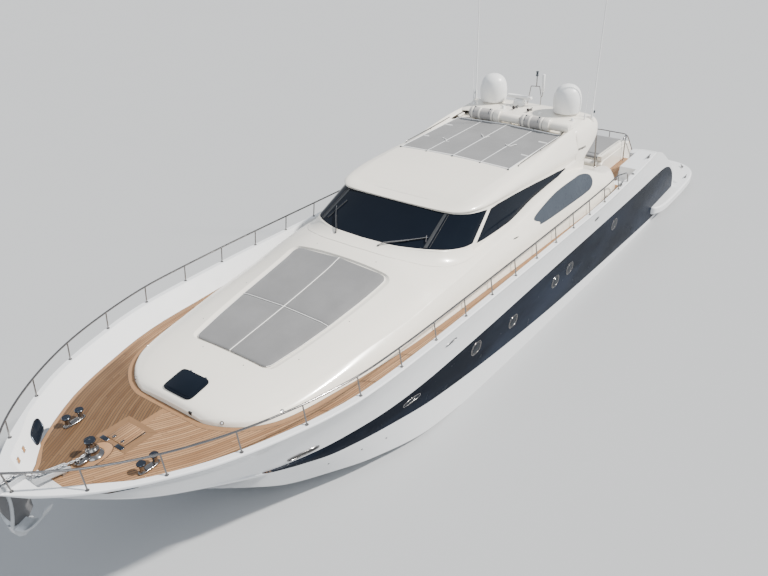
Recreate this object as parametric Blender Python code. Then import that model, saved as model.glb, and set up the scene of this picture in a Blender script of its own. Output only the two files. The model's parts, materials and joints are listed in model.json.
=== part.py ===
"""Open sport motor yacht of about 28 m, as separate named solids.

Metres. +X bow, +Y port, +Z up. The origin is on the centreline at the static waterline,
near amidships. Sections and outlines are read from short tables by a shape-keeping cubic.
"""
import math

import bmesh
import bpy
import numpy as np
from mathutils import Matrix, Vector

# Driving dimensions (m)
GAP = 0.0004            # between touching pieces
DECK_DROP = 0.42        # side deck below the bulwark cap
CAP_WIDTH = 0.15        # flat top of the bulwark
SOLE_Z = 1.95           # saloon and cockpit floor
PLATFORM_TOP = 0.62
PLATFORM_BOTTOM = 0.34
HOUSE_WALL = 0.06
RAIL_HEIGHT = 0.52
RAIL_RADIUS = 0.021
POST_RADIUS = 0.016
PROP_X, PROP_Y, PROP_Z = -10.30, 1.05, -1.50
PROP_RADIUS = 0.50
SHAFT_RADIUS = 0.045
STOCK_RADIUS = 0.060
RUNNING = 0.0007        # radial play of a shaft in its bearing
SHAFT_TILT = math.radians(9.0)
RUDDER_X = -11.25
WHIP_LENGTH = 7.2
HATCH = (9.36, 9.96, 0.40)          # foredeck hatch: aft edge, forward edge, half-breadth
FLOOR_HATCH = (-6.75, -5.95, 0.45)  # engine hatch in the cockpit floor, the same way
SLOT_Y = 1.42                       # half-breadth of the garage's slot between the stern steps
GARAGE_FRONT = -7.80
DOME_X, DOME_Y, DOME_Z = -4.76, 1.27, 5.034   # centre and foot of each satellite dome
RADAR = (-4.75, -0.33, 5.039)                 # foot of the radar pedestal
WHIP_FOOT = (-4.94, 2.02, 4.925)
SHORT_FOOT = (-4.62, 1.92, 4.955)
GARAGE_FOOT = -11.21                # aft face at the platform's level
GARAGE_TOP = 2.48
GARAGE_HINGE_Z = 2.24
ROLLER_Z = 3.4655
STRUT_SECTION = ((0.16, 0.0), (0.08, 0.024), (-0.06, 0.026), (-0.16, 0.0), (-0.06, -0.026), (0.08, -0.024))

# Hull sections: keel, chine, lower and upper edge of the dark band, bulwark cap
HULL_COLUMNS = ("x", "keel_z", "chine_y", "chine_z", "low_y", "low_z", "up_y", "up_z", "cap_y", "cap_z")
HULL = (
    (-12.30, -1.05, 2.76, -0.42, 2.88, 0.10, 2.90, 1.84, 2.93, 3.02),
    (-9.50, -1.14, 2.82, -0.40, 2.95, 0.14, 2.98, 1.89, 3.04, 3.01),
    (-7.00, -1.22, 2.84, -0.36, 2.98, 0.27, 3.04, 1.95, 3.17, 2.94),
    (-4.00, -1.30, 2.84, -0.30, 2.99, 0.42, 3.07, 2.00, 3.27, 2.92),
    (-1.00, -1.36, 2.82, -0.20, 2.98, 0.58, 3.08, 2.03, 3.31, 3.00),
    (2.00, -1.38, 2.78, -0.10, 2.96, 0.82, 3.07, 2.02, 3.33, 3.085),
    (5.00, -1.25, 2.66, 0.08, 2.88, 1.12, 3.00, 1.97, 3.34, 3.17),
    (6.80, -0.95, 2.32, 0.33, 2.67, 1.32, 2.80, 1.88, 3.31, 3.215),
    (8.00, -0.55, 1.95, 0.58, 2.42, 1.40, 2.55, 1.87, 3.24, 3.25),
    (8.90, -0.08, 1.62, 0.80, 2.24, 1.68, 2.30, 1.90, 3.09, 3.28),
    (9.60, 0.42, 1.30, 1.10, 2.02, 1.84, 2.05, 1.95, 2.89, 3.30),
    (10.30, 0.95, 0.98, 1.46, 1.62, 1.92, 1.68, 2.04, 2.66, 3.33),
    (11.00, 1.47, 0.62, 1.80, 1.20, 2.04, 1.30, 2.15, 2.37, 3.355),
    (11.70, 1.97, 0.32, 2.13, 0.85, 2.27, 0.95, 2.36, 1.96, 3.38),
    (12.30, 2.42, 0.14, 2.50, 0.52, 2.56, 0.62, 2.63, 1.53, 3.40),
    (12.80, 2.80, 0.09, 2.84, 0.30, 2.88, 0.42, 2.94, 1.10, 3.43),
    (13.20, 3.10, 0.06, 3.12, 0.14, 3.17, 0.25, 3.24, 0.65, 3.455),
    (13.50, 3.33, 0.03, 3.34, 0.05, 3.35, 0.09, 3.37, 0.21, 3.462),
    (13.60, 3.41, 0.01, 3.415, 0.02, 3.42, 0.03, 3.43, 0.05, 3.465),
)
HULL_X = (-12.3, -11.6, -10.8, -10.0, -9.15, -8.0, -7.0, -5.5, -4.0, -2.5, -1.0, 0.5, 2.0, 3.5, 5.0, 5.9,
          6.8, 7.4, 8.0, 8.45, 8.9, 9.25, 9.6, 9.95, 10.3, 10.65, 11.0, 11.35, 11.7, 12.0, 12.3,
          12.55, 12.8, 13.0, 13.2, 13.35, 13.45, 13.54, 13.6)

DECK_X = (-6.6, -4.0, -1.0, 2.0, 5.3, 7.0, 7.8, 8.7, 9.6, 10.1, 10.8, 11.5, 12.1, 12.6, 12.95, 13.12)

# Side view of the stern quarter: top of the wing running down to the swim platform
WING_COLUMNS = ("x", "z")
WING = ((-8.0, 3.03), (-8.4, 2.96), (-8.8, 2.84), (-9.3, 2.65), (-9.8, 2.38), (-10.4, 2.01),
        (-10.9, 1.66), (-11.25, 1.36), (-11.45, 1.10), (-11.56, 0.80), (-11.60, 0.34))

# Trunk and side mouldings: half-breadth at the deck, shoulder and height on the centreline
TRUNK_COLUMNS = ("x", "base_y", "side_y", "shoulder_y", "shoulder_z", "crown_z")
TRUNK = (
    (-6.15, 2.45, 2.38, 2.20, 3.02, 3.06),
    (-5.75, 2.72, 2.66, 2.46, 3.10, 3.16),
    (-5.20, 2.78, 2.74, 2.52, 3.20, 3.28),
    (-4.00, 2.79, 2.74, 2.46, 3.62, 3.70),
    (-2.60, 2.77, 2.71, 2.40, 3.86, 3.95),
    (-1.00, 2.74, 2.68, 2.38, 3.82, 3.92),
    (0.50, 2.72, 2.66, 2.38, 3.66, 3.80),
    (2.00, 2.69, 2.63, 2.42, 3.56, 3.84),
    (3.30, 2.67, 2.61, 2.46, 3.48, 3.98),
    (4.20, 2.65, 2.59, 2.42, 3.42, 3.98),
    (5.30, 2.61, 2.54, 2.34, 3.30, 3.76),
    (7.00, 2.45, 2.37, 2.14, 3.22, 3.50),
    (7.80, 2.33, 2.26, 2.02, 3.17, 3.40),
    (8.70, 2.18, 2.11, 1.88, 3.12, 3.29),
    (9.20, 2.02, 1.96, 1.74, 3.10, 3.24),
    (9.60, 1.75, 1.70, 1.50, 3.08, 3.19),
    (9.90, 1.38, 1.34, 1.20, 3.06, 3.14),
    (10.04, 1.10, 1.07, 0.98, 3.02, 3.09),
    (10.10, 0.90, 0.88, 0.82, 2.98, 3.02),
)

TRUNK_X = (-6.15, -5.95, -5.75, -5.2, -4.6, -4.0, -3.3, -2.6, -1.8, -1.0, 0.5, 1.3, 2.0, 2.7, 3.3, 3.8, 4.2, 4.75, 5.3,
           6.2, 7.0, 7.8, 8.3, 8.7, 9.2, 9.4, 9.6, 9.75, 9.9, 9.98, 10.04, 10.10)

# Window band of the deckhouse, port half from the centreline aft: sill and head of the glass
BAND_COLUMNS = ("sill_x", "sill_y", "sill_z", "head_x", "head_y", "head_z")
BAND = (
    (3.98, 0.00, 4.03, 2.54, 0.00, 4.54),
    (3.92, 0.80, 4.02, 2.52, 0.78, 4.53),
    (3.58, 1.60, 3.97, 2.42, 1.50, 4.49),
    (3.20, 2.00, 3.88, 2.10, 1.90, 4.45),
    (2.62, 2.20, 3.76, 1.52, 2.07, 4.41),
    (1.90, 2.24, 3.69, 1.00, 2.11, 4.38),
    (0.60, 2.25, 3.66, 0.20, 2.12, 4.33),
    (-1.00, 2.22, 3.73, -1.10, 2.12, 4.21),
    (-2.40, 2.18, 3.85, -2.40, 2.11, 4.07),
    (-3.40, 2.15, 3.92, -3.40, 2.11, 4.00),
    (-4.40, 2.13, 3.95, -4.40, 2.11, 4.02),
)
BAND_STEPS = 30
# Roof above the band: how far each ring lies in from the head line, and its height
ROOF_LEVEL = 4.76
ROOF_CAMBER = 0.05
ROOF_RINGS = ((-0.05, 0.10), (-0.02, 0.20), (0.10, 0.30), (0.35, 0.36))

STANCHION_FEET = (13.42, 12.68, 11.69, 10.56, 9.34, 8.09, 6.85, 5.62, 4.41, 3.22, 2.05,
                  0.90, -0.24, -1.37, -2.50, -3.63, -4.77)

COLOURS = {  # red, green, blue, roughness, metallic
    "hull_white": (0.80, 0.81, 0.82, 0.25, 0.0),
    "cream": (0.86, 0.83, 0.76, 0.30, 0.0),
    "teak": (0.52, 0.34, 0.19, 0.65, 0.0),
    "glass": (0.02, 0.025, 0.035, 0.05, 0.0),
    "slate": (0.13, 0.15, 0.18, 0.15, 0.0),
    "pad": (0.45, 0.45, 0.45, 0.85, 0.0),
    "steel": (0.70, 0.71, 0.72, 0.15, 1.0),
    "bronze": (0.55, 0.40, 0.20, 0.30, 1.0),
    "black": (0.03, 0.03, 0.035, 0.45, 0.0),
    "white": (0.88, 0.88, 0.87, 0.30, 0.0),
    "engine": (0.35, 0.36, 0.38, 0.50, 0.6),
    "leather": (0.72, 0.68, 0.60, 0.55, 0.0),
    "antifoul": (0.04, 0.05, 0.09, 0.60, 0.0),
}


def start_empty():
    for ob in list(bpy.data.objects):
        bpy.data.objects.remove(ob, do_unlink=True)


def material(key):
    mat = bpy.data.materials.get(key)
    if mat is None:
        r, g, b, rough, metal = COLOURS[key]
        mat = bpy.data.materials.new(key)
        mat.use_nodes = True
        node = mat.node_tree.nodes["Principled BSDF"]
        node.inputs["Base Color"].default_value = (r, g, b, 1.0)
        node.inputs["Roughness"].default_value = rough
        node.inputs["Metallic"].default_value = metal
        mat.diffuse_color = (r, g, b, 1.0)
    return mat


class Curve:
    """Columns of a table against its first column, by a monotone cubic."""

    def __init__(self, rows):
        a = np.array(sorted(rows), dtype=float)
        self.x, self.y = a[:, 0], a[:, 1:]
        h = np.diff(self.x)[:, None]
        d = np.diff(self.y, axis=0) / h
        m = np.zeros_like(self.y)
        m[0], m[-1] = d[0], d[-1]
        for i in range(1, len(self.x) - 1):
            w1, w2 = 2 * h[i] + h[i - 1], h[i] + 2 * h[i - 1]
            same = d[i - 1] * d[i] > 0
            safe = np.where(same, d[i - 1] * d[i], 1.0)
            m[i] = np.where(same, (w1 + w2) * safe / (w1 * d[i] + w2 * d[i - 1] + (~same)), 0.0)
        self.m = m

    def __call__(self, x):
        i = int(np.clip(np.searchsorted(self.x, x) - 1, 0, len(self.x) - 2))
        h = self.x[i + 1] - self.x[i]
        t = min(max((x - self.x[i]) / h, 0.0), 1.0)
        a, b = self.y[i], self.y[i + 1]
        ma, mb = self.m[i] * h, self.m[i + 1] * h
        return ((2 * t**3 - 3 * t**2 + 1) * a + (t**3 - 2 * t**2 + t) * ma
                + (3 * t**2 - 2 * t**3) * b + (t**3 - t**2) * mb)


hull_at = Curve(HULL)
trunk_at = Curve(TRUNK)


def cap(x):
    """Half-breadth and height of the bulwark cap's outer edge."""
    y, z = (np.interp(x, HULL_X, [hull_at(h)[k] for h in HULL_X]) for k in (7, 8))
    return float(y), float(z)


def deck_z(x):
    """Deck height: level across, straight between the deck's stations."""
    return float(np.interp(x, DECK_X, [cap(d)[1] - DECK_DROP for d in DECK_X]))


def deck_edge(x):
    """Half-breadth of the deck at the foot of the bulwark."""
    y, _ = cap(x)
    return max(y - (0.47 if x > 7 else 0.47 - 0.15 * min((7 - x) / 4, 1)), 0.0)


def new_object(name, verts, faces, colour, smooth=35):
    mesh = bpy.data.meshes.new(name)
    mesh.from_pydata([tuple(v) for v in verts], [], faces)
    mesh.validate()
    bm = bmesh.new()
    bm.from_mesh(mesh)
    bmesh.ops.remove_doubles(bm, verts=bm.verts, dist=1e-6)
    bmesh.ops.recalc_face_normals(bm, faces=bm.faces)
    if bm.calc_volume(signed=True) < 0:
        bmesh.ops.reverse_faces(bm, faces=bm.faces)
    bm.to_mesh(mesh)
    bm.free()
    ob = bpy.data.objects.new(name, mesh)
    bpy.context.scene.collection.objects.link(ob)
    mesh.materials.append(material(colour))
    if smooth:
        mesh.shade_smooth()
        mesh.set_sharp_from_angle(angle=math.radians(smooth))
    return ob


def loft(name, rings, colour, smooth=35, closed=False):
    """Skin over equal rings of points; ends are capped unless the rings run round in a loop."""
    n = len(rings[0])
    verts = [p for r in rings for p in r]
    faces = []
    count = len(rings)
    for i in range(count if closed else count - 1):
        j = (i + 1) % count
        for k in range(n):
            l = (k + 1) % n
            faces.append((i * n + k, i * n + l, j * n + l, j * n + k))
    if not closed:
        faces.append(tuple(range(n)))
        faces.append(tuple(range((count - 1) * n, count * n)))
    return new_object(name, verts, faces, colour, smooth)


def box(name, x0, x1, y0, y1, z0, z1, colour="white", bevel=0.0, segments=2):
    v = [(x, y, z) for x in (x0, x1) for y in (y0, y1) for z in (z0, z1)]
    f = [(0, 1, 3, 2), (4, 6, 7, 5), (0, 4, 5, 1), (2, 3, 7, 6), (0, 2, 6, 4), (1, 5, 7, 3)]
    ob = new_object(name, v, f, colour)
    if bevel:
        round_edges(ob, bevel, segments)
    return ob


def round_edges(ob, width, segments=2, angle=40):
    mod = ob.modifiers.new("round", "BEVEL")
    mod.width = width
    mod.segments = segments
    mod.limit_method = "ANGLE"
    mod.angle_limit = math.radians(angle)
    bake(ob)


def prism(name, outline, z0, z1, colour="white", bevel=0.0, segments=2):
    """Upright block over a plan outline."""
    n = len(outline)
    verts = [(x, y, z0) for x, y in outline] + [(x, y, z1) for x, y in outline]
    faces = [tuple(range(n))[::-1], tuple(range(n, 2 * n))]
    faces += [(i, (i + 1) % n, n + (i + 1) % n, n + i) for i in range(n)]
    ob = new_object(name, verts, faces, colour)
    if bevel:
        round_edges(ob, bevel, segments)
    return ob


def side_prism(name, outline, y0, y1, colour="white", bevel=0.0, segments=2):
    """Block over an outline in side view, from y0 to y1."""
    n = len(outline)
    verts = [(x, y0, z) for x, z in outline] + [(x, y1, z) for x, z in outline]
    faces = [tuple(range(n))[::-1], tuple(range(n, 2 * n))]
    faces += [(i, (i + 1) % n, n + (i + 1) % n, n + i) for i in range(n)]
    ob = new_object(name, verts, faces, colour)
    if bevel:
        round_edges(ob, bevel, segments)
    return ob


def lathe(name, profile, colour, sides=24, smooth=35):
    """Turn a profile of (radius, z) about Z. It starts and ends on the axis."""
    verts = [(0, 0, profile[0][1])]
    inner = profile[1:-1]
    for r, z in inner:
        for k in range(sides):
            a = 2 * math.pi * k / sides
            verts.append((r * math.cos(a), r * math.sin(a), z))
    verts.append((0, 0, profile[-1][1]))
    last = len(verts) - 1
    faces = [(0, 1 + (k + 1) % sides, 1 + k) for k in range(sides)]
    for i in range(len(inner) - 1):
        for k in range(sides):
            a, b = 1 + i * sides + k, 1 + i * sides + (k + 1) % sides
            faces.append((a, b, b + sides, a + sides))
    base = 1 + (len(inner) - 1) * sides
    faces += [(base + k, base + (k + 1) % sides, last) for k in range(sides)]
    return new_object(name, verts, faces, colour, smooth)


def rod(name, points, radius, colour, sides=8, radii=None, loop=False):
    """Round bar along a run of points."""
    pts = [Vector(p) for p in points]
    n = len(pts)
    rings = []
    normal = None
    for i, p in enumerate(pts):
        if loop:
            d = pts[(i + 1) % n] - pts[i - 1]
        else:
            d = pts[min(i + 1, n - 1)] - pts[max(i - 1, 0)]
        d.normalize()
        if normal is None:
            normal = d.orthogonal().normalized()
        normal = (normal - d * normal.dot(d)).normalized()
        side = d.cross(normal)
        r = radii[i] if radii else radius
        rings.append([p + (normal * math.cos(a) + side * math.sin(a)) * r
                      for a in (2 * math.pi * k / sides for k in range(sides))])
    return loft(name, rings, colour, smooth=50, closed=loop)


def bake(ob):
    """Replace the mesh by what its modifiers make of it."""
    bpy.context.view_layer.update()
    graph = bpy.context.evaluated_depsgraph_get()
    mesh = bpy.data.meshes.new_from_object(ob.evaluated_get(graph))
    old = ob.data
    ob.modifiers.clear()
    ob.data = mesh
    mesh.name = ob.name
    if old.users == 0:
        bpy.data.meshes.remove(old)


def combine(ob, other, operation, keep=False):
    mod = ob.modifiers.new("cut", "BOOLEAN")
    mod.operation = operation
    mod.solver = "EXACT"
    mod.object = other
    bake(ob)
    if not keep:
        bpy.data.objects.remove(other, do_unlink=True)
    return ob


def cut(ob, other, keep=False):
    return combine(ob, other, "DIFFERENCE", keep)


def fuse(ob, other):
    return combine(ob, other, "UNION")


def joined(name, obs, colour):
    """One mesh from pieces that don't touch, used as an operand."""
    bm = bmesh.new()
    for ob in obs:
        tmp = ob.data.copy()
        tmp.transform(ob.matrix_world)
        bm.from_mesh(tmp)
        bpy.data.meshes.remove(tmp)
        bpy.data.objects.remove(ob, do_unlink=True)
    mesh = bpy.data.meshes.new(name)
    bm.to_mesh(mesh)
    bm.free()
    out = bpy.data.objects.new(name, mesh)
    bpy.context.scene.collection.objects.link(out)
    mesh.materials.append(material(colour))
    return out


def pivot(ob, point, rotation=None):
    """Put the object's origin on its joint axis without moving its shape."""
    m = Matrix.Translation(Vector(point))
    if rotation is not None:
        m = m @ rotation
    ob.data.transform(m.inverted())
    ob.matrix_world = m
    return ob


def mirrored(points):
    return [(x, -y, z) for x, y, z in points]


# Hull

def hull_ring(x):
    kz, cy, cz, ly, lz, uy, uz, sy, sz = hull_at(x)
    mid_y = 0.5 * (uy + sy) - 0.06 * (sy - uy)
    mid_z = 0.5 * (uz + sz)
    lip = min(0.05, 0.3 * (ly - cy) + 0.005)
    half = [(cy * 0.5, kz + (cz - kz) * 0.46), (cy, cz), (cy + lip, cz + 0.015), (ly, lz), (uy, uz),
            (mid_y, mid_z), (sy - 0.02, sz - 0.07), (sy, sz - 0.03), (sy - 0.02, sz)]
    port = [(x, y, z) for y, z in half]
    stbd = [(x, -y, z) for y, z in reversed(half)]
    return [(x, 0.0, kz)] + port + [(x, 0.0, sz)] + stbd


def deck_cutter():
    """The sunken deck inside the bulwarks."""
    rings = []
    for x in DECK_X:
        cy, cz = cap(x)
        foot = deck_edge(x)
        top = max(cy - CAP_WIDTH, 0.1)
        if x > 12.3:
            foot = {12.6: 0.66, 12.95: 0.36, 13.12: 0.14}[x]
            top = {12.6: 1.00, 12.95: 0.66, 13.12: 0.42}[x]
        z = cz - DECK_DROP
        slope = (top - foot) / DECK_DROP
        high = top + slope * 0.5
        rings.append([(x, -foot, z), (x, foot, z), (x, high, cz + 0.5), (x, -high, cz + 0.5)])
    return loft("deck_cutter", rings, "teak", smooth=0)


def make_hull():
    hull = loft("hull", [hull_ring(x) for x in HULL_X], "hull_white")
    cut(hull, deck_cutter())
    # quarter wings and everything above the platform aft
    top = [(x, z) for x, z in WING] + [(-16.0, 0.34 - GAP), (-16.0, 5.0), (-8.0, 5.0)]
    top = [(x, z if z > 0.35 else PLATFORM_BOTTOM - GAP) for x, z in top]
    cut(hull, side_prism("wing_cutter", top, -5, 5))
    # cockpit, saloon pit, side walkways, centre slot for the garage
    cut(hull, box("c1", -10.2, -6.3, -2.5, 2.5, SOLE_Z, 5.0, bevel=0.0))
    cut(hull, box("c2", -6.4, 3.1, -2.0, 2.0, SOLE_Z, 5.0))
    cut(hull, box("c3", -12.0, GARAGE_FRONT, -SLOT_Y, SLOT_Y, PLATFORM_BOTTOM - GAP, 5.0))
    # stern steps, six treads a side
    n = 6
    for side in (-1, 1):
        for i in range(n):
            x1 = -10.0 - i * 0.24
            z = SOLE_Z - (i + 1) * (SOLE_Z - PLATFORM_TOP) / (n + 0.0)
            y0, y1 = sorted((side * 1.40, side * 2.5))
            cut(hull, box("step", -13.0, x1, y0, y1, max(z, PLATFORM_BOTTOM - GAP), 5.0))
    # engine room with its hatch in the cockpit floor
    cut(hull, box("engine_room", -7.5, -4.2, -2.1, 2.1, -0.45, 1.80))
    cut(hull, box("hatchway", FLOOR_HATCH[0], FLOOR_HATCH[1], -FLOOR_HATCH[2], FLOOR_HATCH[2], 1.7, 2.2))
    # shaft brackets and stern tubes
    for side in (-1, 1):
        y = side * PROP_Y
        boss = rod("boss", [shaft_point(side, 0.34), shaft_point(side, 0.60)], 0.10, "bronze", 16)
        p = shaft_point(side, 0.47)
        leg = [[(p[0] + dx, y + dy, p[2] + 0.06) for dx, dy in STRUT_SECTION],
               [(p[0] + dx + 0.12, y + dy, p[2] + 0.95) for dx, dy in STRUT_SECTION]]
        strut = loft("strut", leg, "bronze")
        fuse(boss, strut)
        tube = rod("tube", [shaft_point(side, 2.7), shaft_point(side, 4.6)], 0.13, "bronze", 16)
        fuse(hull, boss)
        fuse(hull, tube)
        bore = rod("bore", [shaft_point(side, 0.2), shaft_point(side, 3.4)],
                   SHAFT_RADIUS + RUNNING, "bronze", 24)
        cut(hull, bore)
        # rudder trunk
        stock = rod("stock_bore", [(RUDDER_X, y, -1.2), (RUDDER_X, y, -0.45)], STOCK_RADIUS + RUNNING, "bronze", 24)
        cut(hull, stock)
    return hull


def shaft_axis():
    return Vector((math.cos(SHAFT_TILT), 0, math.sin(SHAFT_TILT)))


def shaft_point(side, s):
    """Point on the propeller shaft, s metres forward of the propeller's centre."""
    a = shaft_axis()
    return (PROP_X + a.x * s, side * PROP_Y, PROP_Z + a.z * s)


def make_propeller(name, side):
    hub = lathe(name, ((0, -0.26), (0.03, -0.24), (0.075, -0.14), (0.095, 0.0), (0.095, 0.16), (0.06, 0.28),
                       (SHAFT_RADIUS, 0.29), (SHAFT_RADIUS, 3.35), (0, 3.35)), "bronze", 24)
    blades = []
    for k in range(5):
        rings = []
        for r, chord, angle, rake in ((0.07, 0.20, 58, 0.0), (0.20, 0.30, 42, 0.0), (0.33, 0.34, 30, 0.01),
                                      (0.43, 0.28, 24, 0.02), (0.495, 0.12, 21, 0.03)):
            a = -math.radians(angle)
            thick = 0.018 * (1 - r) + 0.004
            ring = []
            for c, t in ((-0.5, 0), (-0.2, 1), (0.2, 1), (0.5, 0), (0.2, -1), (-0.2, -1)):
                u, w = c * chord, t * thick / 2
                tang = u * math.cos(a) - w * math.sin(a)
                axial = u * math.sin(a) + w * math.cos(a)
                ring.append((r, tang, axial + 0.07 - rake))
            rings.append(ring)
        b = loft("blade", rings, "bronze")
        b.data.transform(Matrix.Rotation(2 * math.pi * k / 5 + 0.11, 4, "Z"))
        blades.append(b)
    for b in blades:
        fuse(hub, b)
    if side > 0:
        # opposite hand
        hub.data.transform(Matrix.Scale(-1, 4, Vector((0, 1, 0))))
        hub.data.flip_normals()
    turn = Matrix.Rotation(math.pi / 2 - SHAFT_TILT, 4, "Y")
    hub.matrix_world = Matrix.Translation(Vector((PROP_X, side * PROP_Y, PROP_Z))) @ turn
    return hub


def make_rudder(name, side):
    y = side * PROP_Y
    rings = []
    for z, front, back, thick in ((-1.98, 0.16, -0.42, 0.05), (-1.85, 0.22, -0.50, 0.07), (-0.98, 0.26, -0.62, 0.11)):
        rings.append([(RUDDER_X + front, y, z), (RUDDER_X + 0.10, y + thick / 2, z),
                      (RUDDER_X - 0.12, y + thick / 2, z), (RUDDER_X + back, y + 0.006, z),
                      (RUDDER_X + back, y - 0.006, z), (RUDDER_X - 0.12, y - thick / 2, z),
                      (RUDDER_X + 0.10, y - thick / 2, z)])
    blade = loft(name, rings, "antifoul")
    stock = rod("stock", [(RUDDER_X, y, -1.3), (RUDDER_X, y, -0.50)], STOCK_RADIUS, "steel", 24)
    fuse(blade, stock)
    return pivot(blade, (RUDDER_X, y, -0.98))


def make_platform():
    half = [(-11.62, 0.0), (-14.22, 0.0), (-14.22, 1.70), (-14.16, 2.25), (-13.98, 2.65), (-13.62, 2.98), (-13.15, 3.16),
            (-12.5, 3.25), (-11.4, 3.29), (-10.2, 3.29), (-9.55, 3.24), (-9.22, 3.12), (-9.12, 2.99)]
    inner = [(x, max(hull_at(x)[3], hull_at(x)[3] + (hull_at(x)[5] - hull_at(x)[3]) * 0.35) + 0.004)
             for x in (-9.5, -10.2, -10.9, -11.62)]
    inner[0] = (-9.12, inner[0][1])
    port = half[1:-1] + [(-9.12, 3.04)] + inner + [(-11.62, 1.45)]
    outline = [(x, y) for x, y in port] + [(x, -y) for x, y in reversed(port) if y > 0]
    platform = prism("swim_platform", outline, PLATFORM_BOTTOM, PLATFORM_TOP, "white", bevel=0.05, segments=2)
    y = SLOT_Y - GAP
    return fuse(platform, box("tongue", -11.90, GARAGE_FOOT - GAP, -y, y, PLATFORM_BOTTOM, PLATFORM_TOP))


def make_garage():
    """Moulding between the stern steps: sun bed above, tender garage inside, open aft."""
    low, front, y = PLATFORM_BOTTOM, GARAGE_FRONT - GAP, SLOT_Y - GAP
    side = [(front, low), (front, 2.36), (-8.0, GARAGE_TOP), (-10.35, GARAGE_TOP), (garage_face(2.36), 2.36),
            (GARAGE_FOOT, PLATFORM_TOP), (GARAGE_FOOT, low)]
    body = side_prism("garage_moulding", side, -y, y, "cream", bevel=0.04, segments=2)
    hollow = [(-8.1, 0.62), (-8.1, 2.28), (-10.50, 2.28), (-11.6, 2.28), (-11.6, 0.62)]
    cut(body, side_prism("garage_hollow", hollow, -1.15, 1.15))
    # hinge brackets of the door
    x = garage_face(GARAGE_HINGE_Z)
    for y0, y1 in ((-1.34, -1.28), (1.28, 1.34)):
        fuse(body, box("bracket", x - 0.06, x + 0.05, y0, y1, GARAGE_HINGE_Z - 0.04, GARAGE_HINGE_Z + 0.04))
    return body


def garage_face(z):
    """x of the moulding's slanting aft face at height z."""
    return GARAGE_FOOT + (z - PLATFORM_TOP) * 0.339


def make_garage_door():
    z0, z1 = 0.66, GARAGE_HINGE_Z
    pts = [(garage_face(z0) - 0.006, z0), (garage_face(z1) - 0.006, z1), (garage_face(z1) - 0.056, z1),
           (garage_face(z0) - 0.056, z0)]
    door = side_prism("garage_door", pts, -1.27, 1.27, "white", bevel=0.012, segments=1)
    x, z = garage_face(z1) - 0.031, z1 - 0.015
    fuse(door, rod("pin", [(x, -1.2794, z), (x, 1.2794, z)], 0.012, "steel", 12))
    return pivot(door, (x, 0, z))


# Teak

def make_teak():
    """Planked deck: foredeck and both side decks, one sheet round the trunk."""
    rings = []
    t0, t1 = 0.0006, 0.016
    for x in (-6.0,) + tuple(d for d in DECK_X if -6 < d < 12.7) + (12.8,):
        y = deck_edge(x) - 0.02
        if x > 12.3:
            y = {12.6: 0.64, 12.8: 0.46}[x]
        z = deck_z(x)
        rings.append([(x, -y, z + t0), (x, y, z + t0), (x, y, z + t1), (x, -y, z + t1)])
    teak = loft("teak_deck", rings, "teak", smooth=0)
    hole = prism("trunk_hole", trunk_outline(0.002, -6.8), 1.5, 4.0)
    cut(teak, hole)
    lid = box("lid_hole", 10.905, 11.405, -0.255, 0.255, 2.5, 3.6)
    cut(teak, lid)
    return teak


def trunk_outline(grow, aft=None):
    half = []
    for x in TRUNK_X:
        half.append((x + (grow if x > 9.9 else 0.0), trunk_at(x)[0] + grow))
    if aft is not None:
        half = [(aft, half[0][1])] + half
    return [(x, y) for x, y in half] + [(x, -y) for x, y in reversed(half)]


def make_trunk():
    """Coachroof and the side mouldings that run aft from it past the deckhouse."""
    rings = []
    for x in TRUNK_X:
        by, sy, hy, hz, cz = trunk_at(x)
        z = deck_z(x) + 0.0005
        knee = z + 0.55 * (hz - z)
        half = [(by, z), (sy, knee), (hy + 0.45 * (sy - hy), hz - 0.12 * (hz - z)), (hy, hz),
                (hy * 0.84, hz + 0.42 * (cz - hz)), (hy * 0.5, hz + 0.86 * (cz - hz))]
        rings.append([(x, y, zz) for y, zz in half] + [(x, 0.0, cz)] + [(x, -y, zz) for y, zz in reversed(half)])
    trunk = loft("coachroof", rings, "cream")
    # the house stands through it
    cut(trunk, prism("house_hole", house_outline(GAP, -8.0), 1.0, 6.0))
    # recess for the sun bed, hatch opening, pockets of the lower side windows
    cut(trunk, sunpad_block("sunpad_recess", 0.012, -0.045, 0.3, "pad"))
    cut(trunk, box("hatch_hole", HATCH[0] + 0.05, HATCH[1] - 0.05, -HATCH[2] + 0.05, HATCH[2] - 0.05, 2.95, 3.6))
    x0, x1, w = HATCH
    seat = [(x0 - 0.006, hatch_line(x0 - 0.006)), (x1 + 0.006, hatch_line(x1 + 0.006)), (x1 + 0.006, 3.6), (x0 - 0.006, 3.6)]
    cut(trunk, side_prism("hatch_seat", seat, -w - 0.006, w + 0.006))
    for side in (-1, 1):
        cut(trunk, lower_window("pocket", side, 0.0, -0.03, 0.3))
    return trunk


def crown(x, y):
    """Height of the coachroof's surface."""
    _, sy, hy, hz, cz = trunk_at(x)
    u = min(abs(y) / hy, 1.0)
    return float(np.interp(u, (0, 0.5, 0.84, 1.0), (cz, hz + 0.86 * (cz - hz), hz + 0.42 * (cz - hz), hz)))


SUNPAD = ((8.48, 1.06), (7.60, 1.20), (6.78, 1.29), (5.80, 1.36), (4.78, 1.41))


def sunpad_block(name, grow, low, high, colour):
    """Block following the coachroof under the sun bed, from low to high above its surface."""
    stations = list(SUNPAD)
    if grow:
        stations = [(SUNPAD[0][0] + grow, SUNPAD[0][1])] + stations + [(SUNPAD[-1][0] - grow, SUNPAD[-1][1])]
    rings = []
    for x, w in stations:
        ys = [w * f for f in (-1, -0.5, 0, 0.5, 1)]
        if grow:
            ys = [-w - grow] + ys + [w + grow]
        rings.append([(x, y, crown(x, y) + low) for y in ys] + [(x, y, crown(x, y) + high) for y in reversed(ys)])
    return loft(name, rings, colour, smooth=0)


def make_sunpad():
    pad = sunpad_block("foredeck_sunpad", 0.0, -0.0443, 0.055, "pad")
    return pad


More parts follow.
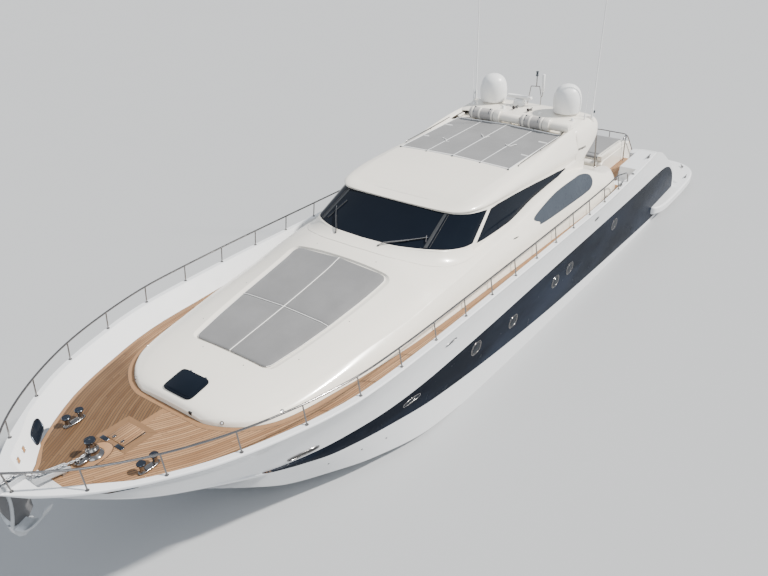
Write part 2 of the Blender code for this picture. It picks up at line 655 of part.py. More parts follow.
LOWER_WINDOW = ((-0.30, 3.56), (-0.46, 3.38), (-0.72, 3.28), (-3.2, 3.22), (-3.75, 3.26), (-3.95, 3.40), (-3.86, 3.58),
                (-3.45, 3.72), (-2.9, 3.78), (-1.6, 3.76))


def side_surface(x, z):
    """Half-breadth of the side moulding's outer face."""
    by, sy, hy, hz, cz = trunk_at(x)
    zd = deck_z(x)
    knee = zd + 0.55 * (hz - zd)
    zs = (zd, knee, hz - 0.12 * (hz - zd), hz)
    return float(np.interp(z, zs, (by, sy, hy + 0.45 * (sy - hy), hy)))


def lower_window(name, side, grow, inner, outer, colour="slate"):
    pts = []
    cx = sum(p[0] for p in LOWER_WINDOW) / len(LOWER_WINDOW)
    cz = sum(p[1] for p in LOWER_WINDOW) / len(LOWER_WINDOW)
    for x, z in LOWER_WINDOW:
        d = math.hypot(x - cx, z - cz)
        pts.append((x + (x - cx) / d * grow, z + (z - cz) / d * grow))
    n = len(pts)
    y_in = [(x, side * (side_surface(x, z) + inner), z) for x, z in pts]
    y_out = [(x, side * (side_surface(x, z) + outer), z) for x, z in pts]
    faces = []
    verts = y_in + y_out
    # fans about a middle point keep the slightly curved outline's faces true
    ci, co = len(verts), len(verts) + 1
    verts += [(cx, side * (side_surface(cx, cz) + inner), cz), (cx, side * (side_surface(cx, cz) + outer), cz)]
    for i in range(n):
        j = (i + 1) % n
        faces += [(ci, i, j), (co, n + j, n + i), (i, n + i, n + j), (i, n + j, j)]
    return new_object(name, verts, faces, colour)


# Deckhouse

band_curve = Curve([(i,) + row for i, row in enumerate(BAND)])


def band_point(s, t, inset=0.0):
    """Point on the window band: s along it from the centreline aft, t from sill to head, inset inward."""
    q = band_curve(s)
    sill, head = Vector(q[:3]), Vector(q[3:])
    p = sill.lerp(head, t)
    if inset:
        e = 0.05
        a = band_curve(min(s + e, len(BAND) - 1))
        b = band_curve(max(s - e, 0))
        along = (Vector(a[:3]).lerp(Vector(a[3:]), t) - Vector(b[:3]).lerp(Vector(b[3:]), t))
        if s < e:
            along = Vector((0, 1, 0))
        n = along.cross(head - sill).normalized()
        if n.z < 0 and s < 4:
            n = -n
        if s >= 4 and n.y < 0:
            n = -n
        p = p - n * inset
    return p


def house_outline(grow, aft=None):
    """Plan outline of the deckhouse wall, counter to the window band's sill."""
    last = len(BAND) - 1
    half = []
    for i in range(BAND_STEPS + 1):
        s = last * i / BAND_STEPS
        q = band_curve(s)
        half.append((q[0] + grow * (1.0 if s < 3.5 else 0.0), q[1] + grow * (1.0 if s > 1 else 0.3)))
    if aft is not None:
        half.append((aft, half[-1][1]))
    return [(x, y) for x, y in half[1:]] + [(x, -y) for x, y in reversed(half[1:])] + [(half[0][0], 0.0)]


def house_rings(inset, drop):
    """Rings from the floor up the wall, over the window band and the roof's edge to its crown."""
    last = len(BAND) - 1
    levels = []
    ss = [last * i / BAND_STEPS for i in range(BAND_STEPS + 1)]

    def both(half):
        return [tuple(p) for p in half] + [(p[0], -p[1], p[2]) for p in reversed(half[1:])]

    def shrink(p, s, d):
        """Move a point inward in plan."""
        q = band_curve(s)
        a, b = band_curve(min(s + 0.1, last)), band_curve(max(s - 0.1, 0))
        tangent = Vector((a[0] - b[0], a[1] - b[1], 0))
        if s < 0.1:
            tangent = Vector((0, 1, 0))
        n = Vector((tangent.y, -tangent.x, 0)).normalized()
        return Vector(p) - n * d

    wall = [shrink((band_curve(s)[0], band_curve(s)[1], 0), s, inset) for s in ss]
    levels.append(both([(p.x, p.y, deck_z(p.x) + 0.0008 - drop) for p in wall]))
    levels.append(both([(p.x, p.y, band_curve(s)[2] - inset * 0.5) for p, s in zip(wall, ss)]))
    levels.append(both([band_point(s, 1.0, inset) for s in ss]))
    for d, h in ROOF_RINGS:
        ring = []
        for s in ss:
            head = Vector(band_curve(s)[3:])
            p = shrink(head, s, d + inset)
            ring.append((p.x, max(p.y, 0.0), head.z + roof_lift(head.x, head.z, h, s) - inset))
        levels.append(both(ring))
    return levels


def roof_lift(x, z, h, s):
    """Rise of the roof's edge above the head of the glass, so the roof stays nearly level aft."""
    level = float(np.interp(x, (-4.4, -2.4, 0.0, 1.0, 2.0, 2.6), (ROOF_LEVEL, ROOF_LEVEL, ROOF_LEVEL, 4.72, 4.64, 4.57)))
    return (level - z) * h / 0.36


def make_house():
    outer = house_solid("deckhouse", 0.0)
    inner = house_solid("house_inside", HOUSE_WALL, drop=0.5)
    cut(outer, inner)
    # window openings, each with a ledge that the pane lies on
    cut(outer, band_patch("ws_hole", WINDSCREEN, 0.0, HOLE_LAYERS, full=True))
    for side in (-1, 1):
        cut(outer, band_patch("sw_hole", SIDE_WINDOW, 0.0, HOLE_LAYERS, side=side))
    # doorway in the aft wall
    cut(outer, box("doorway", -4.6, -4.2, -1.0, 1.0, 1.0, 3.95))
    arch = make_arch()
    fuse(outer, arch)
    return outer


def house_solid(name, inset, drop=0.0):
    rings = house_rings(inset, drop)
    n = len(rings[0])
    verts = [p for r in rings for p in r]
    faces = []
    for i in range(len(rings) - 1):
        for k in range(n):
            l = (k + 1) % n
            faces.append((i * n + k, i * n + l, (i + 1) * n + l, (i + 1) * n + k))
    faces.append(tuple(range(n)))
    # roof: strips across from port to starboard
    base = (len(rings) - 1) * n
    m = (n + 1) // 2
    # ring order: 0 centre front, 1..m-1 port aft, then starboard from aft to front
    crown_row = []
    for i in range(1, m - 1):
        p = verts[base + i]
        crown_row.append(len(verts))
        verts.append((p[0], 0.0, p[2] + ROOF_CAMBER * min(1.0, p[1] / 1.5)))
    def port(i):
        return base + i
    def stbd(i):
        return base + n - i
    faces.append((port(0), port(1), crown_row[0]))
    faces.append((port(0), crown_row[0], stbd(1)))
    for i in range(1, m - 2):
        a, b = crown_row[i - 1], crown_row[i]
        faces.append((port(i), port(i + 1), b, a))
        faces.append((stbd(i), a, b, stbd(i + 1)))
    faces.append((port(m - 2), port(m - 1), crown_row[-1]))
    faces.append((stbd(m - 2), crown_row[-1], stbd(m - 1)))
    faces.append((port(m - 1), stbd(m - 1), crown_row[-1]))
    return new_object(name, verts, faces, "cream")


# Depth into the wall and how far in from the opening's edge: a window opening narrows to a ledge for its pane
HOLE_LAYERS = ((-0.05, 0.0), (0.0, 0.0), (0.02, 0.0), (0.021, 0.012), (0.075, 0.012))
GLASS_LAYERS = ((0.004, 0.0), (0.0194, 0.0))
# Windows as ranges along the band: s, lower t, upper t
WINDSCREEN = ((0.0, 0.06, 0.96), (1.07, 0.06, 0.96), (2.03, 0.06, 0.96), (3.04, 0.07, 0.95), (3.93, 0.08, 0.94), (4.25, 0.10, 0.92))
SIDE_WINDOW = ((4.55, 0.05, 0.90), (5.06, 0.04, 0.94), (6.04, 0.04, 0.94), (7.03, 0.06, 0.92), (8.07, 0.15, 0.85), (8.62, 0.35, 0.65))


def band_patch(name, table, shrink, layers, full=False, side=1, colour="glass", steps=4):
    """Closed patch of the window band, `shrink` metres inside its edges, through the given layers."""
    rows = []
    for (s0, a0, b0), (s1, a1, b1) in zip(table, table[1:]):
        for k in range(steps):
            f = k / steps
            rows.append((s0 + (s1 - s0) * f, a0 + (a1 - a0) * f, b0 + (b1 - b0) * f))
    rows.append(table[-1])
    rows = [list(r) for r in rows]
    if shrink:
        if not full:
            rows[0] = [p + (q - p) * 0.02 for p, q in zip(rows[0], rows[1])]
        rows[-1] = [p + (q - p) * 0.02 for p, q in zip(rows[-1], rows[-2])]
    sections = []
    for s, a, b in rows:
        q = band_curve(s)
        metre = 1 / (Vector(q[3:]) - Vector(q[:3])).length
        sections.append([band_point(s, a + (shrink + e) * metre, d) for d, e in layers]
                        + [band_point(s, b - (shrink + e) * metre, d) for d, e in reversed(layers)])
    if full:
        port = sections[1:]
        for p in sections[0]:
            p.y = 0.0
        sections = [[Vector((p.x, -p.y, p.z)) for p in sec] for sec in reversed(port)] + [sections[0]] + port
    if side < 0:
        sections = [[Vector((p.x, -p.y, p.z)) for p in sec] for sec in sections]
    return loft(name, sections, colour, smooth=30)


def make_arch():
    """Wing across the roof's aft end with a leg down each side."""
    path = ((2.02, deck_z(-3.7) + 0.001, 0.0), (2.02, 3.30, 0.0), (2.08, 3.8, 0.03), (2.13, 4.3, 0.03), (2.10, 4.62, 0.0), (1.98, 4.82, -0.02), (1.70, 4.90, -0.03),
            (1.0, 4.93, -0.03), (0.0, 4.94, -0.03))
    full = [(y, z, dx) for y, z, dx in path] + [(-y, z, dx) for y, z, dx in reversed(path[:-1])]
    rings = []
    for i, (y, z, dx) in enumerate(full):
        a, b = full[max(i - 1, 0)], full[min(i + 1, len(full) - 1)]
        d = Vector((0, b[0] - a[0], b[1] - a[1])).normalized()
        n = Vector((0, -d.z, d.y))
        if n.dot(Vector((0, y, z - 3.6))) < 0:
            n = -n
        front, back = -3.75 + dx, -5.28
        if z < 4.5:
            back = -5.05 - 0.2 * (z - 3.3) / 1.2
        ring = []
        for c, t in ((0.0, 0.0), (0.12, 0.05), (0.5, 0.075), (0.9, 0.06), (1.0, 0.0), (0.9, -0.05), (0.5, -0.06), (0.12, -0.045)):
            x = front + (back - front) * c
            p = Vector((x, y, z)) + n * t * (1.2 if z > 4.7 else 1.0)
            ring.append(tuple(p))
        rings.append(ring)
    arch = loft("arch", rings, "cream")
    feet = [(DOME_X, s * DOME_Y, 0.33, DOME_Z) for s in (-1, 1)]
    feet += [(WHIP_FOOT[0], s * WHIP_FOOT[1], 0.06, WHIP_FOOT[2]) for s in (-1, 1)]
    feet += [(SHORT_FOOT[0], s * SHORT_FOOT[1], 0.04, SHORT_FOOT[2]) for s in (-1, 1)]
    feet += [(RADAR[0], RADAR[1], 0.21, RADAR[2])]
    for x, y, r, z in feet:
        foot = lathe("foot", ((0, z - 0.09), (r + 0.02, z - 0.09), (r + 0.005, z), (0, z)), "cream", 20)
        foot.location = (x, y, 0)
        bpy.context.view_layer.update()
        fuse(arch, foot)
    return arch


def make_dome(name, side):
    ob = lathe(name, ((0, GAP), (0.30, GAP), (0.36, 0.025), (0.405, 0.065), (0.425, 0.265), (0.42, 0.445),
                      (0.39, 0.585), (0.33, 0.715), (0.22, 0.815), (0.10, 0.86), (0, 0.866)), "white", 28)
    ob.location = (DOME_X, side * DOME_Y, DOME_Z)
    return ob


def make_whip(name, side):
    base = Vector((WHIP_FOOT[0], side * WHIP_FOOT[1], WHIP_FOOT[2] + GAP))
    lean = Vector((-0.035, side * 0.012, 1.0)).normalized()
    pts = [base, base + Vector((0, 0, 0.02))]
    pts += [base + lean * s for s in (0.30, 0.32, 3.9, 3.92, 4.05, 4.07, WHIP_LENGTH)]
    return rod(name, pts, 0.02, "white", 8, radii=(0.035, 0.035, 0.03, 0.019, 0.016, 0.022, 0.022, 0.013, 0.007))


def make_short_antenna(name, side):
    base = Vector((SHORT_FOOT[0], side * SHORT_FOOT[1], SHORT_FOOT[2] + GAP))
    lean = Vector((0.0, side * 0.05, 1.0)).normalized()
    pts = [base, base + Vector((0, 0, 0.02))] + [base + lean * s for s in (0.16, 0.17, 1.15)]
    return rod(name, pts, 0.01, "white", 8, radii=(0.022, 0.022, 0.02, 0.010, 0.006))


def make_radar():
    ped = lathe("radar_pedestal", ((0, GAP), (0.19, GAP), (0.20, 0.04), (0.17, 0.16), (0.12, 0.20), (0, 0.20)), "white", 20)
    ped.location = RADAR
    bar = box("radar_scanner", -0.08, 0.08, -0.42, 0.42, 0.0, 0.10, "white", bevel=0.03)
    fuse(bar, lathe("hub", ((0, -0.0054), (0.05, -0.0054), (0.05, 0.03), (0, 0.03)), "white", 16))
    bar.location = (RADAR[0], RADAR[1], RADAR[2] + 0.206)
    return ped, bar


def make_rail():
    """Bulwark handrail: posts each side and one rail round the bow."""
    feet = []
    for i, x in enumerate(STANCHION_FEET):
        y, z = cap(x)
        feet.append((x, y - 0.07 if i else 0.18, z + 0.0022))
    rail = []
    tops = []
    for i, (x, y, z) in enumerate(feet):
        out = 0.05
        tops.append((x + (0.10 if i == 0 else 0.03), y + out, z + RAIL_HEIGHT))
    nose = [(13.55, 0.0, feet[0][2] + RAIL_HEIGHT)]
    port = nose + tops
    line = smooth_line(port, 3)
    # the rail's aft end bends down to the cap
    for x, h in ((-5.05, 0.50), (-5.28, 0.42), (-5.42, 0.30), (-5.48, 0.16), (-5.49, 0.05), (-5.49, 0.002)):
        y, z = cap(x)
        line.append((x, y - 0.05, z + h))
    run = [(x, -y, z) for x, y, z in reversed(line[1:])] + line
    bar = rod("handrail", run, RAIL_RADIUS, "steel", 6)
    posts = []
    for side in (-1, 1):
        for f, t in zip(feet, tops):
            posts.append(rod("post", [(f[0], side * f[1], f[2]), (f[0], side * f[1], f[2] + 0.02), (t[0], side * t[1], t[2])],
                             POST_RADIUS, "steel", 6, radii=(0.026, POST_RADIUS, POST_RADIUS)))
    fuse(bar, joined("posts", posts, "steel"))
    return bar


def smooth_line(points, per):
    """Catmull-Rom run through the points, `per` steps to each span."""
    pts = [Vector(p) for p in points]
    out = []
    for i in range(len(pts) - 1):
        p0, p1, p2, p3 = pts[max(i - 1, 0)], pts[i], pts[i + 1], pts[min(i + 2, len(pts) - 1)]
        for k in range(per):
            t = k / per
            out.append(0.5 * ((2 * p1) + (p2 - p0) * t + (2 * p0 - 5 * p1 + 4 * p2 - p3) * t * t
                              + (3 * p1 - p0 - 3 * p2 + p3) * t ** 3))
    out.append(pts[-1])
    return [tuple(p) for p in out]


def make_bollard(name, side):
    z = deck_z(11.73) + 0.0163
    base = box(name, 11.27, 11.73, side * 1.10 - 0.07, side * 1.10 + 0.07, z, z + 0.035, "steel", bevel=0.012)
    for dx in (-0.14, 0.14):
        post = lathe("post", ((0, z + 0.01), (0.055, z + 0.01), (0.045, z + 0.06), (0.045, z + 0.17), (0.085, z + 0.19),
                              (0.085, z + 0.22), (0, z + 0.22)), "steel", 12)
        post.location = (11.5 + dx, side * 1.10, 0)
        bpy.context.view_layer.update()
        fuse(base, post)
    return base


def make_windlass():
    z = deck_z(12.05) + 0.0170
    base = lathe("windlass_base", ((0, z), (0.19, z), (0.18, z + 0.05), (0.12, z + 0.08), (0.12, z + 0.12), (0, z + 0.12)),
                 "steel", 16)
    base.location = (11.86, 0.0, 0)
    z2 = z + 0.126
    drum = lathe("windlass_capstan", ((0, -0.0054), (0.05, -0.0054), (0.05, 0), (0.12, 0), (0.125, 0.03), (0.075, 0.07), (0.07, 0.15), (0.105, 0.20), (0.10, 0.23),
                                      (0, 0.235)), "steel", 16)
    drum.location = (11.86, 0.0, z2)
    return base, drum


def make_anchor_gear():
    """Stem roller cheeks and the anchor stowed under the bow tip."""
    roller = box("bow_roller", 13.10, 13.78, -0.09, 0.09, ROLLER_Z, 3.56, "steel", bevel=0.015, segments=1)
    anchor = side_prism("anchor", [(13.62, ROLLER_Z - GAP), (13.70, ROLLER_Z - GAP), (13.66, 2.90), (13.55, 2.55), (13.30, 2.30),
                                   (13.10, 2.28), (13.22, 2.42), (13.42, 2.62), (13.52, 2.90)], -0.035, 0.035, "steel")
    fluke = loft("fluke", [[(13.58, -0.30, 2.72), (13.62, 0.0, 2.66), (13.58, 0.30, 2.72), (13.60, 0.30, 2.76), (13.64, 0.0, 2.70),
                            (13.60, -0.30, 2.76)],
                           [(13.05, -0.06, 2.22), (13.06, 0.0, 2.18), (13.05, 0.06, 2.22), (13.06, 0.06, 2.26), (13.07, 0.0, 2.24),
                            (13.06, -0.06, 2.26)]], "steel")
    fuse(anchor, fluke)
    return roller, anchor


def make_locker_lid():
    z = deck_z(11.40)
    lid = box("chain_locker_lid", 10.91, 11.40, -0.25, 0.25, z + 0.0006, z + 0.030, "teak", bevel=0.006, segments=1)
    return pivot(lid, (10.91, 0, z + 0.030))


def hatch_line(x):
    """Height of the hatch's flat seat."""
    x0, x1, _ = HATCH
    return crown(x0, 0) + (crown(x1, 0) - crown(x0, 0)) * (x - x0) / (x1 - x0)


def make_hatch():
    x0, x1, w = HATCH
    za = crown(x0, 0)
    pts = [(x, hatch_line(x) + GAP) for x in (x0, x1)] + [(x, hatch_line(x) + 0.045) for x in (x1, x0)]
    lid = side_prism("foredeck_hatch", pts, -w, w, "glass", bevel=0.012, segments=1)
    return pivot(lid, (x0, 0, za + 0.02))


def make_interior():
    out = []
    out.append(box("helm_console", 2.1, 2.9, -1.75, 1.75, SOLE_Z + GAP, 3.35, "leather", bevel=0.08))
    out.append(box("helm_seat", 0.9, 1.5, 0.55, 1.75, SOLE_Z + GAP, 3.05, "leather", bevel=0.10))
    out.append(box("saloon_sofa", -3.4, -0.8, -1.9, -1.1, SOLE_Z + GAP, 2.75, "leather", bevel=0.08))
    out.append(box("cockpit_sofa", GARAGE_FRONT + GAP, -7.0, -1.3, 1.3, SOLE_Z + GAP, 2.42, "cream", bevel=0.06))
    for k, side in (("port", 1), ("starboard", -1)):
        out.append(box("engine_" + k, -7.2, -4.6, side * 1.05 - 0.55, side * 1.05 + 0.55, -0.4496, 0.95, "engine", bevel=0.06))
    return out


def make_door():
    pane = box("saloon_door", -4.44, -4.405, 0.02, 1.04, SOLE_Z + 0.0006, 3.99, "glass")
    fixed = box("door_fixed_pane", -4.3996, -4.365, -0.9995, -0.01, 1.9505, 3.9495, "glass")
    return pane, fixed


def make_engine_hatch():
    x0, x1, w = FLOOR_HATCH
    lid = box("engine_hatch", x0 + 0.008, x1 - 0.008, -w + 0.008, w - 0.008, SOLE_Z - 0.04, SOLE_Z, "teak")
    axis = (x0 + 0.016, SOLE_Z - 0.012)
    fuse(lid, rod("pin", [(axis[0], y, axis[1]) for y in (-w + 0.0006, w - 0.0006)], 0.008, "steel", 12))
    return pivot(lid, (axis[0], 0, axis[1]))


def make_aft_sunpad():
    return box("aft_sunpad", -10.25, -7.95, -1.22, 1.22, GARAGE_TOP + GAP, 2.60, "pad", bevel=0.04)


def make_roof_pads():
    rings = []
    w, t0, t1 = 1.75, 0.0006, 0.03
    for x in (-0.24, -1.3, -2.4, -3.6):
        z, c = ROOF_LEVEL, ROOF_CAMBER
        rings.append([(x, -w, z + t0), (x, 0, z + c + t0), (x, w, z + t0), (x, w, z + t1), (x, 0, z + c + t1), (x, -w, z + t1)])
    return loft("roof_pads", rings, "pad", smooth=0)


def make_windows():
    out = [band_patch("windscreen", WINDSCREEN, 0.002, GLASS_LAYERS, full=True)]
    for key, side in (("port", 1), ("starboard", -1)):
        out.append(band_patch("side_window_" + key, SIDE_WINDOW, 0.002, GLASS_LAYERS, side=side))
        out.append(lower_window("lower_window_" + key, side, -0.0007, -0.0293, -0.004))
    return out


def main():
    start_empty()
    make_hull()
    make_platform()
    make_garage()
    make_garage_door()
    make_teak()
    make_trunk()
    make_house()
    make_windows()
    make_sunpad()
    make_hatch()
    make_roof_pads()
    make_aft_sunpad()
    make_locker_lid()
    make_windlass()
    make_anchor_gear()
    for key, side in (("port", 1), ("starboard", -1)):
        make_bollard("bollard_" + key, side)
        make_dome("dome_" + key, side)
        make_whip("whip_antenna_" + key, side)
        make_short_antenna("short_antenna_" + key, side)
        make_propeller("propeller_" + key, side)
        make_rudder("rudder_" + key, side)
    make_radar()
    make_rail()
    make_interior()
    make_door()
    make_engine_hatch()


main()
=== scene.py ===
"""Looks of an open sport motor yacht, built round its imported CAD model.

Metres. +X bow, +Y port, +Z up, origin on the centreline at the waterline. Laid out as a
Blender add-on: each operator makes one group of pieces, and main() runs them in order.
"""

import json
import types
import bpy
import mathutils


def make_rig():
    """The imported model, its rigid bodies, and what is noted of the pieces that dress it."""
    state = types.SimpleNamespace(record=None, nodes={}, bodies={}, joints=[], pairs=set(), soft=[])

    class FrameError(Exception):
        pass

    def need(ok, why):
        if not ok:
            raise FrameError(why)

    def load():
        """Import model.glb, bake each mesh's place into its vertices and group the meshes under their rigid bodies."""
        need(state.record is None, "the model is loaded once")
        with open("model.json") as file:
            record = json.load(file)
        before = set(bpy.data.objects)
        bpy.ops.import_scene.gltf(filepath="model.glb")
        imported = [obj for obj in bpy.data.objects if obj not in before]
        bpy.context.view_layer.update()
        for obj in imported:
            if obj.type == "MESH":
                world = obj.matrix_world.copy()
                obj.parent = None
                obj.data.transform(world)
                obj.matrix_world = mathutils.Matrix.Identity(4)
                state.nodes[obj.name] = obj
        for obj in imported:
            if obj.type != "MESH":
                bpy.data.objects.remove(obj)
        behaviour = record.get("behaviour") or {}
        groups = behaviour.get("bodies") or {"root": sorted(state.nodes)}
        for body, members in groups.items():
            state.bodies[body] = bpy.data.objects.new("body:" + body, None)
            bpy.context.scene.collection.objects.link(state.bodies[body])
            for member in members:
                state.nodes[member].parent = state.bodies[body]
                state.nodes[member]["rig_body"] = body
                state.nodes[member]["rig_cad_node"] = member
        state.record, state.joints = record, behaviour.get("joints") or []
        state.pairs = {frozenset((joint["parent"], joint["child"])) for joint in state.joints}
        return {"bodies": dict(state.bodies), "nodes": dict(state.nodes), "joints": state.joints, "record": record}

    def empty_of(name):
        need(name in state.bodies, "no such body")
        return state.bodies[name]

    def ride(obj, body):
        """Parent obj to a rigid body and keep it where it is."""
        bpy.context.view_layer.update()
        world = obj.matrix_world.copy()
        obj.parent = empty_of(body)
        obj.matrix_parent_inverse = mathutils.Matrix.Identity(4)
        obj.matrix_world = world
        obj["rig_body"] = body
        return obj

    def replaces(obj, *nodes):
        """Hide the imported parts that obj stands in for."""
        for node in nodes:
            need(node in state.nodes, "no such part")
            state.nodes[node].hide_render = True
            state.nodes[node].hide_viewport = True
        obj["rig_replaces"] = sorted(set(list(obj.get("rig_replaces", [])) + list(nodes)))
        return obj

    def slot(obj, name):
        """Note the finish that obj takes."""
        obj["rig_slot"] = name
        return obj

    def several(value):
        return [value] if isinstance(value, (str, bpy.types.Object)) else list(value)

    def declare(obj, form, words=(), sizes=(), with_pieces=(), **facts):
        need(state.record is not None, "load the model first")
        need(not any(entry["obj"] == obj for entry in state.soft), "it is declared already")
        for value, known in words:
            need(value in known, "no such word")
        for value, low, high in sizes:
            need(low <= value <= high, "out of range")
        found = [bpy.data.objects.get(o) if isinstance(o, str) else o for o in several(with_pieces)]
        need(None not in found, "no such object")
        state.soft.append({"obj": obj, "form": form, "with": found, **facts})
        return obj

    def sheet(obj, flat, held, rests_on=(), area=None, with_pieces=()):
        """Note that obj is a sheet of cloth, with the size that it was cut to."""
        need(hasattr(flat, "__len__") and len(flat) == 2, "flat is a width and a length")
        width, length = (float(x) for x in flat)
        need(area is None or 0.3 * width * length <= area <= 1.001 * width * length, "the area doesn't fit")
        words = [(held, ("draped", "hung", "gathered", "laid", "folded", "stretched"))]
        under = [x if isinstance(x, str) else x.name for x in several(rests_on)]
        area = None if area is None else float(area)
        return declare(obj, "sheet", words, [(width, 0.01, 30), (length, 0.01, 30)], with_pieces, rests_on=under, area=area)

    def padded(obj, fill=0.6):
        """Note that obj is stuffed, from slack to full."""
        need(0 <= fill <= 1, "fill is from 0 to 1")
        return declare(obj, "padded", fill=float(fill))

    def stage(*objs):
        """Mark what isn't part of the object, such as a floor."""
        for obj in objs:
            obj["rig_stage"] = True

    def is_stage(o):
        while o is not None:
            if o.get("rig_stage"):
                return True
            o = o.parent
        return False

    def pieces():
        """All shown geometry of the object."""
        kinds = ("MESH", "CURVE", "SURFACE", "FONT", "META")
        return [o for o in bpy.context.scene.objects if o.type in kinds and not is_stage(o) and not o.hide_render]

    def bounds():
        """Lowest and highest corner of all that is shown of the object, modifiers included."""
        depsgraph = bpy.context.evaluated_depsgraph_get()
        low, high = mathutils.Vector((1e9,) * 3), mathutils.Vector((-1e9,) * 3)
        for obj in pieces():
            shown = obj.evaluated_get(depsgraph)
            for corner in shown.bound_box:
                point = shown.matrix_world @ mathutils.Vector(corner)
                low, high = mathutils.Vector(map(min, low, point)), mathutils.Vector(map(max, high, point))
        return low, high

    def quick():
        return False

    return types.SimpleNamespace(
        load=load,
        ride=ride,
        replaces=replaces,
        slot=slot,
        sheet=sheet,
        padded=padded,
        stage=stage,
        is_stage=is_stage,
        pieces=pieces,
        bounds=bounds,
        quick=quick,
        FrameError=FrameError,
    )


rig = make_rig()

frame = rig.load()
CAD_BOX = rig.bounds()

import functools
import json
import math

import bmesh
import bpy
import numpy as np
from bpy.props import FloatProperty, FloatVectorProperty, PointerProperty
from mathutils import Matrix, Vector, noise

bl_info = {
    "name": "Sport Yacht Builder",
    "version": (1, 0, 0),
    "blender": (4, 5, 0),
    "location": "View3D > Sidebar > Yacht",
    "description": "Builds the visible surfaces and fittings of an open sport motor yacht",
    "category": "Add Mesh",
}

SIZE_FILE = "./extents.json"
HULL_BODY = "hull_body"
SIDES = ((1, "port"), (-1, "starboard"))

# Camera: place, axes, and lens of the photograph
CAMERA_PLACE = (17.05918, 10.65549, 12.28990)
CAMERA_RIGHT = (-0.59167, 0.80553, -0.03238)
CAMERA_UP = (-0.41781, -0.27205, 0.86685)
CAMERA_BACK = (0.68946, 0.52642, 0.49752)
CAMERA_LENS = 36.116
CAMERA_SENSOR = 36.0

# Construction sizes that the solids share (m)
GAP = 0.0004
DECK_DROP = 0.42
CAP_WIDTH = 0.15
SOLE_Z = 1.95
PLATFORM_TOP = 0.62
PLATFORM_BOTTOM = 0.34
HOUSE_WALL = 0.06
PROP_X, PROP_Y, PROP_Z = -10.30, 1.05, -1.50
SHAFT_TILT = math.radians(9.0)
HATCH = (9.36, 9.96, 0.40)
FLOOR_HATCH = (-6.75, -5.95, 0.45)
SLOT_Y = 1.42
GARAGE_FRONT = -7.80
GARAGE_FOOT = -11.21
GARAGE_TOP = 2.48
DOME_X, DOME_Y, DOME_Z = -4.76, 1.27, 5.034
RADAR = (-4.75, -0.33, 5.039)
WHIP_FOOT = (-4.94, 2.02, 4.925)
SHORT_FOOT = (-4.62, 1.92, 4.955)
CAPSTAN_X = 11.86
BOLLARD_X, BOLLARD_Y = 11.50, 1.10
STEPS = 6
STAIR_X, TREAD = -10.0, 0.24
SHAFT_BORE, STOCK_BORE = 0.0457, 0.0607

# Hull sections: x, keel z, chine y and z, lower and upper edge of the dark band y and z, cap y and z
HULL = (
    (-12.30, -1.05, 2.76, -0.42, 2.88, 0.10, 2.90, 1.84, 2.93, 3.02),
    (-9.50, -1.14, 2.82, -0.40, 2.95, 0.14, 2.98, 1.89, 3.04, 3.01),
    (-7.00, -1.22, 2.84, -0.36, 2.98, 0.27, 3.04, 1.95, 3.17, 2.94),
    (-4.00, -1.30, 2.84, -0.30, 2.99, 0.42, 3.07, 2.00, 3.27, 2.92),
    (-1.00, -1.36, 2.82, -0.20, 2.98, 0.58, 3.08, 2.03, 3.31, 3.00),
    (2.00, -1.38, 2.78, -0.10, 2.96, 0.82, 3.07, 2.02, 3.33, 3.085),
    (5.00, -1.25, 2.66, 0.08, 2.88, 1.12, 3.00, 1.97, 3.34, 3.17),
    (6.80, -0.95, 2.32, 0.33, 2.67, 1.32, 2.80, 1.88, 3.31, 3.215),
    (8.00, -0.55, 1.95, 0.58, 2.42, 1.40, 2.55, 1.87, 3.24, 3.25),
    (8.90, -0.08, 1.62, 0.80, 2.24, 1.68, 2.30, 1.90, 3.09, 3.28),
    (9.60, 0.42, 1.30, 1.10, 2.02, 1.84, 2.05, 1.95, 2.89, 3.30),
    (10.30, 0.95, 0.98, 1.46, 1.62, 1.92, 1.68, 2.04, 2.66, 3.33),
    (11.00, 1.47, 0.62, 1.80, 1.20, 2.04, 1.30, 2.15, 2.37, 3.355),
    (11.70, 1.97, 0.32, 2.13, 0.85, 2.27, 0.95, 2.36, 1.96, 3.38),
    (12.30, 2.42, 0.14, 2.50, 0.52, 2.56, 0.62, 2.63, 1.53, 3.40),
    (12.80, 2.80, 0.09, 2.84, 0.30, 2.88, 0.42, 2.94, 1.10, 3.43),
    (13.20, 3.10, 0.06, 3.12, 0.14, 3.17, 0.25, 3.24, 0.65, 3.455),
    (13.50, 3.33, 0.03, 3.34, 0.05, 3.35, 0.09, 3.37, 0.21, 3.462),
    (13.60, 3.41, 0.01, 3.415, 0.02, 3.42, 0.03, 3.43, 0.05, 3.465),
)
HULL_X = (-12.3, -11.6, -10.8, -10.0, -9.15, -8.0, -7.0, -5.5, -4.0, -2.5, -1.0, 0.5, 2.0, 3.5, 5.0, 5.9,
          6.8, 7.4, 8.0, 8.45, 8.9, 9.25, 9.6, 9.95, 10.3, 10.65, 11.0, 11.35, 11.7, 12.0, 12.3,
          12.55, 12.8, 13.0, 13.2, 13.35, 13.45, 13.54, 13.6)
DECK_X = (-6.6, -4.0, -1.0, 2.0, 5.3, 7.0, 7.8, 8.7, 9.6, 10.1, 10.8, 11.5, 12.1, 12.6, 12.95, 13.12)
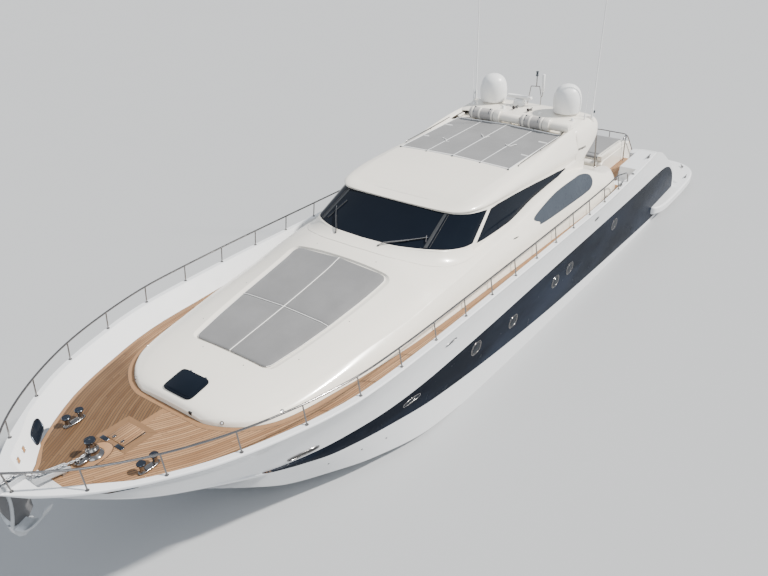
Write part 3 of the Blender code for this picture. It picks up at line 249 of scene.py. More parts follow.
# Dark band on the topsides: x, lower edge z, upper edge z
BAND_EDGES = (
    (-11.50, 0.14, 0.30), (-11.42, 0.14, 0.85), (-11.30, 0.14, 1.14), (-11.00, 0.14, 1.46),
    (-10.50, 0.14, 1.73), (-9.90, 0.14, 1.86), (-9.00, 0.17, 1.91), (-7.00, 0.27, 1.95),
    (-4.00, 0.42, 2.00), (-1.00, 0.58, 2.03), (2.00, 0.82, 2.02), (5.00, 1.12, 1.97),
    (6.80, 1.32, 1.88), (8.00, 1.46, 1.87), (8.90, 1.68, 1.90), (9.40, 1.83, 1.94), (9.76, 1.96, 1.965),
)
# Side view of the stern quarter: top of the wing down to the swim platform, x and z
WING = ((-8.0, 3.03), (-8.4, 2.96), (-8.8, 2.84), (-9.3, 2.65), (-9.8, 2.38), (-10.4, 2.01),
        (-10.9, 1.66), (-11.25, 1.36), (-11.45, 1.10), (-11.56, 0.80), (-11.60, 0.34))
# Coachroof and side mouldings: x, half-breadth at the deck, side, shoulder, shoulder z, crown z
TRUNK = (
    (-6.15, 2.45, 2.38, 2.20, 3.02, 3.06),
    (-5.75, 2.72, 2.66, 2.46, 3.10, 3.16),
    (-5.20, 2.78, 2.74, 2.52, 3.20, 3.28),
    (-4.00, 2.79, 2.74, 2.46, 3.62, 3.70),
    (-2.60, 2.77, 2.71, 2.40, 3.86, 3.95),
    (-1.00, 2.74, 2.68, 2.38, 3.82, 3.92),
    (0.50, 2.72, 2.66, 2.38, 3.66, 3.80),
    (2.00, 2.69, 2.63, 2.42, 3.56, 3.84),
    (3.30, 2.67, 2.61, 2.46, 3.48, 3.98),
    (4.20, 2.65, 2.59, 2.42, 3.42, 3.98),
    (5.30, 2.61, 2.54, 2.34, 3.30, 3.76),
    (7.00, 2.45, 2.37, 2.14, 3.22, 3.50),
    (7.80, 2.33, 2.26, 2.02, 3.17, 3.40),
    (8.70, 2.18, 2.11, 1.88, 3.12, 3.29),
    (9.20, 2.02, 1.96, 1.74, 3.10, 3.24),
    (9.60, 1.75, 1.70, 1.50, 3.08, 3.19),
    (9.90, 1.38, 1.34, 1.20, 3.06, 3.14),
    (10.04, 1.10, 1.07, 0.98, 3.02, 3.09),
    (10.10, 0.90, 0.88, 0.82, 2.98, 3.02),
)
# Window band of the deckhouse from the centreline aft: sill x, y, z and head x, y, z
BAND = (
    (3.98, 0.00, 4.03, 2.54, 0.00, 4.54),
    (3.92, 0.80, 4.02, 2.52, 0.78, 4.53),
    (3.58, 1.60, 3.97, 2.42, 1.50, 4.49),
    (3.20, 2.00, 3.88, 2.10, 1.90, 4.45),
    (2.62, 2.20, 3.76, 1.52, 2.07, 4.41),
    (1.90, 2.24, 3.69, 1.00, 2.11, 4.38),
    (0.60, 2.25, 3.66, 0.20, 2.12, 4.33),
    (-1.00, 2.22, 3.73, -1.10, 2.12, 4.21),
    (-2.40, 2.18, 3.85, -2.40, 2.11, 4.07),
    (-3.40, 2.15, 3.92, -3.40, 2.11, 4.00),
    (-4.40, 2.13, 3.95, -4.40, 2.11, 4.02),
)
ROOF_LEVEL = 4.76
ROOF_CAMBER = 0.05
# Roof edge above the glass: distance in from the head line, share of the rise
ROOF_EDGE = ((-0.05, 0.10), (-0.02, 0.20), (0.10, 0.30), (0.35, 0.36))
WINDSCREEN = ((0.0, 0.035, 0.98), (1.07, 0.035, 0.98), (2.03, 0.035, 0.98), (3.04, 0.05, 0.965),
              (3.93, 0.08, 0.94), (4.25, 0.10, 0.92))
SIDE_WINDOW = ((4.55, 0.05, 0.90), (5.06, 0.04, 0.94), (6.04, 0.04, 0.94), (7.03, 0.06, 0.92),
               (8.07, 0.15, 0.85), (8.62, 0.35, 0.65))
LOWER_WINDOW = ((-0.30, 3.56), (-0.46, 3.38), (-0.72, 3.28), (-3.2, 3.22), (-3.75, 3.26), (-3.95, 3.40),
                (-3.86, 3.58), (-3.45, 3.72), (-2.9, 3.78), (-1.6, 3.76))
SUNPAD = ((8.48, 1.06), (7.60, 1.20), (6.78, 1.29), (5.80, 1.36), (4.78, 1.41))
RAIL_FEET = (13.42, 12.68, 11.69, 10.56, 9.34, 8.09, 6.85, 5.62, 4.41, 3.22, 2.05,
             0.90, -0.24, -1.37, -2.50, -3.63, -4.77)


class YachtSizes(bpy.types.PropertyGroup):
    """Sizes that a user would change."""

    plank: FloatProperty(name="Plank width", description="Width of one teak plank",
                         default=0.058, min=0.03, unit="LENGTH")
    caulk: FloatProperty(name="Caulking", description="Width of the dark seam between planks",
                         default=0.0105, min=0.001, unit="LENGTH")
    rail: FloatProperty(name="Rail radius", description="Radius of the handrail's tube",
                        default=0.021, min=0.01, max=0.022, unit="LENGTH")
    post: FloatProperty(name="Post radius", description="Radius of a stanchion",
                        default=0.015, min=0.008, max=0.016, unit="LENGTH")
    pad_crown: FloatProperty(name="Pad crown", description="How far a sun bed panel rises in its middle",
                             default=0.018, min=0.0, max=0.03, unit="LENGTH")
    link: FloatProperty(name="Chain link", description="Length of one link of the anchor chain",
                        default=0.095, min=0.05, unit="LENGTH")
    station: FloatProperty(name="Station spacing", description="Distance between the hull's sections",
                           default=0.13, min=0.08, unit="LENGTH")


def colour_property(name, description, value):
    """A colour that a user would change."""
    return FloatVectorProperty(name=name, description=description, default=value,
                               subtype="COLOR", size=3, min=0.0, max=1.0)


class YachtColours(bpy.types.PropertyGroup):
    """Colours of the finishes, linear."""

    topsides: colour_property("Topsides", "Gloss white of the hull", (0.76, 0.77, 0.78))
    cream: colour_property("Superstructure", "Warm white of coachroof and deckhouse", (0.86, 0.815, 0.725))
    stripe: colour_property("Band", "Dark band along the hull", (0.007, 0.010, 0.017))
    antifoul: colour_property("Antifouling", "Paint below the waterline", (0.012, 0.018, 0.040))
    teak_light: colour_property("Teak, light", "Palest planks", (0.40, 0.235, 0.120))
    teak_dark: colour_property("Teak, dark", "Brownest planks", (0.225, 0.115, 0.052))
    pad: colour_property("Sun beds", "Woven grey cloth of the sun beds", (0.170, 0.170, 0.172))
    trim: colour_property("Piping", "Pale seams of the sun beds", (0.80, 0.79, 0.77))
    glass: colour_property("Dark glass", "Tinted windows", (0.004, 0.006, 0.010))
    slate: colour_property("Grey glass", "Lower side windows", (0.040, 0.047, 0.058))


def sizes():
    """The sizes in use."""
    return bpy.context.scene.yacht_sizes


def colours():
    """The colours in use."""
    return bpy.context.scene.yacht_colours


# Lines and tables

def between(x, xs, ys):
    """Straight-line value of a table at x."""
    return float(np.interp(x, xs, ys))


class Curve:
    """Columns of a table against its first column, by a monotone cubic."""

    def __init__(self, rows):
        a = np.array(sorted(rows), dtype=float)
        self.x, self.y = a[:, 0], a[:, 1:]
        h = np.diff(self.x)[:, None]
        d = np.diff(self.y, axis=0) / h
        m = np.zeros_like(self.y)
        m[0], m[-1] = d[0], d[-1]
        for i in range(1, len(self.x) - 1):
            w1, w2 = 2 * h[i] + h[i - 1], h[i] + 2 * h[i - 1]
            same = d[i - 1] * d[i] > 0
            safe = np.where(same, d[i - 1] * d[i], 1.0)
            m[i] = np.where(same, (w1 + w2) * safe / (w1 * d[i] + w2 * d[i - 1] + (~same)), 0.0)
        self.m = m

    def __call__(self, x):
        i = int(np.clip(np.searchsorted(self.x, x) - 1, 0, len(self.x) - 2))
        h = self.x[i + 1] - self.x[i]
        t = min(max((x - self.x[i]) / h, 0.0), 1.0)
        a, b = self.y[i], self.y[i + 1]
        ma, mb = self.m[i] * h, self.m[i + 1] * h
        return ((2 * t**3 - 3 * t**2 + 1) * a + (t**3 - 2 * t**2 + t) * ma
                + (3 * t**2 - 2 * t**3) * b + (t**3 - t**2) * mb)


def smooth_line(points, per, loop=False):
    """Catmull-Rom run through the points, `per` steps to each span."""
    pts = [np.array(p, dtype=float) for p in points]
    n = len(pts)
    out = []
    for i in range(n if loop else n - 1):
        if loop:
            p0, p1, p2, p3 = pts[i - 1], pts[i], pts[(i + 1) % n], pts[(i + 2) % n]
        else:
            p0, p1, p2, p3 = pts[max(i - 1, 0)], pts[i], pts[i + 1], pts[min(i + 2, n - 1)]
        for k in range(per):
            t = k / per
            out.append(0.5 * ((2 * p1) + (p2 - p0) * t + (2 * p0 - 5 * p1 + 4 * p2 - p3) * t * t
                              + (3 * p1 - p0 - 3 * p2 + p3) * t ** 3))
    if not loop:
        out.append(pts[-1])
    return [tuple(p) for p in out]


hull_at = Curve(HULL)
trunk_at = Curve(TRUNK)
band_curve = Curve([(i,) + row for i, row in enumerate(BAND)])
CAP_LINE = [(x, *hull_at(x)[7:9]) for x in HULL_X]


def cap(x):
    """Half-breadth and height of the bulwark cap's outer edge."""
    xs, ys, zs = zip(*CAP_LINE)
    return between(x, xs, ys), between(x, xs, zs)


def deck_z(x):
    """Deck height: level across, straight between the deck's stations."""
    return between(x, DECK_X, [cap(d)[1] - DECK_DROP for d in DECK_X])


def deck_edge(x):
    """Half-breadth of the deck at the foot of the bulwark."""
    y, _ = cap(x)
    return max(y - (0.47 if x > 7 else 0.47 - 0.15 * min((7 - x) / 4, 1)), 0.0)


def stations(low, high, step, extra=()):
    """Evenly spaced values between two ends, with others put in where they aren't too close."""
    count = max(int(round((high - low) / step)), 1)
    xs = list(np.linspace(low, high, count + 1)) + [x for x in extra if low < x < high]
    out = []
    for x in sorted(xs):
        if not out or x - out[-1] > step * 0.2:
            out.append(float(x))
    out[-1] = float(high)
    return out


# Meshes

def turns(count):
    """Evenly spaced angles round a circle."""
    return np.linspace(0, 2 * math.pi, count, endpoint=False)


def new_object(name, verts, faces, finish, smooth=35):
    """Mesh object with merged points, outward faces and one finish."""
    mesh = bpy.data.meshes.new(name)
    mesh.from_pydata([tuple(v) for v in verts], [], faces)
    mesh.validate()
    bm = bmesh.new()
    bm.from_mesh(mesh)
    bmesh.ops.remove_doubles(bm, verts=bm.verts, dist=1e-6)
    bmesh.ops.recalc_face_normals(bm, faces=bm.faces)
    if bm.calc_volume(signed=True) < 0:
        bmesh.ops.reverse_faces(bm, faces=bm.faces)
    bm.to_mesh(mesh)
    bm.free()
    ob = bpy.data.objects.new(name, mesh)
    bpy.context.scene.collection.objects.link(ob)
    mesh.materials.append(finish)
    shade(ob, smooth)
    return ob


def shade(ob, angle):
    """Smooth shading, with edges sharper than the angle kept."""
    if angle:
        ob.data.shade_smooth()
        ob.data.set_sharp_from_angle(angle=math.radians(angle))


def loft(name, rings, finish, smooth=35, closed=False):
    """Skin over equal rings of points; ends are capped unless the rings run round in a loop."""
    n, count = len(rings[0]), len(rings)
    verts = [p for r in rings for p in r]
    faces = []
    for i in range(count if closed else count - 1):
        j = (i + 1) % count
        faces += [(i * n + k, i * n + (k + 1) % n, j * n + (k + 1) % n, j * n + k) for k in range(n)]
    if not closed:
        faces += [tuple(range(n)), tuple(range((count - 1) * n, count * n))]
    return new_object(name, verts, faces, finish, smooth)


def prism(name, outline, z0, z1, finish, bevel=0.0, segments=3):
    """Upright block over a plan outline."""
    n = len(outline)
    verts = [(x, y, z0) for x, y in outline] + [(x, y, z1) for x, y in outline]
    faces = [tuple(range(n))[::-1], tuple(range(n, 2 * n))]
    faces += [(i, (i + 1) % n, n + (i + 1) % n, n + i) for i in range(n)]
    return rounded(new_object(name, verts, faces, finish), bevel, segments)


def side_prism(name, outline, y0, y1, finish, bevel=0.0, segments=3):
    """Block over an outline in side view, from y0 to y1."""
    n = len(outline)
    verts = [(x, y0, z) for x, z in outline] + [(x, y1, z) for x, z in outline]
    faces = [tuple(range(n))[::-1], tuple(range(n, 2 * n))]
    faces += [(i, (i + 1) % n, n + (i + 1) % n, n + i) for i in range(n)]
    return rounded(new_object(name, verts, faces, finish), bevel, segments)


def side_block(name, outline, side, y0, y1, finish, bevel=0.0, segments=3):
    """The same on one side of the boat, from y0 to y1 off the centreline."""
    return side_prism(name, outline, *sorted((side * y0, side * y1)), finish, bevel, segments)


def box(name, low, high, finish, bevel=0.0, segments=3):
    """Block between two corners."""
    (x0, y0, z0), (x1, y1, z1) = low, high
    return prism(name, [(x0, y0), (x1, y0), (x1, y1), (x0, y1)], z0, z1, finish, bevel, segments)


def rounded(ob, width, segments=3, angle=40):
    """Round the edges sharper than the angle."""
    if width:
        mod = ob.modifiers.new("round", "BEVEL")
        mod.width = width
        mod.segments = segments
        mod.limit_method = "ANGLE"
        mod.angle_limit = math.radians(angle)
        mod.harden_normals = True
        bake(ob)
        shade(ob, 35)
    return ob


def lathe(name, profile, finish, sides=48, place=(0, 0, 0), axis=None, smooth=35):
    """Turn a profile of (radius, height) about Z, or about another axis."""
    verts = [(0, 0, profile[0][1])]
    inner = profile[1:-1]
    for r, z in inner:
        verts += [(r * math.cos(a), r * math.sin(a), z) for a in turns(sides)]
    verts.append((0, 0, profile[-1][1]))
    last = len(verts) - 1
    faces = [(0, 1 + (k + 1) % sides, 1 + k) for k in range(sides)]
    for i in range(len(inner) - 1):
        for k in range(sides):
            a, b = 1 + i * sides + k, 1 + i * sides + (k + 1) % sides
            faces.append((a, b, b + sides, a + sides))
    base = 1 + (len(inner) - 1) * sides
    faces += [(base + k, base + (k + 1) % sides, last) for k in range(sides)]
    turn = Vector((0, 0, 1)).rotation_difference(Vector(axis or (0, 0, 1))).to_matrix()
    verts = [turn @ Vector(v) + Vector(place) for v in verts]
    return new_object(name, verts, faces, finish, smooth)


def rod(name, points, radius, finish, sides=16, radii=None, loop=False, flat=1.0):
    """Bar along a run of points, round unless flat is under 1."""
    pts = [Vector(p) for p in points]
    n = len(pts)
    rings, normal = [], None
    for i, p in enumerate(pts):
        d = (pts[(i + 1) % n] - pts[i - 1]) if loop else (pts[min(i + 1, n - 1)] - pts[max(i - 1, 0)])
        d.normalize()
        if normal is None:
            normal = d.orthogonal().normalized()
        normal = (normal - d * normal.dot(d)).normalized()
        side = d.cross(normal)
        r = radii[i] if radii else radius
        rings.append([p + (normal * math.cos(a) * flat + side * math.sin(a)) * r
                      for a in turns(sides)])
    return loft(name, rings, finish, smooth=50, closed=loop)


def flat_ring(name, outline, z, radius, finish):
    """Bar laid level along a plan outline."""
    return rod(name, [(x, y, z) for x, y in outline], radius, finish, 8, loop=True)


def bake(ob):
    """Replace the mesh by what its modifiers make of it."""
    bpy.context.view_layer.update()
    graph = bpy.context.evaluated_depsgraph_get()
    mesh = bpy.data.meshes.new_from_object(ob.evaluated_get(graph))
    old = ob.data
    ob.modifiers.clear()
    ob.data = mesh
    mesh.name = ob.name
    if old.users == 0:
        bpy.data.meshes.remove(old)


def combine(ob, other, operation):
    """Boolean of two closed meshes; the second is used up."""
    mod = ob.modifiers.new("cut", "BOOLEAN")
    mod.operation = operation
    mod.solver = "EXACT"
    mod.object = other
    bake(ob)
    bpy.data.objects.remove(other, do_unlink=True)
    return ob


def cut(ob, other):
    return combine(ob, other, "DIFFERENCE")


def fuse(ob, other):
    return combine(ob, other, "UNION")


def join(name, obs):
    """Several meshes as one piece, each keeping its own finish."""
    bm = bmesh.new()
    finishes = []
    for ob in obs:
        for m in ob.data.materials:
            if m not in finishes:
                finishes.append(m)
    for ob in obs:
        start = len(bm.faces)
        mesh = ob.data.copy()
        mesh.transform(ob.matrix_world)
        index = [finishes.index(m) for m in ob.data.materials]
        bm.from_mesh(mesh)
        bm.faces.ensure_lookup_table()
        for f in bm.faces[start:]:
            f.material_index = index[f.material_index] if index else 0
        bpy.data.meshes.remove(mesh)
        bpy.data.objects.remove(ob, do_unlink=True)
    mesh = bpy.data.meshes.new(name)
    bm.to_mesh(mesh)
    bm.free()
    for m in finishes:
        mesh.materials.append(m)
    out = bpy.data.objects.new(name, mesh)
    bpy.context.scene.collection.objects.link(out)
    return out


def weighted(ob, angle=30):
    """Even shading over large flat faces next to small ones."""
    shade(ob, angle)
    mod = ob.modifiers.new("even", "WEIGHTED_NORMAL")
    mod.keep_sharp = True
    mod.weight = 80
    bake(ob)
    return ob


def settle(ob, slot, *nodes, body=HULL_BODY):
    """The piece rides on a body, takes its finish from a slot and stands for solids of the CAD."""
    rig.ride(ob, body)
    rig.slot(ob, slot)
    if nodes:
        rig.replaces(ob, *nodes)
    return ob


def mirrored(points):
    """The same points on the other side of the boat."""
    return [(p[0], -p[1], p[2]) for p in points]


def face_finish(ob, finish, test):
    """Give a second finish to the faces that the test picks by centre and normal."""
    ob.data.materials.append(finish)
    index = len(ob.data.materials) - 1
    for f in ob.data.polygons:
        if test(f.center, f.normal):
            f.material_index = index


# Finishes

class Finish:
    """One material and short calls to build its nodes."""

    def __init__(self, name, colour, rough, metallic=0.0, **sockets):
        self.mat = bpy.data.materials.new(name)
        self.mat.use_nodes = True
        self.tree = self.mat.node_tree
        self.shader = self.tree.nodes["Principled BSDF"]
        self.mat.diffuse_color = (*colour, 1.0)
        self.colour = colour
        self.set("Base Color", (*colour, 1.0))
        self.set("Roughness", rough)
        self.set("Metallic", metallic)
        for key, value in sockets.items():
            self.set(key.replace("_", " "), value)
        self.coords = self.tree.nodes.new("ShaderNodeTexCoord").outputs["Object"]

    def set(self, socket, value):
        self.shader.inputs[socket].default_value = value

    def drive(self, socket, output):
        self.tree.links.new(output, self.shader.inputs[socket])

    def put(self, value, socket):
        """A value or another node's output on an input."""
        if isinstance(value, bpy.types.NodeSocket):
            self.tree.links.new(value, socket)
        elif value is not None:
            socket.default_value = value

    def math(self, operation, *values):
        node = self.tree.nodes.new("ShaderNodeMath")
        node.operation = operation
        for value, socket in zip(values, node.inputs):
            self.put(value, socket)
        return node.outputs[0]

    def add(self, a, b):
        return self.math("ADD", a, b)

    def sub(self, a, b):
        return self.math("SUBTRACT", a, b)

    def mul(self, a, b):
        return self.math("MULTIPLY", a, b)

    def less(self, a, b):
        return self.math("LESS_THAN", a, b)

    def larger(self, a, b):
        return self.math("MAXIMUM", a, b)

    def attribute(self, name):
        node = self.tree.nodes.new("ShaderNodeAttribute")
        node.attribute_name = name
        return node.outputs["Fac"]

    def noise(self, scale, detail=3.0, rough=0.55, vector=None, stretch=None):
        node = self.tree.nodes.new("ShaderNodeTexNoise")
        node.inputs["Scale"].default_value = scale
        node.inputs["Detail"].default_value = detail
        node.inputs["Roughness"].default_value = rough
        source = vector or self.coords
        if stretch:
            source = self.scaled(source, stretch)
        self.tree.links.new(source, node.inputs["Vector"])
        return node.outputs["Fac"]

    def scaled(self, vector, factors):
        node = self.tree.nodes.new("ShaderNodeVectorMath")
        node.operation = "MULTIPLY"
        self.tree.links.new(vector, node.inputs[0])
        node.inputs[1].default_value = factors
        return node.outputs[0]

    def split(self, vector=None):
        node = self.tree.nodes.new("ShaderNodeSeparateXYZ")
        self.tree.links.new(vector or self.coords, node.inputs[0])
        return node.outputs

    def random(self, value):
        node = self.tree.nodes.new("ShaderNodeTexWhiteNoise")
        node.noise_dimensions = "1D"
        self.tree.links.new(value, node.inputs["W"])
        return node.outputs["Value"]

    def mix(self, factor, a, b):
        node = self.tree.nodes.new("ShaderNodeMix")
        node.data_type = "RGBA"
        self.put(factor, node.inputs[0])
        for value, socket in ((a, node.inputs[6]), (b, node.inputs[7])):
            self.put((*value, 1.0) if isinstance(value, tuple) else value, socket)
        return node.outputs[2]

    def spread(self, value, low, high, to_low=0.0, to_high=1.0):
        """Map a range, clamped at both ends."""
        node = self.tree.nodes.new("ShaderNodeMapRange")
        self.put(value, node.inputs["Value"])
        for key, v in (("From Min", low), ("From Max", high), ("To Min", to_low), ("To Max", to_high)):
            node.inputs[key].default_value = v
        return node.outputs["Result"]

    def curve(self, value, points):
        """A smooth curve through (x, y) points, as a Float Curve node between their lowest and highest."""
        xs, ys = zip(*points)
        x0, x1, y0, y1 = min(xs), max(xs), min(ys), max(ys)
        node = self.tree.nodes.new("ShaderNodeFloatCurve")
        line = node.mapping.curves[0]
        while len(line.points) < len(points):
            line.points.new(0.5, 0.5)
        for p, (x, y) in zip(line.points, sorted(points)):
            p.location = ((x - x0) / (x1 - x0), (y - y0) / (y1 - y0))
            p.handle_type = "AUTO_CLAMPED"
        node.mapping.update()
        self.put(self.spread(value, x0, x1), node.inputs["Value"])
        return self.spread(node.outputs[0], 0.0, 1.0, y0, y1)

    def bump(self, height, strength=0.2, distance=0.002, normal=None):
        node = self.tree.nodes.new("ShaderNodeBump")
        node.inputs["Strength"].default_value = strength
        node.inputs["Distance"].default_value = distance
        self.tree.links.new(height, node.inputs["Height"])
        if normal is not None:
            self.tree.links.new(normal, node.inputs["Normal"])
        return node.outputs[0]

    def soft_edges(self, radius):
        node = self.tree.nodes.new("ShaderNodeBevel")
        node.samples = 4
        node.inputs["Radius"].default_value = radius
        return node.outputs[0]

    def drift(self, amount=0.05, scale=0.7, rough=0.06, base=None):
        """Slow change of shade and gloss over the surface."""
        slow = self.noise(scale, 4.0)
        fine = self.noise(scale * 9.0, 3.0)
        both = self.add(self.mul(slow, 0.65), self.mul(fine, 0.35))
        dark = tuple(c * (1.0 - amount) for c in self.colour)
        light = tuple(min(c * (1.0 + amount), 1.0) for c in self.colour)
        tint = self.mix(self.spread(both, 0.3, 0.7), dark, light)
        level = self.shader.inputs["Roughness"].default_value
        self.drive("Roughness", self.spread(fine, 0.3, 0.7, max(level - rough, 0.02), level + rough))
        if base is None:
            self.drive("Base Color", tint)
        return tint


def dim(colour, share):
    """A colour made darker, or lighter where the share is over 1."""
    return tuple(v * share for v in colour)


FINISHES = {}


def finish(name):
    """A finish by name, made the first time that it is asked for."""
    if name not in FINISHES:
        FINISHES[name] = MAKERS[name]().mat
    return FINISHES[name]


def gelcoat(name, colour, edge=0.0, rough=0.22):
    """Sprayed gloss plastic: faint unevenness of the mould and a clear coat."""
    f = Finish(name, colour, rough, Coat_Weight=0.35, Coat_Roughness=0.06)
    f.drift(0.018, 0.35, 0.05)
    wave = f.noise(1.6, 2.0)
    peel = f.noise(160.0, 2.0)
    height = f.add(f.mul(wave, 1.0), f.mul(peel, 0.02))
    f.drive("Normal", f.bump(height, 0.10, 0.010, f.soft_edges(edge) if edge else None))
    return f


def hull_gelcoat():
    """White topsides, the dark band between its two edges, and antifouling below the waterline."""
    c = colours()
    f = Finish("hull_gelcoat", tuple(c.topsides), 0.20, Coat_Weight=0.4, Coat_Roughness=0.05)
    white = f.drift(0.02, 0.3, 0.04, base=False)
    x, y, z = f.split()
    low = f.curve(x, [(row[0], row[1]) for row in BAND_EDGES])
    high = f.curve(x, [(row[0], row[2]) for row in BAND_EDGES])
    above = f.spread(f.sub(z, low), -0.002, 0.002)
    below = f.spread(f.sub(high, z), -0.002, 0.002)
    ends = f.mul(f.less(x, BAND_EDGES[-1][0]), f.math("GREATER_THAN", x, BAND_EDGES[0][0]))
    outside = f.math("GREATER_THAN", f.math("ABSOLUTE", y), 1.9)
    band = f.mul(f.mul(above, below), f.mul(ends, outside))
    shade_of_band = f.mix(f.spread(f.noise(0.5, 3.0), 0.35, 0.65), dim(c.stripe, 0.7), dim(c.stripe, 1.5))
    bottom = f.spread(z, -0.004, 0.004, 1.0, 0.0)
    growth = f.mix(f.spread(f.noise(3.0, 6.0), 0.35, 0.7), tuple(c.antifoul), dim(c.antifoul, 2.2))
    f.drive("Base Color", f.mix(bottom, f.mix(band, white, shade_of_band), growth))
    gloss = f.spread(f.noise(2.2, 3.0), 0.3, 0.7, 0.14, 0.24)
    f.drive("Roughness", f.add(f.mul(gloss, f.sub(1.0, bottom)), f.mul(bottom, 0.75)))
    f.drive("Normal", f.bump(f.noise(1.3, 2.0), 0.10, 0.010, f.soft_edges(0.014)))
    return f


# Teak: length of a plank, breadth of the boards along the bulwark and round the coachroof
PLANK_LENGTH = 2.3
MARGIN_BOARD, RIM_BOARD = 0.085, 0.13


def planks(name, sideways, lengthways):
    """Teak planks: `sideways` counts across them in metres and `lengthways` along them."""
    c, s = colours(), sizes()
    f = Finish(name, tuple(c.teak_light), 0.62, Specular_IOR_Level=0.35)
    across, along = sideways(f), lengthways(f)
    count = f.math("DIVIDE", across, s.plank)
    number = f.math("FLOOR", count)
    within = f.math("FRACT", count)
    seam = s.caulk / s.plank
    caulk = f.less(within, seam)
    shift = f.mul(f.random(number), PLANK_LENGTH)
    piece = f.math("DIVIDE", f.add(along, shift), PLANK_LENGTH)
    butt = f.less(f.math("FRACT", piece), 0.0022)
    tone = f.random(f.add(f.mul(number, 7.31), f.mul(f.math("FLOOR", piece), 3.7)))
    join_node = f.tree.nodes.new("ShaderNodeCombineXYZ")
    f.put(f.mul(along, 1.3), join_node.inputs[0])
    f.put(f.mul(across, 34.0), join_node.inputs[1])
    f.put(number, join_node.inputs[2])
    grain = f.noise(2.0, 6.0, 0.62, vector=join_node.outputs[0])
    weather = f.noise(0.9, 4.0)
    value = f.add(f.mul(tone, 0.45), f.mul(grain, 0.55))
    value = f.add(value, f.mul(f.sub(weather, 0.5), 0.5))
    wood = f.mix(f.spread(value, 0.22, 0.82), tuple(c.teak_dark), tuple(c.teak_light))
    return f, wood, f.larger(caulk, butt), grain


def finish_planks(f, wood, seams, grain, black=(0.035, 0.026, 0.020)):
    """Colour, roughness and relief shared by all teak."""
    f.drive("Base Color", f.mix(seams, wood, black))
    f.drive("Roughness", f.sub(f.spread(grain, 0.3, 0.7, 0.55, 0.72), f.mul(seams, 0.12)))
    height = f.sub(f.mul(grain, 0.25), seams)
    f.drive("Normal", f.bump(height, 0.35, 0.0012))
    return f


def deck_teak():
    """Foredeck and side decks: planks swept along the bulwark, a king plank and margin boards, with painted shade
    darkening the starboard half forward.
    """
    c = colours()
    f, wood, seams, grain = planks("deck_teak", lambda f: f.attribute("plank_sweep"),
            lambda f: f.split()[0])
    x, y, _ = f.split()
    # Painted shade: the starboard half of the planking is darkened, fading in from x 8.6 to full at 9.8 and forward,
    # as planks laid at another angle look darker in this light.
    side = f.spread(y, -0.06, 0.03)
    shade_side = f.spread(x, 8.6, 9.8)
    darker = f.tree.nodes.new("ShaderNodeHueSaturation")
    darker.inputs["Value"].default_value = 0.40
    darker.inputs["Saturation"].default_value = 1.05
    f.tree.links.new(wood, darker.inputs["Color"])
    f.put(f.mul(f.sub(1.0, side), shade_side), darker.inputs["Fac"])
    # The planks with the painted shade laid over them.
    deep = darker.outputs[0]
    board = f.mix(f.spread(grain, 0.25, 0.8), dim(c.teak_dark, 0.95), dim(c.teak_light, 0.80))
    edge, trunk = f.attribute("from_bulwark"), f.attribute("from_trunk")
    margin = f.less(edge, MARGIN_BOARD)
    rim = f.less(trunk, RIM_BOARD)
    king = f.mul(f.less(f.math("ABSOLUTE", f.add(y, 0.02)), 0.07), f.math("GREATER_THAN", x, 10.0))
    boards = f.larger(f.larger(margin, rim), king)
    lines = [f.less(f.math("ABSOLUTE", f.sub(edge, MARGIN_BOARD)), 0.004),
             f.less(f.math("ABSOLUTE", f.sub(trunk, RIM_BOARD)), 0.004),
             f.less(edge, 0.006), f.less(trunk, 0.006)]
    line = functools.reduce(f.larger, lines)
    f.mat.name = "deck_teak"
    all_seams = f.larger(line, f.mul(seams, f.sub(1.0, boards)))
    return finish_planks(f, f.mix(boards, deep, board), all_seams, grain)


def floor_teak():
    """Cockpit floor, stern steps and hatch lids: straight planks fore and aft."""
    f, wood, seams, grain = planks("floor_teak", lambda f: f.add(f.split()[1], 20.0),
            lambda f: f.split()[0])
    return finish_planks(f, wood, seams, grain)


def board_teak(name="board_teak", shade=1.0):
    """Single boards: frames, pads and trims."""
    c = colours()
    f = Finish(name, dim(c.teak_light, shade), 0.6, Specular_IOR_Level=0.35)
    grain = f.noise(3.0, 6.0, 0.6, stretch=(1.2, 26.0, 26.0))
    wood = f.mix(f.spread(grain, 0.25, 0.8), dim(c.teak_dark, 1.15 * shade),
            dim(c.teak_light, 0.92 * shade))
    return finish_planks(f, wood, f.less(grain, 0.0), grain)


def dark_glass(name="dark_glass", colour=None, rough=0.03, depth=0.35, shine=0.06):
    """Tinted glass, near black, with a clear surface and faint ripple, and painted shade and reflection: paler low
    down, darker towards the head.
    """
    colour = colour or tuple(colours().glass)
    f = Finish(name, colour, rough, Specular_IOR_Level=shine)
    z = f.split()[2]
    # Painted shade and reflection: the tint is mixed paler in slow patches, most below z 3.6 and least above 4.6, so
    # the glass looks lit low down and shaded towards its head; depth sets how pale.
    shade_low = f.spread(z, 3.6, 4.6)
    painted_light_patches = f.mul(f.noise(0.8, 3.0), depth)
    f.drive("Base Color", f.mix(f.mul(f.sub(1.2, shade_low), painted_light_patches), colour, tuple(v * 3.2 + 0.004
            for v in colour)))
    f.drive("Roughness", f.spread(f.noise(6.0, 3.0), 0.35, 0.65, rough * 0.6, rough * 1.8))
    f.drive("Normal", f.bump(f.noise(1.1, 1.0), 0.06, 0.01))
    return f


def slate_glass():
    """Grey glass of the lower windows."""
    return dark_glass("slate_glass", tuple(colours().slate), 0.30, 0.25, 0.02)


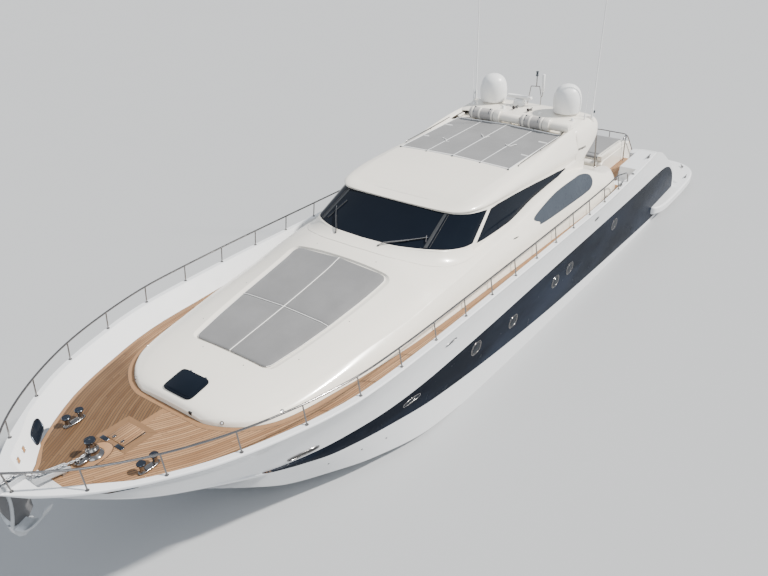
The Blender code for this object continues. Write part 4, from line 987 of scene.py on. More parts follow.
def band_gloss():
    """Dark band: deep gloss, with a painted reflection of the water drifting through its colour."""
    c = colours()
    f = Finish("band_gloss", tuple(c.stripe), 0.25, Specular_IOR_Level=0.012)
    # Painted reflection: slow streaks of lighter and darker band colour stand in for the water mirrored in the gloss.
    drift = f.noise(0.55, 4.0, stretch=(0.6, 1.0, 1.8))
    f.drive("Base Color", f.mix(f.spread(drift, 0.38, 0.68), dim(c.stripe, 0.75), dim(c.stripe, 1.9)))
    f.drive("Roughness", f.spread(f.noise(3.0, 3.0), 0.3, 0.7, 0.16, 0.28))
    f.drive("Normal", f.bump(f.noise(1.3, 2.0), 0.08, 0.01))
    return f


# Angle of the weave per metre
THREADS = 2200.0


def woven_pad():
    """Outdoor cloth: fine cross weave, faded unevenly."""
    c = colours()
    f = Finish("woven_pad", tuple(c.pad), 0.85, Sheen_Weight=0.25, Sheen_Roughness=0.5)
    x, y, _ = f.split()
    warp = f.math("SINE", f.mul(x, THREADS))
    weft = f.math("SINE", f.mul(y, THREADS))
    weave = f.mul(warp, weft)
    fade = f.noise(1.1, 5.0)
    thread = f.noise(60.0, 3.0)
    value = f.add(f.mul(fade, 0.7), f.mul(thread, 0.3))
    f.drive("Base Color", f.mix(f.spread(value, 0.3, 0.7), dim(c.pad, 0.84), dim(c.pad, 1.14)))
    f.drive("Roughness", f.spread(thread, 0.3, 0.7, 0.78, 0.92))
    crease = f.noise(7.0, 3.0)
    height = f.add(f.mul(weave, 0.06), f.mul(crease, 0.9))
    f.drive("Normal", f.bump(height, 0.32, 0.006))
    return f


def soft_vinyl(name, colour, rough=0.5):
    """Upholstery skin with a fine grain."""
    f = Finish(name, colour, rough, Sheen_Weight=0.1)
    f.drift(0.05, 1.4, 0.07)
    cells = f.tree.nodes.new("ShaderNodeTexVoronoi")
    cells.inputs["Scale"].default_value = 420.0
    f.tree.links.new(f.coords, cells.inputs["Vector"])
    height = f.add(f.mul(cells.outputs["Distance"], 0.3), f.noise(5.0, 3.0))
    f.drive("Normal", f.bump(height, 0.25, 0.003))
    return f


def metal(name, colour, rough, scratch=0.25, smudge=0.08, bump=0.05):
    """Metal with smudges in its polish and fine scratches."""
    f = Finish(name, colour, rough, 1.0)
    smear = f.noise(9.0, 4.0)
    scratches = f.noise(40.0, 4.0, 0.7, stretch=(1.0, 12.0, 12.0))
    f.drive("Roughness", f.spread(smear, 0.35, 0.7, max(rough - smudge * 0.5, 0.03), rough + smudge))
    f.drive("Base Color", f.mix(f.spread(scratches, 0.3, 0.75), tuple(v * (1 - scratch) for v in colour),
            colour))
    f.drive("Normal", f.bump(scratches, bump, 0.001))
    return f


def plain(name, colour, rough, grain=120.0, bump=0.15, amount=0.08, metallic=0.0):
    """Moulded plastic, rubber or paint with a fine surface."""
    f = Finish(name, colour, rough, metallic)
    f.drift(amount, 2.0, 0.07)
    f.drive("Normal", f.bump(f.noise(grain, 3.0), bump, 0.001))
    return f


def studio_floor():
    """Pale matt floor with a trace of unevenness."""
    f = Finish("studio_floor", (0.40, 0.41, 0.42), 0.85, Specular_IOR_Level=0.05)
    f.drift(0.012, 0.05, 0.04)
    return f


MAKERS = {
    "hull_gelcoat": hull_gelcoat,
    "cream_gelcoat": lambda: gelcoat("cream_gelcoat", tuple(colours().cream), 0.014),
    "white_gelcoat": lambda: gelcoat("white_gelcoat", tuple(colours().topsides), 0.010),
    "deck_teak": deck_teak,
    "floor_teak": floor_teak,
    "board_teak": board_teak,
    "dark_glass": dark_glass,
    "slate_glass": slate_glass,
    "band_gloss": band_gloss,
    "cast_zinc": lambda: plain("cast_zinc", (0.42, 0.44, 0.46), 0.42, 60.0, 0.25, 0.14, 0.35),
    # Painted shade: the same cast metal as cast_zinc, darkened for the anchor shank's side face.
    "cast_dark": lambda: plain("cast_dark", (0.13, 0.13, 0.135), 0.5, 60.0, 0.25, 0.14, 0.2),
    "mullion": lambda: plain("mullion", (0.022, 0.024, 0.027), 0.45, 90.0, 0.05),
    "woven_pad": woven_pad,
    "piping": lambda: soft_vinyl("piping", tuple(colours().trim), 0.6),
    "cream_leather": lambda: soft_vinyl("cream_leather", (0.50, 0.43, 0.34), 0.42),
    "nonskid": lambda: plain("nonskid", (0.56, 0.57, 0.58), 0.72, 260.0, 0.5, 0.04),
    "steel_blue": lambda: metal("steel_blue", (0.085, 0.10, 0.125), 0.22, 0.3),
    "lamp_glass": lambda: plain("lamp_glass", (0.75, 0.78, 0.80), 0.08, 60.0, 0.1, 0.05),
    "board_dark": lambda: board_teak("board_dark", 0.62),
    "cream_vinyl": lambda: soft_vinyl("cream_vinyl", (0.66, 0.62, 0.54)),
    "grey_vinyl": lambda: soft_vinyl("grey_vinyl", (0.40, 0.41, 0.44)),
    # Painted shadow: the drums' covers are grey for the shadow that the domes cast on them.
    "clear_cover": lambda: soft_vinyl("clear_cover", (0.42, 0.40, 0.38), 0.3),
    # Painted reflection: the polished steel's colour is kept dark, as it looks when it mirrors dark water.
    "polished": lambda: metal("polished", (0.27, 0.26, 0.255), 0.15, 0.2),
    "brushed": lambda: metal("brushed", (0.50, 0.51, 0.52), 0.26, 0.35),
    "galvanised": lambda: metal("galvanised", (0.52, 0.53, 0.55), 0.42, 0.4, 0.12, 0.3),
    "bronze": lambda: metal("bronze", (0.52, 0.35, 0.16), 0.28, 0.35),
    "black_rubber": lambda: plain("black_rubber", (0.012, 0.012, 0.013), 0.55),
    "dark_cap": lambda: plain("dark_cap", (0.035, 0.045, 0.055), 0.32),
    "white_plastic": lambda: plain("white_plastic", (0.78, 0.78, 0.77), 0.34, 90.0, 0.06, 0.03),
    "engine_paint": lambda: plain("engine_paint", (0.20, 0.21, 0.22), 0.45, 60.0, 0.2, 0.15, 0.3),
    "antifouling": lambda: plain("antifouling", (0.012, 0.018, 0.040), 0.75, 30.0, 0.4, 0.4),
    "studio_floor": studio_floor,
}


# Hull

def hull_section(x):
    """Half section from the keel to the cap, smooth between its edges."""
    kz, cy, cz, ly, lz, uy, uz, sy, sz = hull_at(x)
    lip = min(0.05, 0.3 * (ly - cy) + 0.005)
    mid = (0.5 * (uy + sy) - 0.06 * (sy - uy), 0.5 * (uz + sz))
    lower = smooth_line([(cy + lip, cz + 0.015), (ly, lz), (uy, uz)], 5)
    e = min(1.0, 6.0 * (sz - uz), 8.0 * sy)
    upper = smooth_line([(uy, uz), mid, (sy - 0.02 * e, sz - 0.07 * e)], 5)
    edge = [(sy - 0.006 * e, sz - 0.055 * e), (sy, sz - 0.03 * e), (sy - 0.007 * e, sz - 0.008 * e),
            (sy - 0.02 * e, sz)]
    return [(cy * 0.5, kz + (cz - kz) * 0.46), (cy, cz)] + lower + upper[1:] + edge


def hull_ring(x):
    """Whole section of the hull, both sides."""
    half = hull_section(x)
    kz, sz = hull_at(x)[0], hull_at(x)[8]
    return ([(x, 0.0, kz)] + [(x, y, z) for y, z in half] + [(x, 0.0, sz)]
            + [(x, -y, z) for y, z in reversed(half)])


def bulwark(x):
    """Foot and top of the bulwark's inner face, as half-breadths."""
    foot, top = deck_edge(x), max(cap(x)[0] - CAP_WIDTH, 0.1)
    if x > 12.1:
        foot = between(x, (12.1, 12.6, 12.95, 13.12), (deck_edge(12.1), 0.66, 0.36, 0.14))
        top = between(x, (12.1, 12.6, 12.95, 13.12), (cap(12.1)[0] - CAP_WIDTH, 1.00, 0.66, 0.42))
    return foot, top


def deck_well():
    """What is cut out of the hull above the sunken deck."""
    rings = []
    for x in stations(DECK_X[0], DECK_X[-1], sizes().station, DECK_X):
        z = deck_z(x)
        foot, top = bulwark(x)
        slope = (top - foot) / DECK_DROP
        side = [(foot - 0.030, z), (foot - 0.012, z + 0.004), (foot + 0.004, z + 0.018),
                (foot + 0.004 + slope * 0.05, z + 0.06), (top - 0.012, z + DECK_DROP - 0.03),
                (top + 0.006, z + DECK_DROP), (top + 0.006 + slope * 0.5, z + DECK_DROP + 0.5)]
        rings.append([(x, y, zz) for y, zz in side] + [(x, -y, zz) for y, zz in reversed(side)])
    return loft("deck_well", rings, finish("white_gelcoat"), smooth=0)


def shaft_point(side, s):
    """Point on the propeller shaft, s metres forward of the propeller's centre."""
    return (PROP_X + math.cos(SHAFT_TILT) * s, side * PROP_Y, PROP_Z + math.sin(SHAFT_TILT) * s)


def make_hull():
    """Hull shell with its deck well, rooms, stairs and bores, and the shaft brackets."""
    white = finish("white_gelcoat")
    xs = stations(HULL_X[0], 13.0, sizes().station, HULL_X) + stations(13.04, HULL_X[-1], 0.04)
    hull = loft("hull_shell", [hull_ring(x) for x in xs], finish("hull_gelcoat"))
    cut(hull, deck_well())
    top = smooth_line(WING, 4) + [(-11.6, PLATFORM_BOTTOM - GAP), (-16.0, PLATFORM_BOTTOM - GAP),
            (-16.0, 5.0), (-8.0, 5.0)]
    cut(hull, side_prism("wing_cut", top, -5, 5, white))
    for low, high in (((-10.2, -2.5, SOLE_Z), (-6.3, 2.5, 5.0)), ((-6.4, -2.0, SOLE_Z), (3.1, 2.0, 5.0)),
                      ((-12.0, -SLOT_Y, PLATFORM_BOTTOM - GAP), (GARAGE_FRONT, SLOT_Y, 5.0)),
                      ((-7.5, -2.1, -0.45), (-4.2, 2.1, 1.80)),
                      ((FLOOR_HATCH[0], -FLOOR_HATCH[2], 1.7), (FLOOR_HATCH[1], FLOOR_HATCH[2], 2.2))):
        cut(hull, box("room", low, high, white))
    stairs, rise = [(-9.9, 5.0)], (SOLE_Z - PLATFORM_TOP) / STEPS
    for i in range(STEPS):
        x, z = STAIR_X - i * TREAD, SOLE_Z - (i + 1) * rise
        stairs += [(x if i else -9.9, z + rise), (x, z + rise), (x, z)] if i == 0 else [(x, z + rise),
                (x, z)]
    stairs += [(-13.0, PLATFORM_TOP), (-13.0, 5.0)]
    for side in (-1, 1):
        cut(hull, side_block("stairs", stairs, side, 1.40, 2.5, white))
    for side in (-1, 1):
        tube = rod("tube", [shaft_point(side, 2.7), shaft_point(side, 4.6)], 0.13, white, 24)
        fuse(hull, tube)
        cut(hull, rod("bore", [shaft_point(side, 0.2), shaft_point(side, 3.4)], SHAFT_BORE, white, 24))
        cut(hull, rod("stock_bore", [(-11.25, side * PROP_Y, -1.2), (-11.25, side * PROP_Y, -0.45)],
                STOCK_BORE, white, 24))
    face_finish(hull, finish("floor_teak"), lambda c, n: n.z > 0.9 and (
        (abs(c.z - SOLE_Z) < 0.01 and abs(c.y) < 2.49) or
        (c.x < -9.9 and 1.39 < abs(c.y) < 2.51 and PLATFORM_TOP - 0.02 < c.z < SOLE_Z - 0.01)))
    face_finish(hull, white, lambda c, n: (c.z > 0.4 and abs(c.y) < 2.52 and c.x < 3.2 and not n.z > 0.9)
                or (c.z > 2.3 and abs(c.y) < cap(c.x)[0] - 0.03))
    weighted(hull)
    settle(hull, "hull_white", "hull")
    for side, word in SIDES:
        boss = rod("boss", [shaft_point(side, 0.34), shaft_point(side, 0.36), shaft_point(side, 0.58),
                shaft_point(side, 0.60)], 0.1, finish("bronze"), 32, radii=(0.085, 0.10, 0.10, 0.085))
        p = shaft_point(side, 0.47)
        section = smooth_line([(0.16, 0.0), (0.08, 0.024), (-0.06, 0.026), (-0.16, 0.0), (-0.06, -0.026),
                (0.08, -0.024)], 4, True)
        leg = [[(p[0] + dx + 0.12 * t, side * PROP_Y + dy, p[2] + 0.06 + 0.89 * t) for dx, dy in section]
               for t in (0.0, 0.5, 1.0)]
        fuse(boss, loft("leg", leg, finish("bronze")))
        cut(boss, rod("bore", [shaft_point(side, 0.2), shaft_point(side, 0.8)], SHAFT_BORE,
                finish("bronze"), 24))
        boss.name = "shaft_bracket_" + word
        settle(boss, "bronze")


# Deck

def distance_to(points, line):
    """Shortest plan distance from each point to a run of straight spans."""
    p = np.asarray(points, dtype=float)[:, None, :]
    a, b = np.asarray(line[:-1], dtype=float)[None], np.asarray(line[1:], dtype=float)[None]
    ab = b - a
    t = np.clip(((p - a) * ab).sum(2) / (ab * ab).sum(2), 0.0, 1.0)
    return np.sqrt((((p - a) - ab * t[..., None]) ** 2).sum(2)).min(1)


def trunk_outline(grow=0.0, aft=None, step=0.1):
    """Plan outline of the coachroof at the deck."""
    xs = stations(TRUNK[0][0], 9.2, step) + stations(9.22, TRUNK[-1][0], 0.03)
    half = [(x + (grow if x > 9.9 else 0.0), trunk_at(x)[0] + grow) for x in xs]
    if aft is not None:
        half = [(aft, half[0][1])] + half
    return half + [(x, -y) for x, y in reversed(half)]


def teak_edge(x):
    """Half-breadth of the planking."""
    if x <= 12.3:
        return deck_edge(x) - 0.02
    return between(x, (12.3, 12.6, 12.8), (deck_edge(12.3) - 0.02, 0.64, 0.46))


def make_deck():
    """Teak planking, with distances for the material to lay its boards by."""
    rings, columns = [], 40
    for x in stations(-6.0, 12.8, 0.1):
        y, z = teak_edge(x), deck_z(x)
        ys = np.linspace(-y, y, columns + 1)
        rings.append([(x, v, z + 0.0006) for v in ys] + [(x, v, z + 0.016) for v in ys[::-1]])
    teak = loft("deck_planking", rings, finish("deck_teak"), smooth=0)
    cut(teak, prism("trunk_hole", trunk_outline(0.002, -6.8), 1.5, 4.0, finish("deck_teak")))
    cut(teak, box("lid_hole", (10.905, -0.255, 2.5), (11.405, 0.255, 3.6), finish("deck_teak")))
    plan = [(v.co.x, abs(v.co.y)) for v in teak.data.vertices]
    xs = stations(-6.6, 12.8, 0.1)
    swept = [(x, teak_edge(x)) for x in xs if x < 11.9]
    edge = distance_to(plan, swept + [(13.4, swept[-1][1] - 0.5 * (13.4 - swept[-1][0]))])
    margin = distance_to(plan, [(x, teak_edge(x)) for x in xs])
    trunk = distance_to(plan, [(x, y) for x, y in trunk_outline() if y >= 0] + [(TRUNK[-1][0], 0.0)])
    for name, values in (("plank_sweep", edge), ("from_bulwark", margin), ("from_trunk", trunk)):
        layer = teak.data.attributes.new(name, "FLOAT", "POINT")
        layer.data.foreach_set("value", np.ascontiguousarray(values, dtype=np.float32))
    settle(teak, "teak", "teak_deck")


# Coachroof

def trunk_section(x, z):
    """Half section of the coachroof from height z at the deck to the crown."""
    by, sy, hy, hz, cz = trunk_at(x)
    knee = z + 0.55 * (hz - z)
    side = [(by, z), (sy, knee), (hy + 0.45 * (sy - hy), hz - 0.12 * (hz - z)), (hy, hz)]
    roof = [(hy, hz), (hy * 0.84, hz + 0.42 * (cz - hz)), (hy * 0.5, hz + 0.86 * (cz - hz)), (0.0, cz)]
    whole = side + roof[1:]
    return smooth_line(whole + [(-hy * 0.5, whole[-2][1])], 4)[:len(whole) * 4 - 3]


def trunk_surface(x):
    """Height of the coachroof over half-breadth, as a table for one station."""
    section = trunk_section(x, deck_z(x) + 0.0005)
    ys, zs = zip(*section[::-1])
    return ys, zs


def crown(x, y):
    """Height of the coachroof's surface."""
    ys, zs = trunk_surface(x)
    high = [i for i, z in enumerate(zs) if z > trunk_at(x)[3] - 0.05]
    return between(abs(y), [ys[i] for i in high], [zs[i] for i in high])


def solid_crown(x, y):
    """Height of the solid's plainer surface, which the recesses were cut from."""
    hy, hz, cz = trunk_at(x)[2:]
    u = min(abs(y) / hy, 1.0)
    return between(u, (0, 0.5, 0.84, 1.0), (cz, hz + 0.86 * (cz - hz), hz + 0.42 * (cz - hz), hz))


def sunpad_line(x):
    """Half-breadth of the sun bed."""
    xs, ws = zip(*sorted(SUNPAD))
    return between(x, xs, ws)


def bed_block(name, grow, low, high, material, step=0.12):
    """Block following the coachroof under the sun bed, from low to high above its surface."""
    rings = []
    for x in stations(SUNPAD[-1][0] - grow, SUNPAD[0][0] + grow, step):
        w = sunpad_line(x) + grow
        ys = np.linspace(-w, w, 17)
        rings.append([(x, y, solid_crown(x, y) + low) for y in ys] + [(x, y, solid_crown(x, y) + high)
                for y in ys[::-1]])
    return loft(name, rings, material, smooth=0)


def hatch_line(x):
    """Height of the hatch's flat seat."""
    x0, x1, _ = HATCH
    return solid_crown(x0, 0) + (solid_crown(x1, 0) - solid_crown(x0, 0)) * (x - x0) / (x1 - x0)


def fine_side(x, z):
    """Half-breadth of the smooth side moulding."""
    section = [(p[1], p[0]) for p in trunk_section(x, deck_z(x) + 0.0005) if p[0] > trunk_at(x)[2] - 0.01]
    zs, ys = zip(*sorted(section))
    return between(z, zs, ys)


def lower_window(name, side, grow, inner, outer, material):
    """Closed pane over the lower window's outline, between two depths."""
    line = smooth_line(LOWER_WINDOW, 6, loop=True)
    cx, cz = (sum(p[k] for p in line) / len(line) for k in (0, 1))
    pts = []
    for x, z in line:
        d = math.hypot(x - cx, z - cz)
        pts.append((x + (x - cx) / d * grow, z + (z - cz) / d * grow))
    rings = []
    for f in (0.02, 0.25, 0.5, 0.75, 1.0):
        rings.append([(cx + (x - cx) * f, cz + (z - cz) * f) for x, z in pts])
    front = [[(x, side * (fine_side(x, z) + outer), z) for x, z in r] for r in rings]
    back = [[(x, side * (fine_side(x, z) + inner), z) for x, z in r] for r in rings[::-1]]
    return loft(name, front + back, material)


def house_outline(grow, aft=None, steps=90):
    """Plan outline of the deckhouse wall at its sill."""
    last = len(BAND) - 1
    half = []
    for i in range(steps + 1):
        s = last * i / steps
        q = band_curve(s)
        half.append((q[0] + grow * (1.0 if s < 3.5 else 0.0), q[1] + grow * (1.0 if s > 1 else 0.3)))
    if aft is not None:
        half.append((aft, half[-1][1]))
    return half[1:] + [(x, -y) for x, y in reversed(half[1:])] + [(half[0][0], 0.0)]


def make_coachroof():
    """Coachroof with the recesses of house, sun bed, hatch and lower windows."""
    cream = finish("cream_gelcoat")
    rings = []
    for x in stations(TRUNK[0][0], 9.0, 0.16) + stations(9.05, 10.0, 0.06) + stations(10.02, TRUNK[-1][0],
            0.02):
        half = trunk_section(x, deck_z(x) + 0.0005)
        rings.append([(x, y, z) for y, z in half] + [(x, -y, z) for y, z in reversed(half[:-1])])
    trunk = loft("coachroof_moulding", rings, cream)
    cut(trunk, prism("house_hole", house_outline(-0.03, -8.0), 1.0, 6.0, cream))
    cut(trunk, bed_block("bed_recess", -0.06, -0.045, 0.3, cream))
    cut(trunk, bed_rim())
    x0, x1, w = HATCH
    cut(trunk, box("hatch_hole", (x0 + 0.05, -w + 0.05, 2.95), (x1 - 0.05, w - 0.05, 3.6), cream))
    seat = [(x, hatch_line(x)) for x in (x0 - 0.006, x1 + 0.006)] + [(x1 + 0.006, 3.6), (x0 - 0.006, 3.6)]
    cut(trunk, side_prism("hatch_seat", seat, -w - 0.006, w + 0.006, cream))
    for side in (-1, 1):
        cut(trunk, lower_window("pocket", side, 0.0, -0.03, 0.3, cream))
    weighted(trunk)
    settle(trunk, "cream", "coachroof")


# Deckhouse

def band_point(s, t, inset=0.0):
    """Point on the window band: s along it from the centreline aft, t from sill to head, inset inward."""
    q = band_curve(s)
    sill, head = Vector(q[:3]), Vector(q[3:])
    p = sill.lerp(head, t)
    if inset:
        e = 0.05
        a, b = band_curve(min(s + e, len(BAND) - 1)), band_curve(max(s - e, 0))
        along = Vector(a[:3]).lerp(Vector(a[3:]), t) - Vector(b[:3]).lerp(Vector(b[3:]), t)
        if s < e:
            along = Vector((0, 1, 0))
        n = along.cross(head - sill).normalized()
        if (n.z < 0 and s < 4) or (s >= 4 and n.y < 0):
            n = -n
        p = p - n * inset
    return p


def shrink(p, s, d):
    """Move a point of the band inward in plan."""
    last = len(BAND) - 1
    a, b = band_curve(min(s + 0.1, last)), band_curve(max(s - 0.1, 0))
    tangent = Vector((0, 1, 0)) if s < 0.1 else Vector((a[0] - b[0], a[1] - b[1], 0))
    return Vector(p) - Vector((tangent.y, -tangent.x, 0)).normalized() * d


def roof_lift(x, z, h):
    """Rise of the roof's edge above the head of the glass, so the roof stays nearly level aft."""
    level = between(x, (-4.4, -2.4, 0.0, 1.0, 2.0, 2.6),
            (ROOF_LEVEL, ROOF_LEVEL, ROOF_LEVEL, 4.72, 4.64, 4.57))
    return (level - z) * h / 0.36


# Distance in from the head line, rise of the shoulder there where it meets the arch
SHOULDER = ((-0.05, -0.02, 0.10, 0.16, 0.22, 0.29, 0.35), (0.0, 0.05, 0.22, 0.24, 0.20, 0.09, 0.0))


def shoulder(x):
    """How far the roof's edge has risen towards the arch at a station."""
    t = min(max((-0.5 - x) / 3.2, 0.0), 1.0)
    return t * t * (3 - 2 * t)


def house_solid(name, inset, drop=0.0, steps=90):
    """Closed deckhouse body, or its inside where inset by the wall."""
    last = len(BAND) - 1
    ss = [last * i / steps for i in range(steps + 1)]

    def both(half):
        return [tuple(p) for p in half] + [(p[0], -p[1], p[2]) for p in reversed(half[1:])]

    wall = [shrink((*band_curve(s)[:2], 0), s, inset) for s in ss]
    rings = [both([(p.x, p.y, deck_z(p.x) + 0.0008 - drop) for p in wall]),
             both([(p.x, p.y, band_curve(s)[2] - inset * 0.5) for p, s in zip(wall, ss)])]
    rings += [both([band_point(s, t, inset) for s in ss]) for t in (0.5, 0.97)]
    edge = smooth_line([(0.0, 0.0)] + list(ROOF_EDGE), 4)[1:]
    for d, h in edge:
        ring = []
        for s in ss:
            head = Vector(band_curve(s)[3:])
            p = shrink(head, s, d + inset)
            rise = roof_lift(head.x, head.z, h) + shoulder(p.x) * between(d, *SHOULDER)
            ring.append((p.x, max(p.y, 0.0), head.z + rise - inset))
        rings.append(both(ring))
    n, m = len(rings[0]), len(ss)
    verts = [p for r in rings for p in r]
    faces = [tuple(range(n))]
    for i in range(len(rings) - 1):
        faces += [(i * n + k, i * n + (k + 1) % n, (i + 1) * n + (k + 1) % n, (i + 1) * n + k)
                for k in range(n)]
    base = (len(rings) - 1) * n
    across = (0.85, 0.6, 0.3, 0.0, -0.3, -0.6, -0.85)
    rows = []
    for i in range(1, m):
        p = verts[base + i]
        camber = ROOF_CAMBER * min(max((2.25 - p[0]) / 1.5, 0.0), 1.0)
        row = [base + i]
        for f in across:
            row.append(len(verts))
            verts.append((p[0], p[1] * f, p[2] + camber * (1 - f * f)))
        rows.append(row + [base + n - i])
    for a, b in zip(rows, rows[1:]):
        faces += [(a[k], a[k + 1], b[k + 1], b[k]) for k in range(len(a) - 1)]
    faces.append(tuple([base] + rows[0]))
    faces.append(tuple(rows[-1]))
    return new_object(name, verts, faces, finish("cream_gelcoat"))


HOLE_LAYERS = ((-0.05, 0.0), (0.0, 0.0), (0.02, 0.0), (0.021, 0.012), (0.075, 0.012))
GLASS_LAYERS = ((0.004, 0.0), (0.0194, 0.0))


def band_patch(name, table, inside, layers, material, full=False, side=1, steps=10):
    """Closed patch of the window band, `inside` metres within its edges, through the given layers."""
    rows = []
    for a, b in zip(table, table[1:]):
        rows += [[p + (q - p) * k / steps for p, q in zip(a, b)] for k in range(steps)]
    rows.append(list(table[-1]))
    if inside:
        if not full:
            rows[0] = [p + (q - p) * 0.04 for p, q in zip(rows[0], rows[1])]
        rows[-1] = [p + (q - p) * 0.04 for p, q in zip(rows[-1], rows[-2])]
    sections = []
    for s, a, b in rows:
        q = band_curve(s)
        metre = 1 / (Vector(q[3:]) - Vector(q[:3])).length
        sections.append([band_point(s, a + (inside + e) * metre, d) for d, e in layers]
                        + [band_point(s, b - (inside + e) * metre, d) for d, e in reversed(layers)])
    if full:
        port = sections[1:]
        for p in sections[0]:
            p.y = 0.0
        sections = [[Vector((p.x, -p.y, p.z)) for p in sec]
                for sec in reversed(port)] + [sections[0]] + port
    if side < 0:
        sections = [[Vector((p.x, -p.y, p.z)) for p in sec] for sec in sections]
    return loft(name, sections, material, smooth=30)


ARCH_PATH = ((2.02, 0.0, 0.0), (2.02, 3.30, 0.0), (2.08, 3.8, 0.03), (2.13, 4.3, 0.03), (2.10, 4.62, 0.0),
             (1.98, 4.82, -0.02), (1.70, 4.90, -0.03), (1.0, 4.93, -0.03), (0.0, 4.94, -0.03))
# Aft edge of the arch: heights, and x at each
ARCH_BACK = ((3.9, 4.0, 4.12, 4.38, 4.7), (-4.46, -4.58, -4.84, -5.15, -5.28))
ARCH_SECTION = ((0.0, 0.0), (0.12, 0.05), (0.5, 0.075), (0.9, 0.06), (1.0, 0.0), (0.9, -0.05),
        (0.5, -0.06), (0.12, -0.045))


def make_arch():
    """Wing across the roof's aft end with a leg down each side."""
    path = [(y, z if z else deck_z(-3.7) + 0.001, dx) for y, z, dx in ARCH_PATH]
    path = [path[0]] + smooth_line(path[1:], 4)
    full = path + [(-y, z, dx) for y, z, dx in reversed(path[:-1])]
    section = smooth_line(ARCH_SECTION, 3, loop=True)
    rings = []
    for i, (y, z, dx) in enumerate(full):
        a, b = full[max(i - 1, 0)], full[min(i + 1, len(full) - 1)]
        d = Vector((0, b[0] - a[0], b[1] - a[1])).normalized()
        n = Vector((0, -d.z, d.y))
        if n.dot(Vector((0, y, z - 3.6))) < 0:
            n = -n
        front = -3.75 + dx
        back = between(z, *ARCH_BACK)
        thick = between(z, (4.6, 4.8), (1.0, 1.2))
        rings.append([tuple(Vector((front + (back - front) * c, y, z)) + n * t * thick)
                for c, t in section])
    arch = loft("arch", rings, finish("cream_gelcoat"))
    feet = [(DOME_X, s * DOME_Y, 0.33, DOME_Z) for s in (-1, 1)]
    feet += [(WHIP_FOOT[0], s * WHIP_FOOT[1], 0.06, WHIP_FOOT[2]) for s in (-1, 1)]
    feet += [(SHORT_FOOT[0], s * SHORT_FOOT[1], 0.04, SHORT_FOOT[2]) for s in (-1, 1)]
    feet += [(RADAR[0], RADAR[1], 0.21, RADAR[2])]
    for x, y, r, z in feet:
        fuse(arch, lathe("foot", ((0, z - 0.09), (r + 0.03, z - 0.09), (r + 0.012, z - 0.03),
                (r + 0.003, z - 0.004), (r, z), (0, z)), finish("cream_gelcoat"), 40, (x, y, 0)))
    return arch


def make_deckhouse():
    """Hollow deckhouse with window openings, doorway and roof arch."""
    house = house_solid("deckhouse_moulding", 0.0)
    cut(house, house_solid("house_inside", HOUSE_WALL, drop=0.5))
    cream = finish("cream_gelcoat")
    cut(house, band_patch("screen_hole", WINDSCREEN, 0.0, HOLE_LAYERS, cream, full=True))
    for side in (-1, 1):
        cut(house, band_patch("side_hole", SIDE_WINDOW, 0.0, HOLE_LAYERS, cream, side=side))
    cut(house, box("doorway", (-4.6, -1.0, 1.0), (-4.2, 1.0, 3.95), cream))
    fuse(house, make_arch())
    weighted(house)
    settle(house, "cream", "deckhouse")


def make_fairing():
    """Smooth root of the windscreen, from the glass down to the coachroof."""
    reach = 0.36
    rows = []
    for s in np.linspace(0.0, 4.3, 44):
        q = Vector(band_curve(s)[:3])
        near = band_point(s, 0.03, -0.0015)
        far = shrink(q, s, -reach * between(s, (2.0, 4.3), (1.0, 0.3)))
        top = []
        for f in np.linspace(0.0, 1.0, 12):
            x, y = near.x + (far.x - near.x) * f, max(near.y + (far.y - near.y) * f, 0.0)
            top.append(Vector((x, y, crown(x, y) + 0.0008 + (near.z - crown(near.x, near.y))
                    * (1 - f) ** 2.2)))
        rows.append(top + [p - Vector((0, 0, 0.012 if i else 0.03))
                for i, p in reversed(list(enumerate(top[:-1])))])
    rows = [[Vector((p.x, -p.y, p.z)) for p in row] for row in reversed(rows[1:])] + rows
    settle(loft("screen_root", rows, finish("cream_gelcoat"), 60), "cream")


def make_windows():
    """Windscreen and the upper and lower side windows."""
    glass = finish("dark_glass")
    settle(band_patch("windscreen_pane", WINDSCREEN, 0.002, GLASS_LAYERS, glass, full=True), "glass",
           "windscreen")
    for side, word in SIDES:
        settle(band_patch("side_pane_" + word, SIDE_WINDOW, 0.002, GLASS_LAYERS, glass, side=side),
               "glass", "side_window_" + word)
        settle(lower_window("lower_pane_" + word, side, -0.0007, -0.0293, -0.004, finish("slate_glass")),
               "slate", "lower_window_" + word)


# Stern

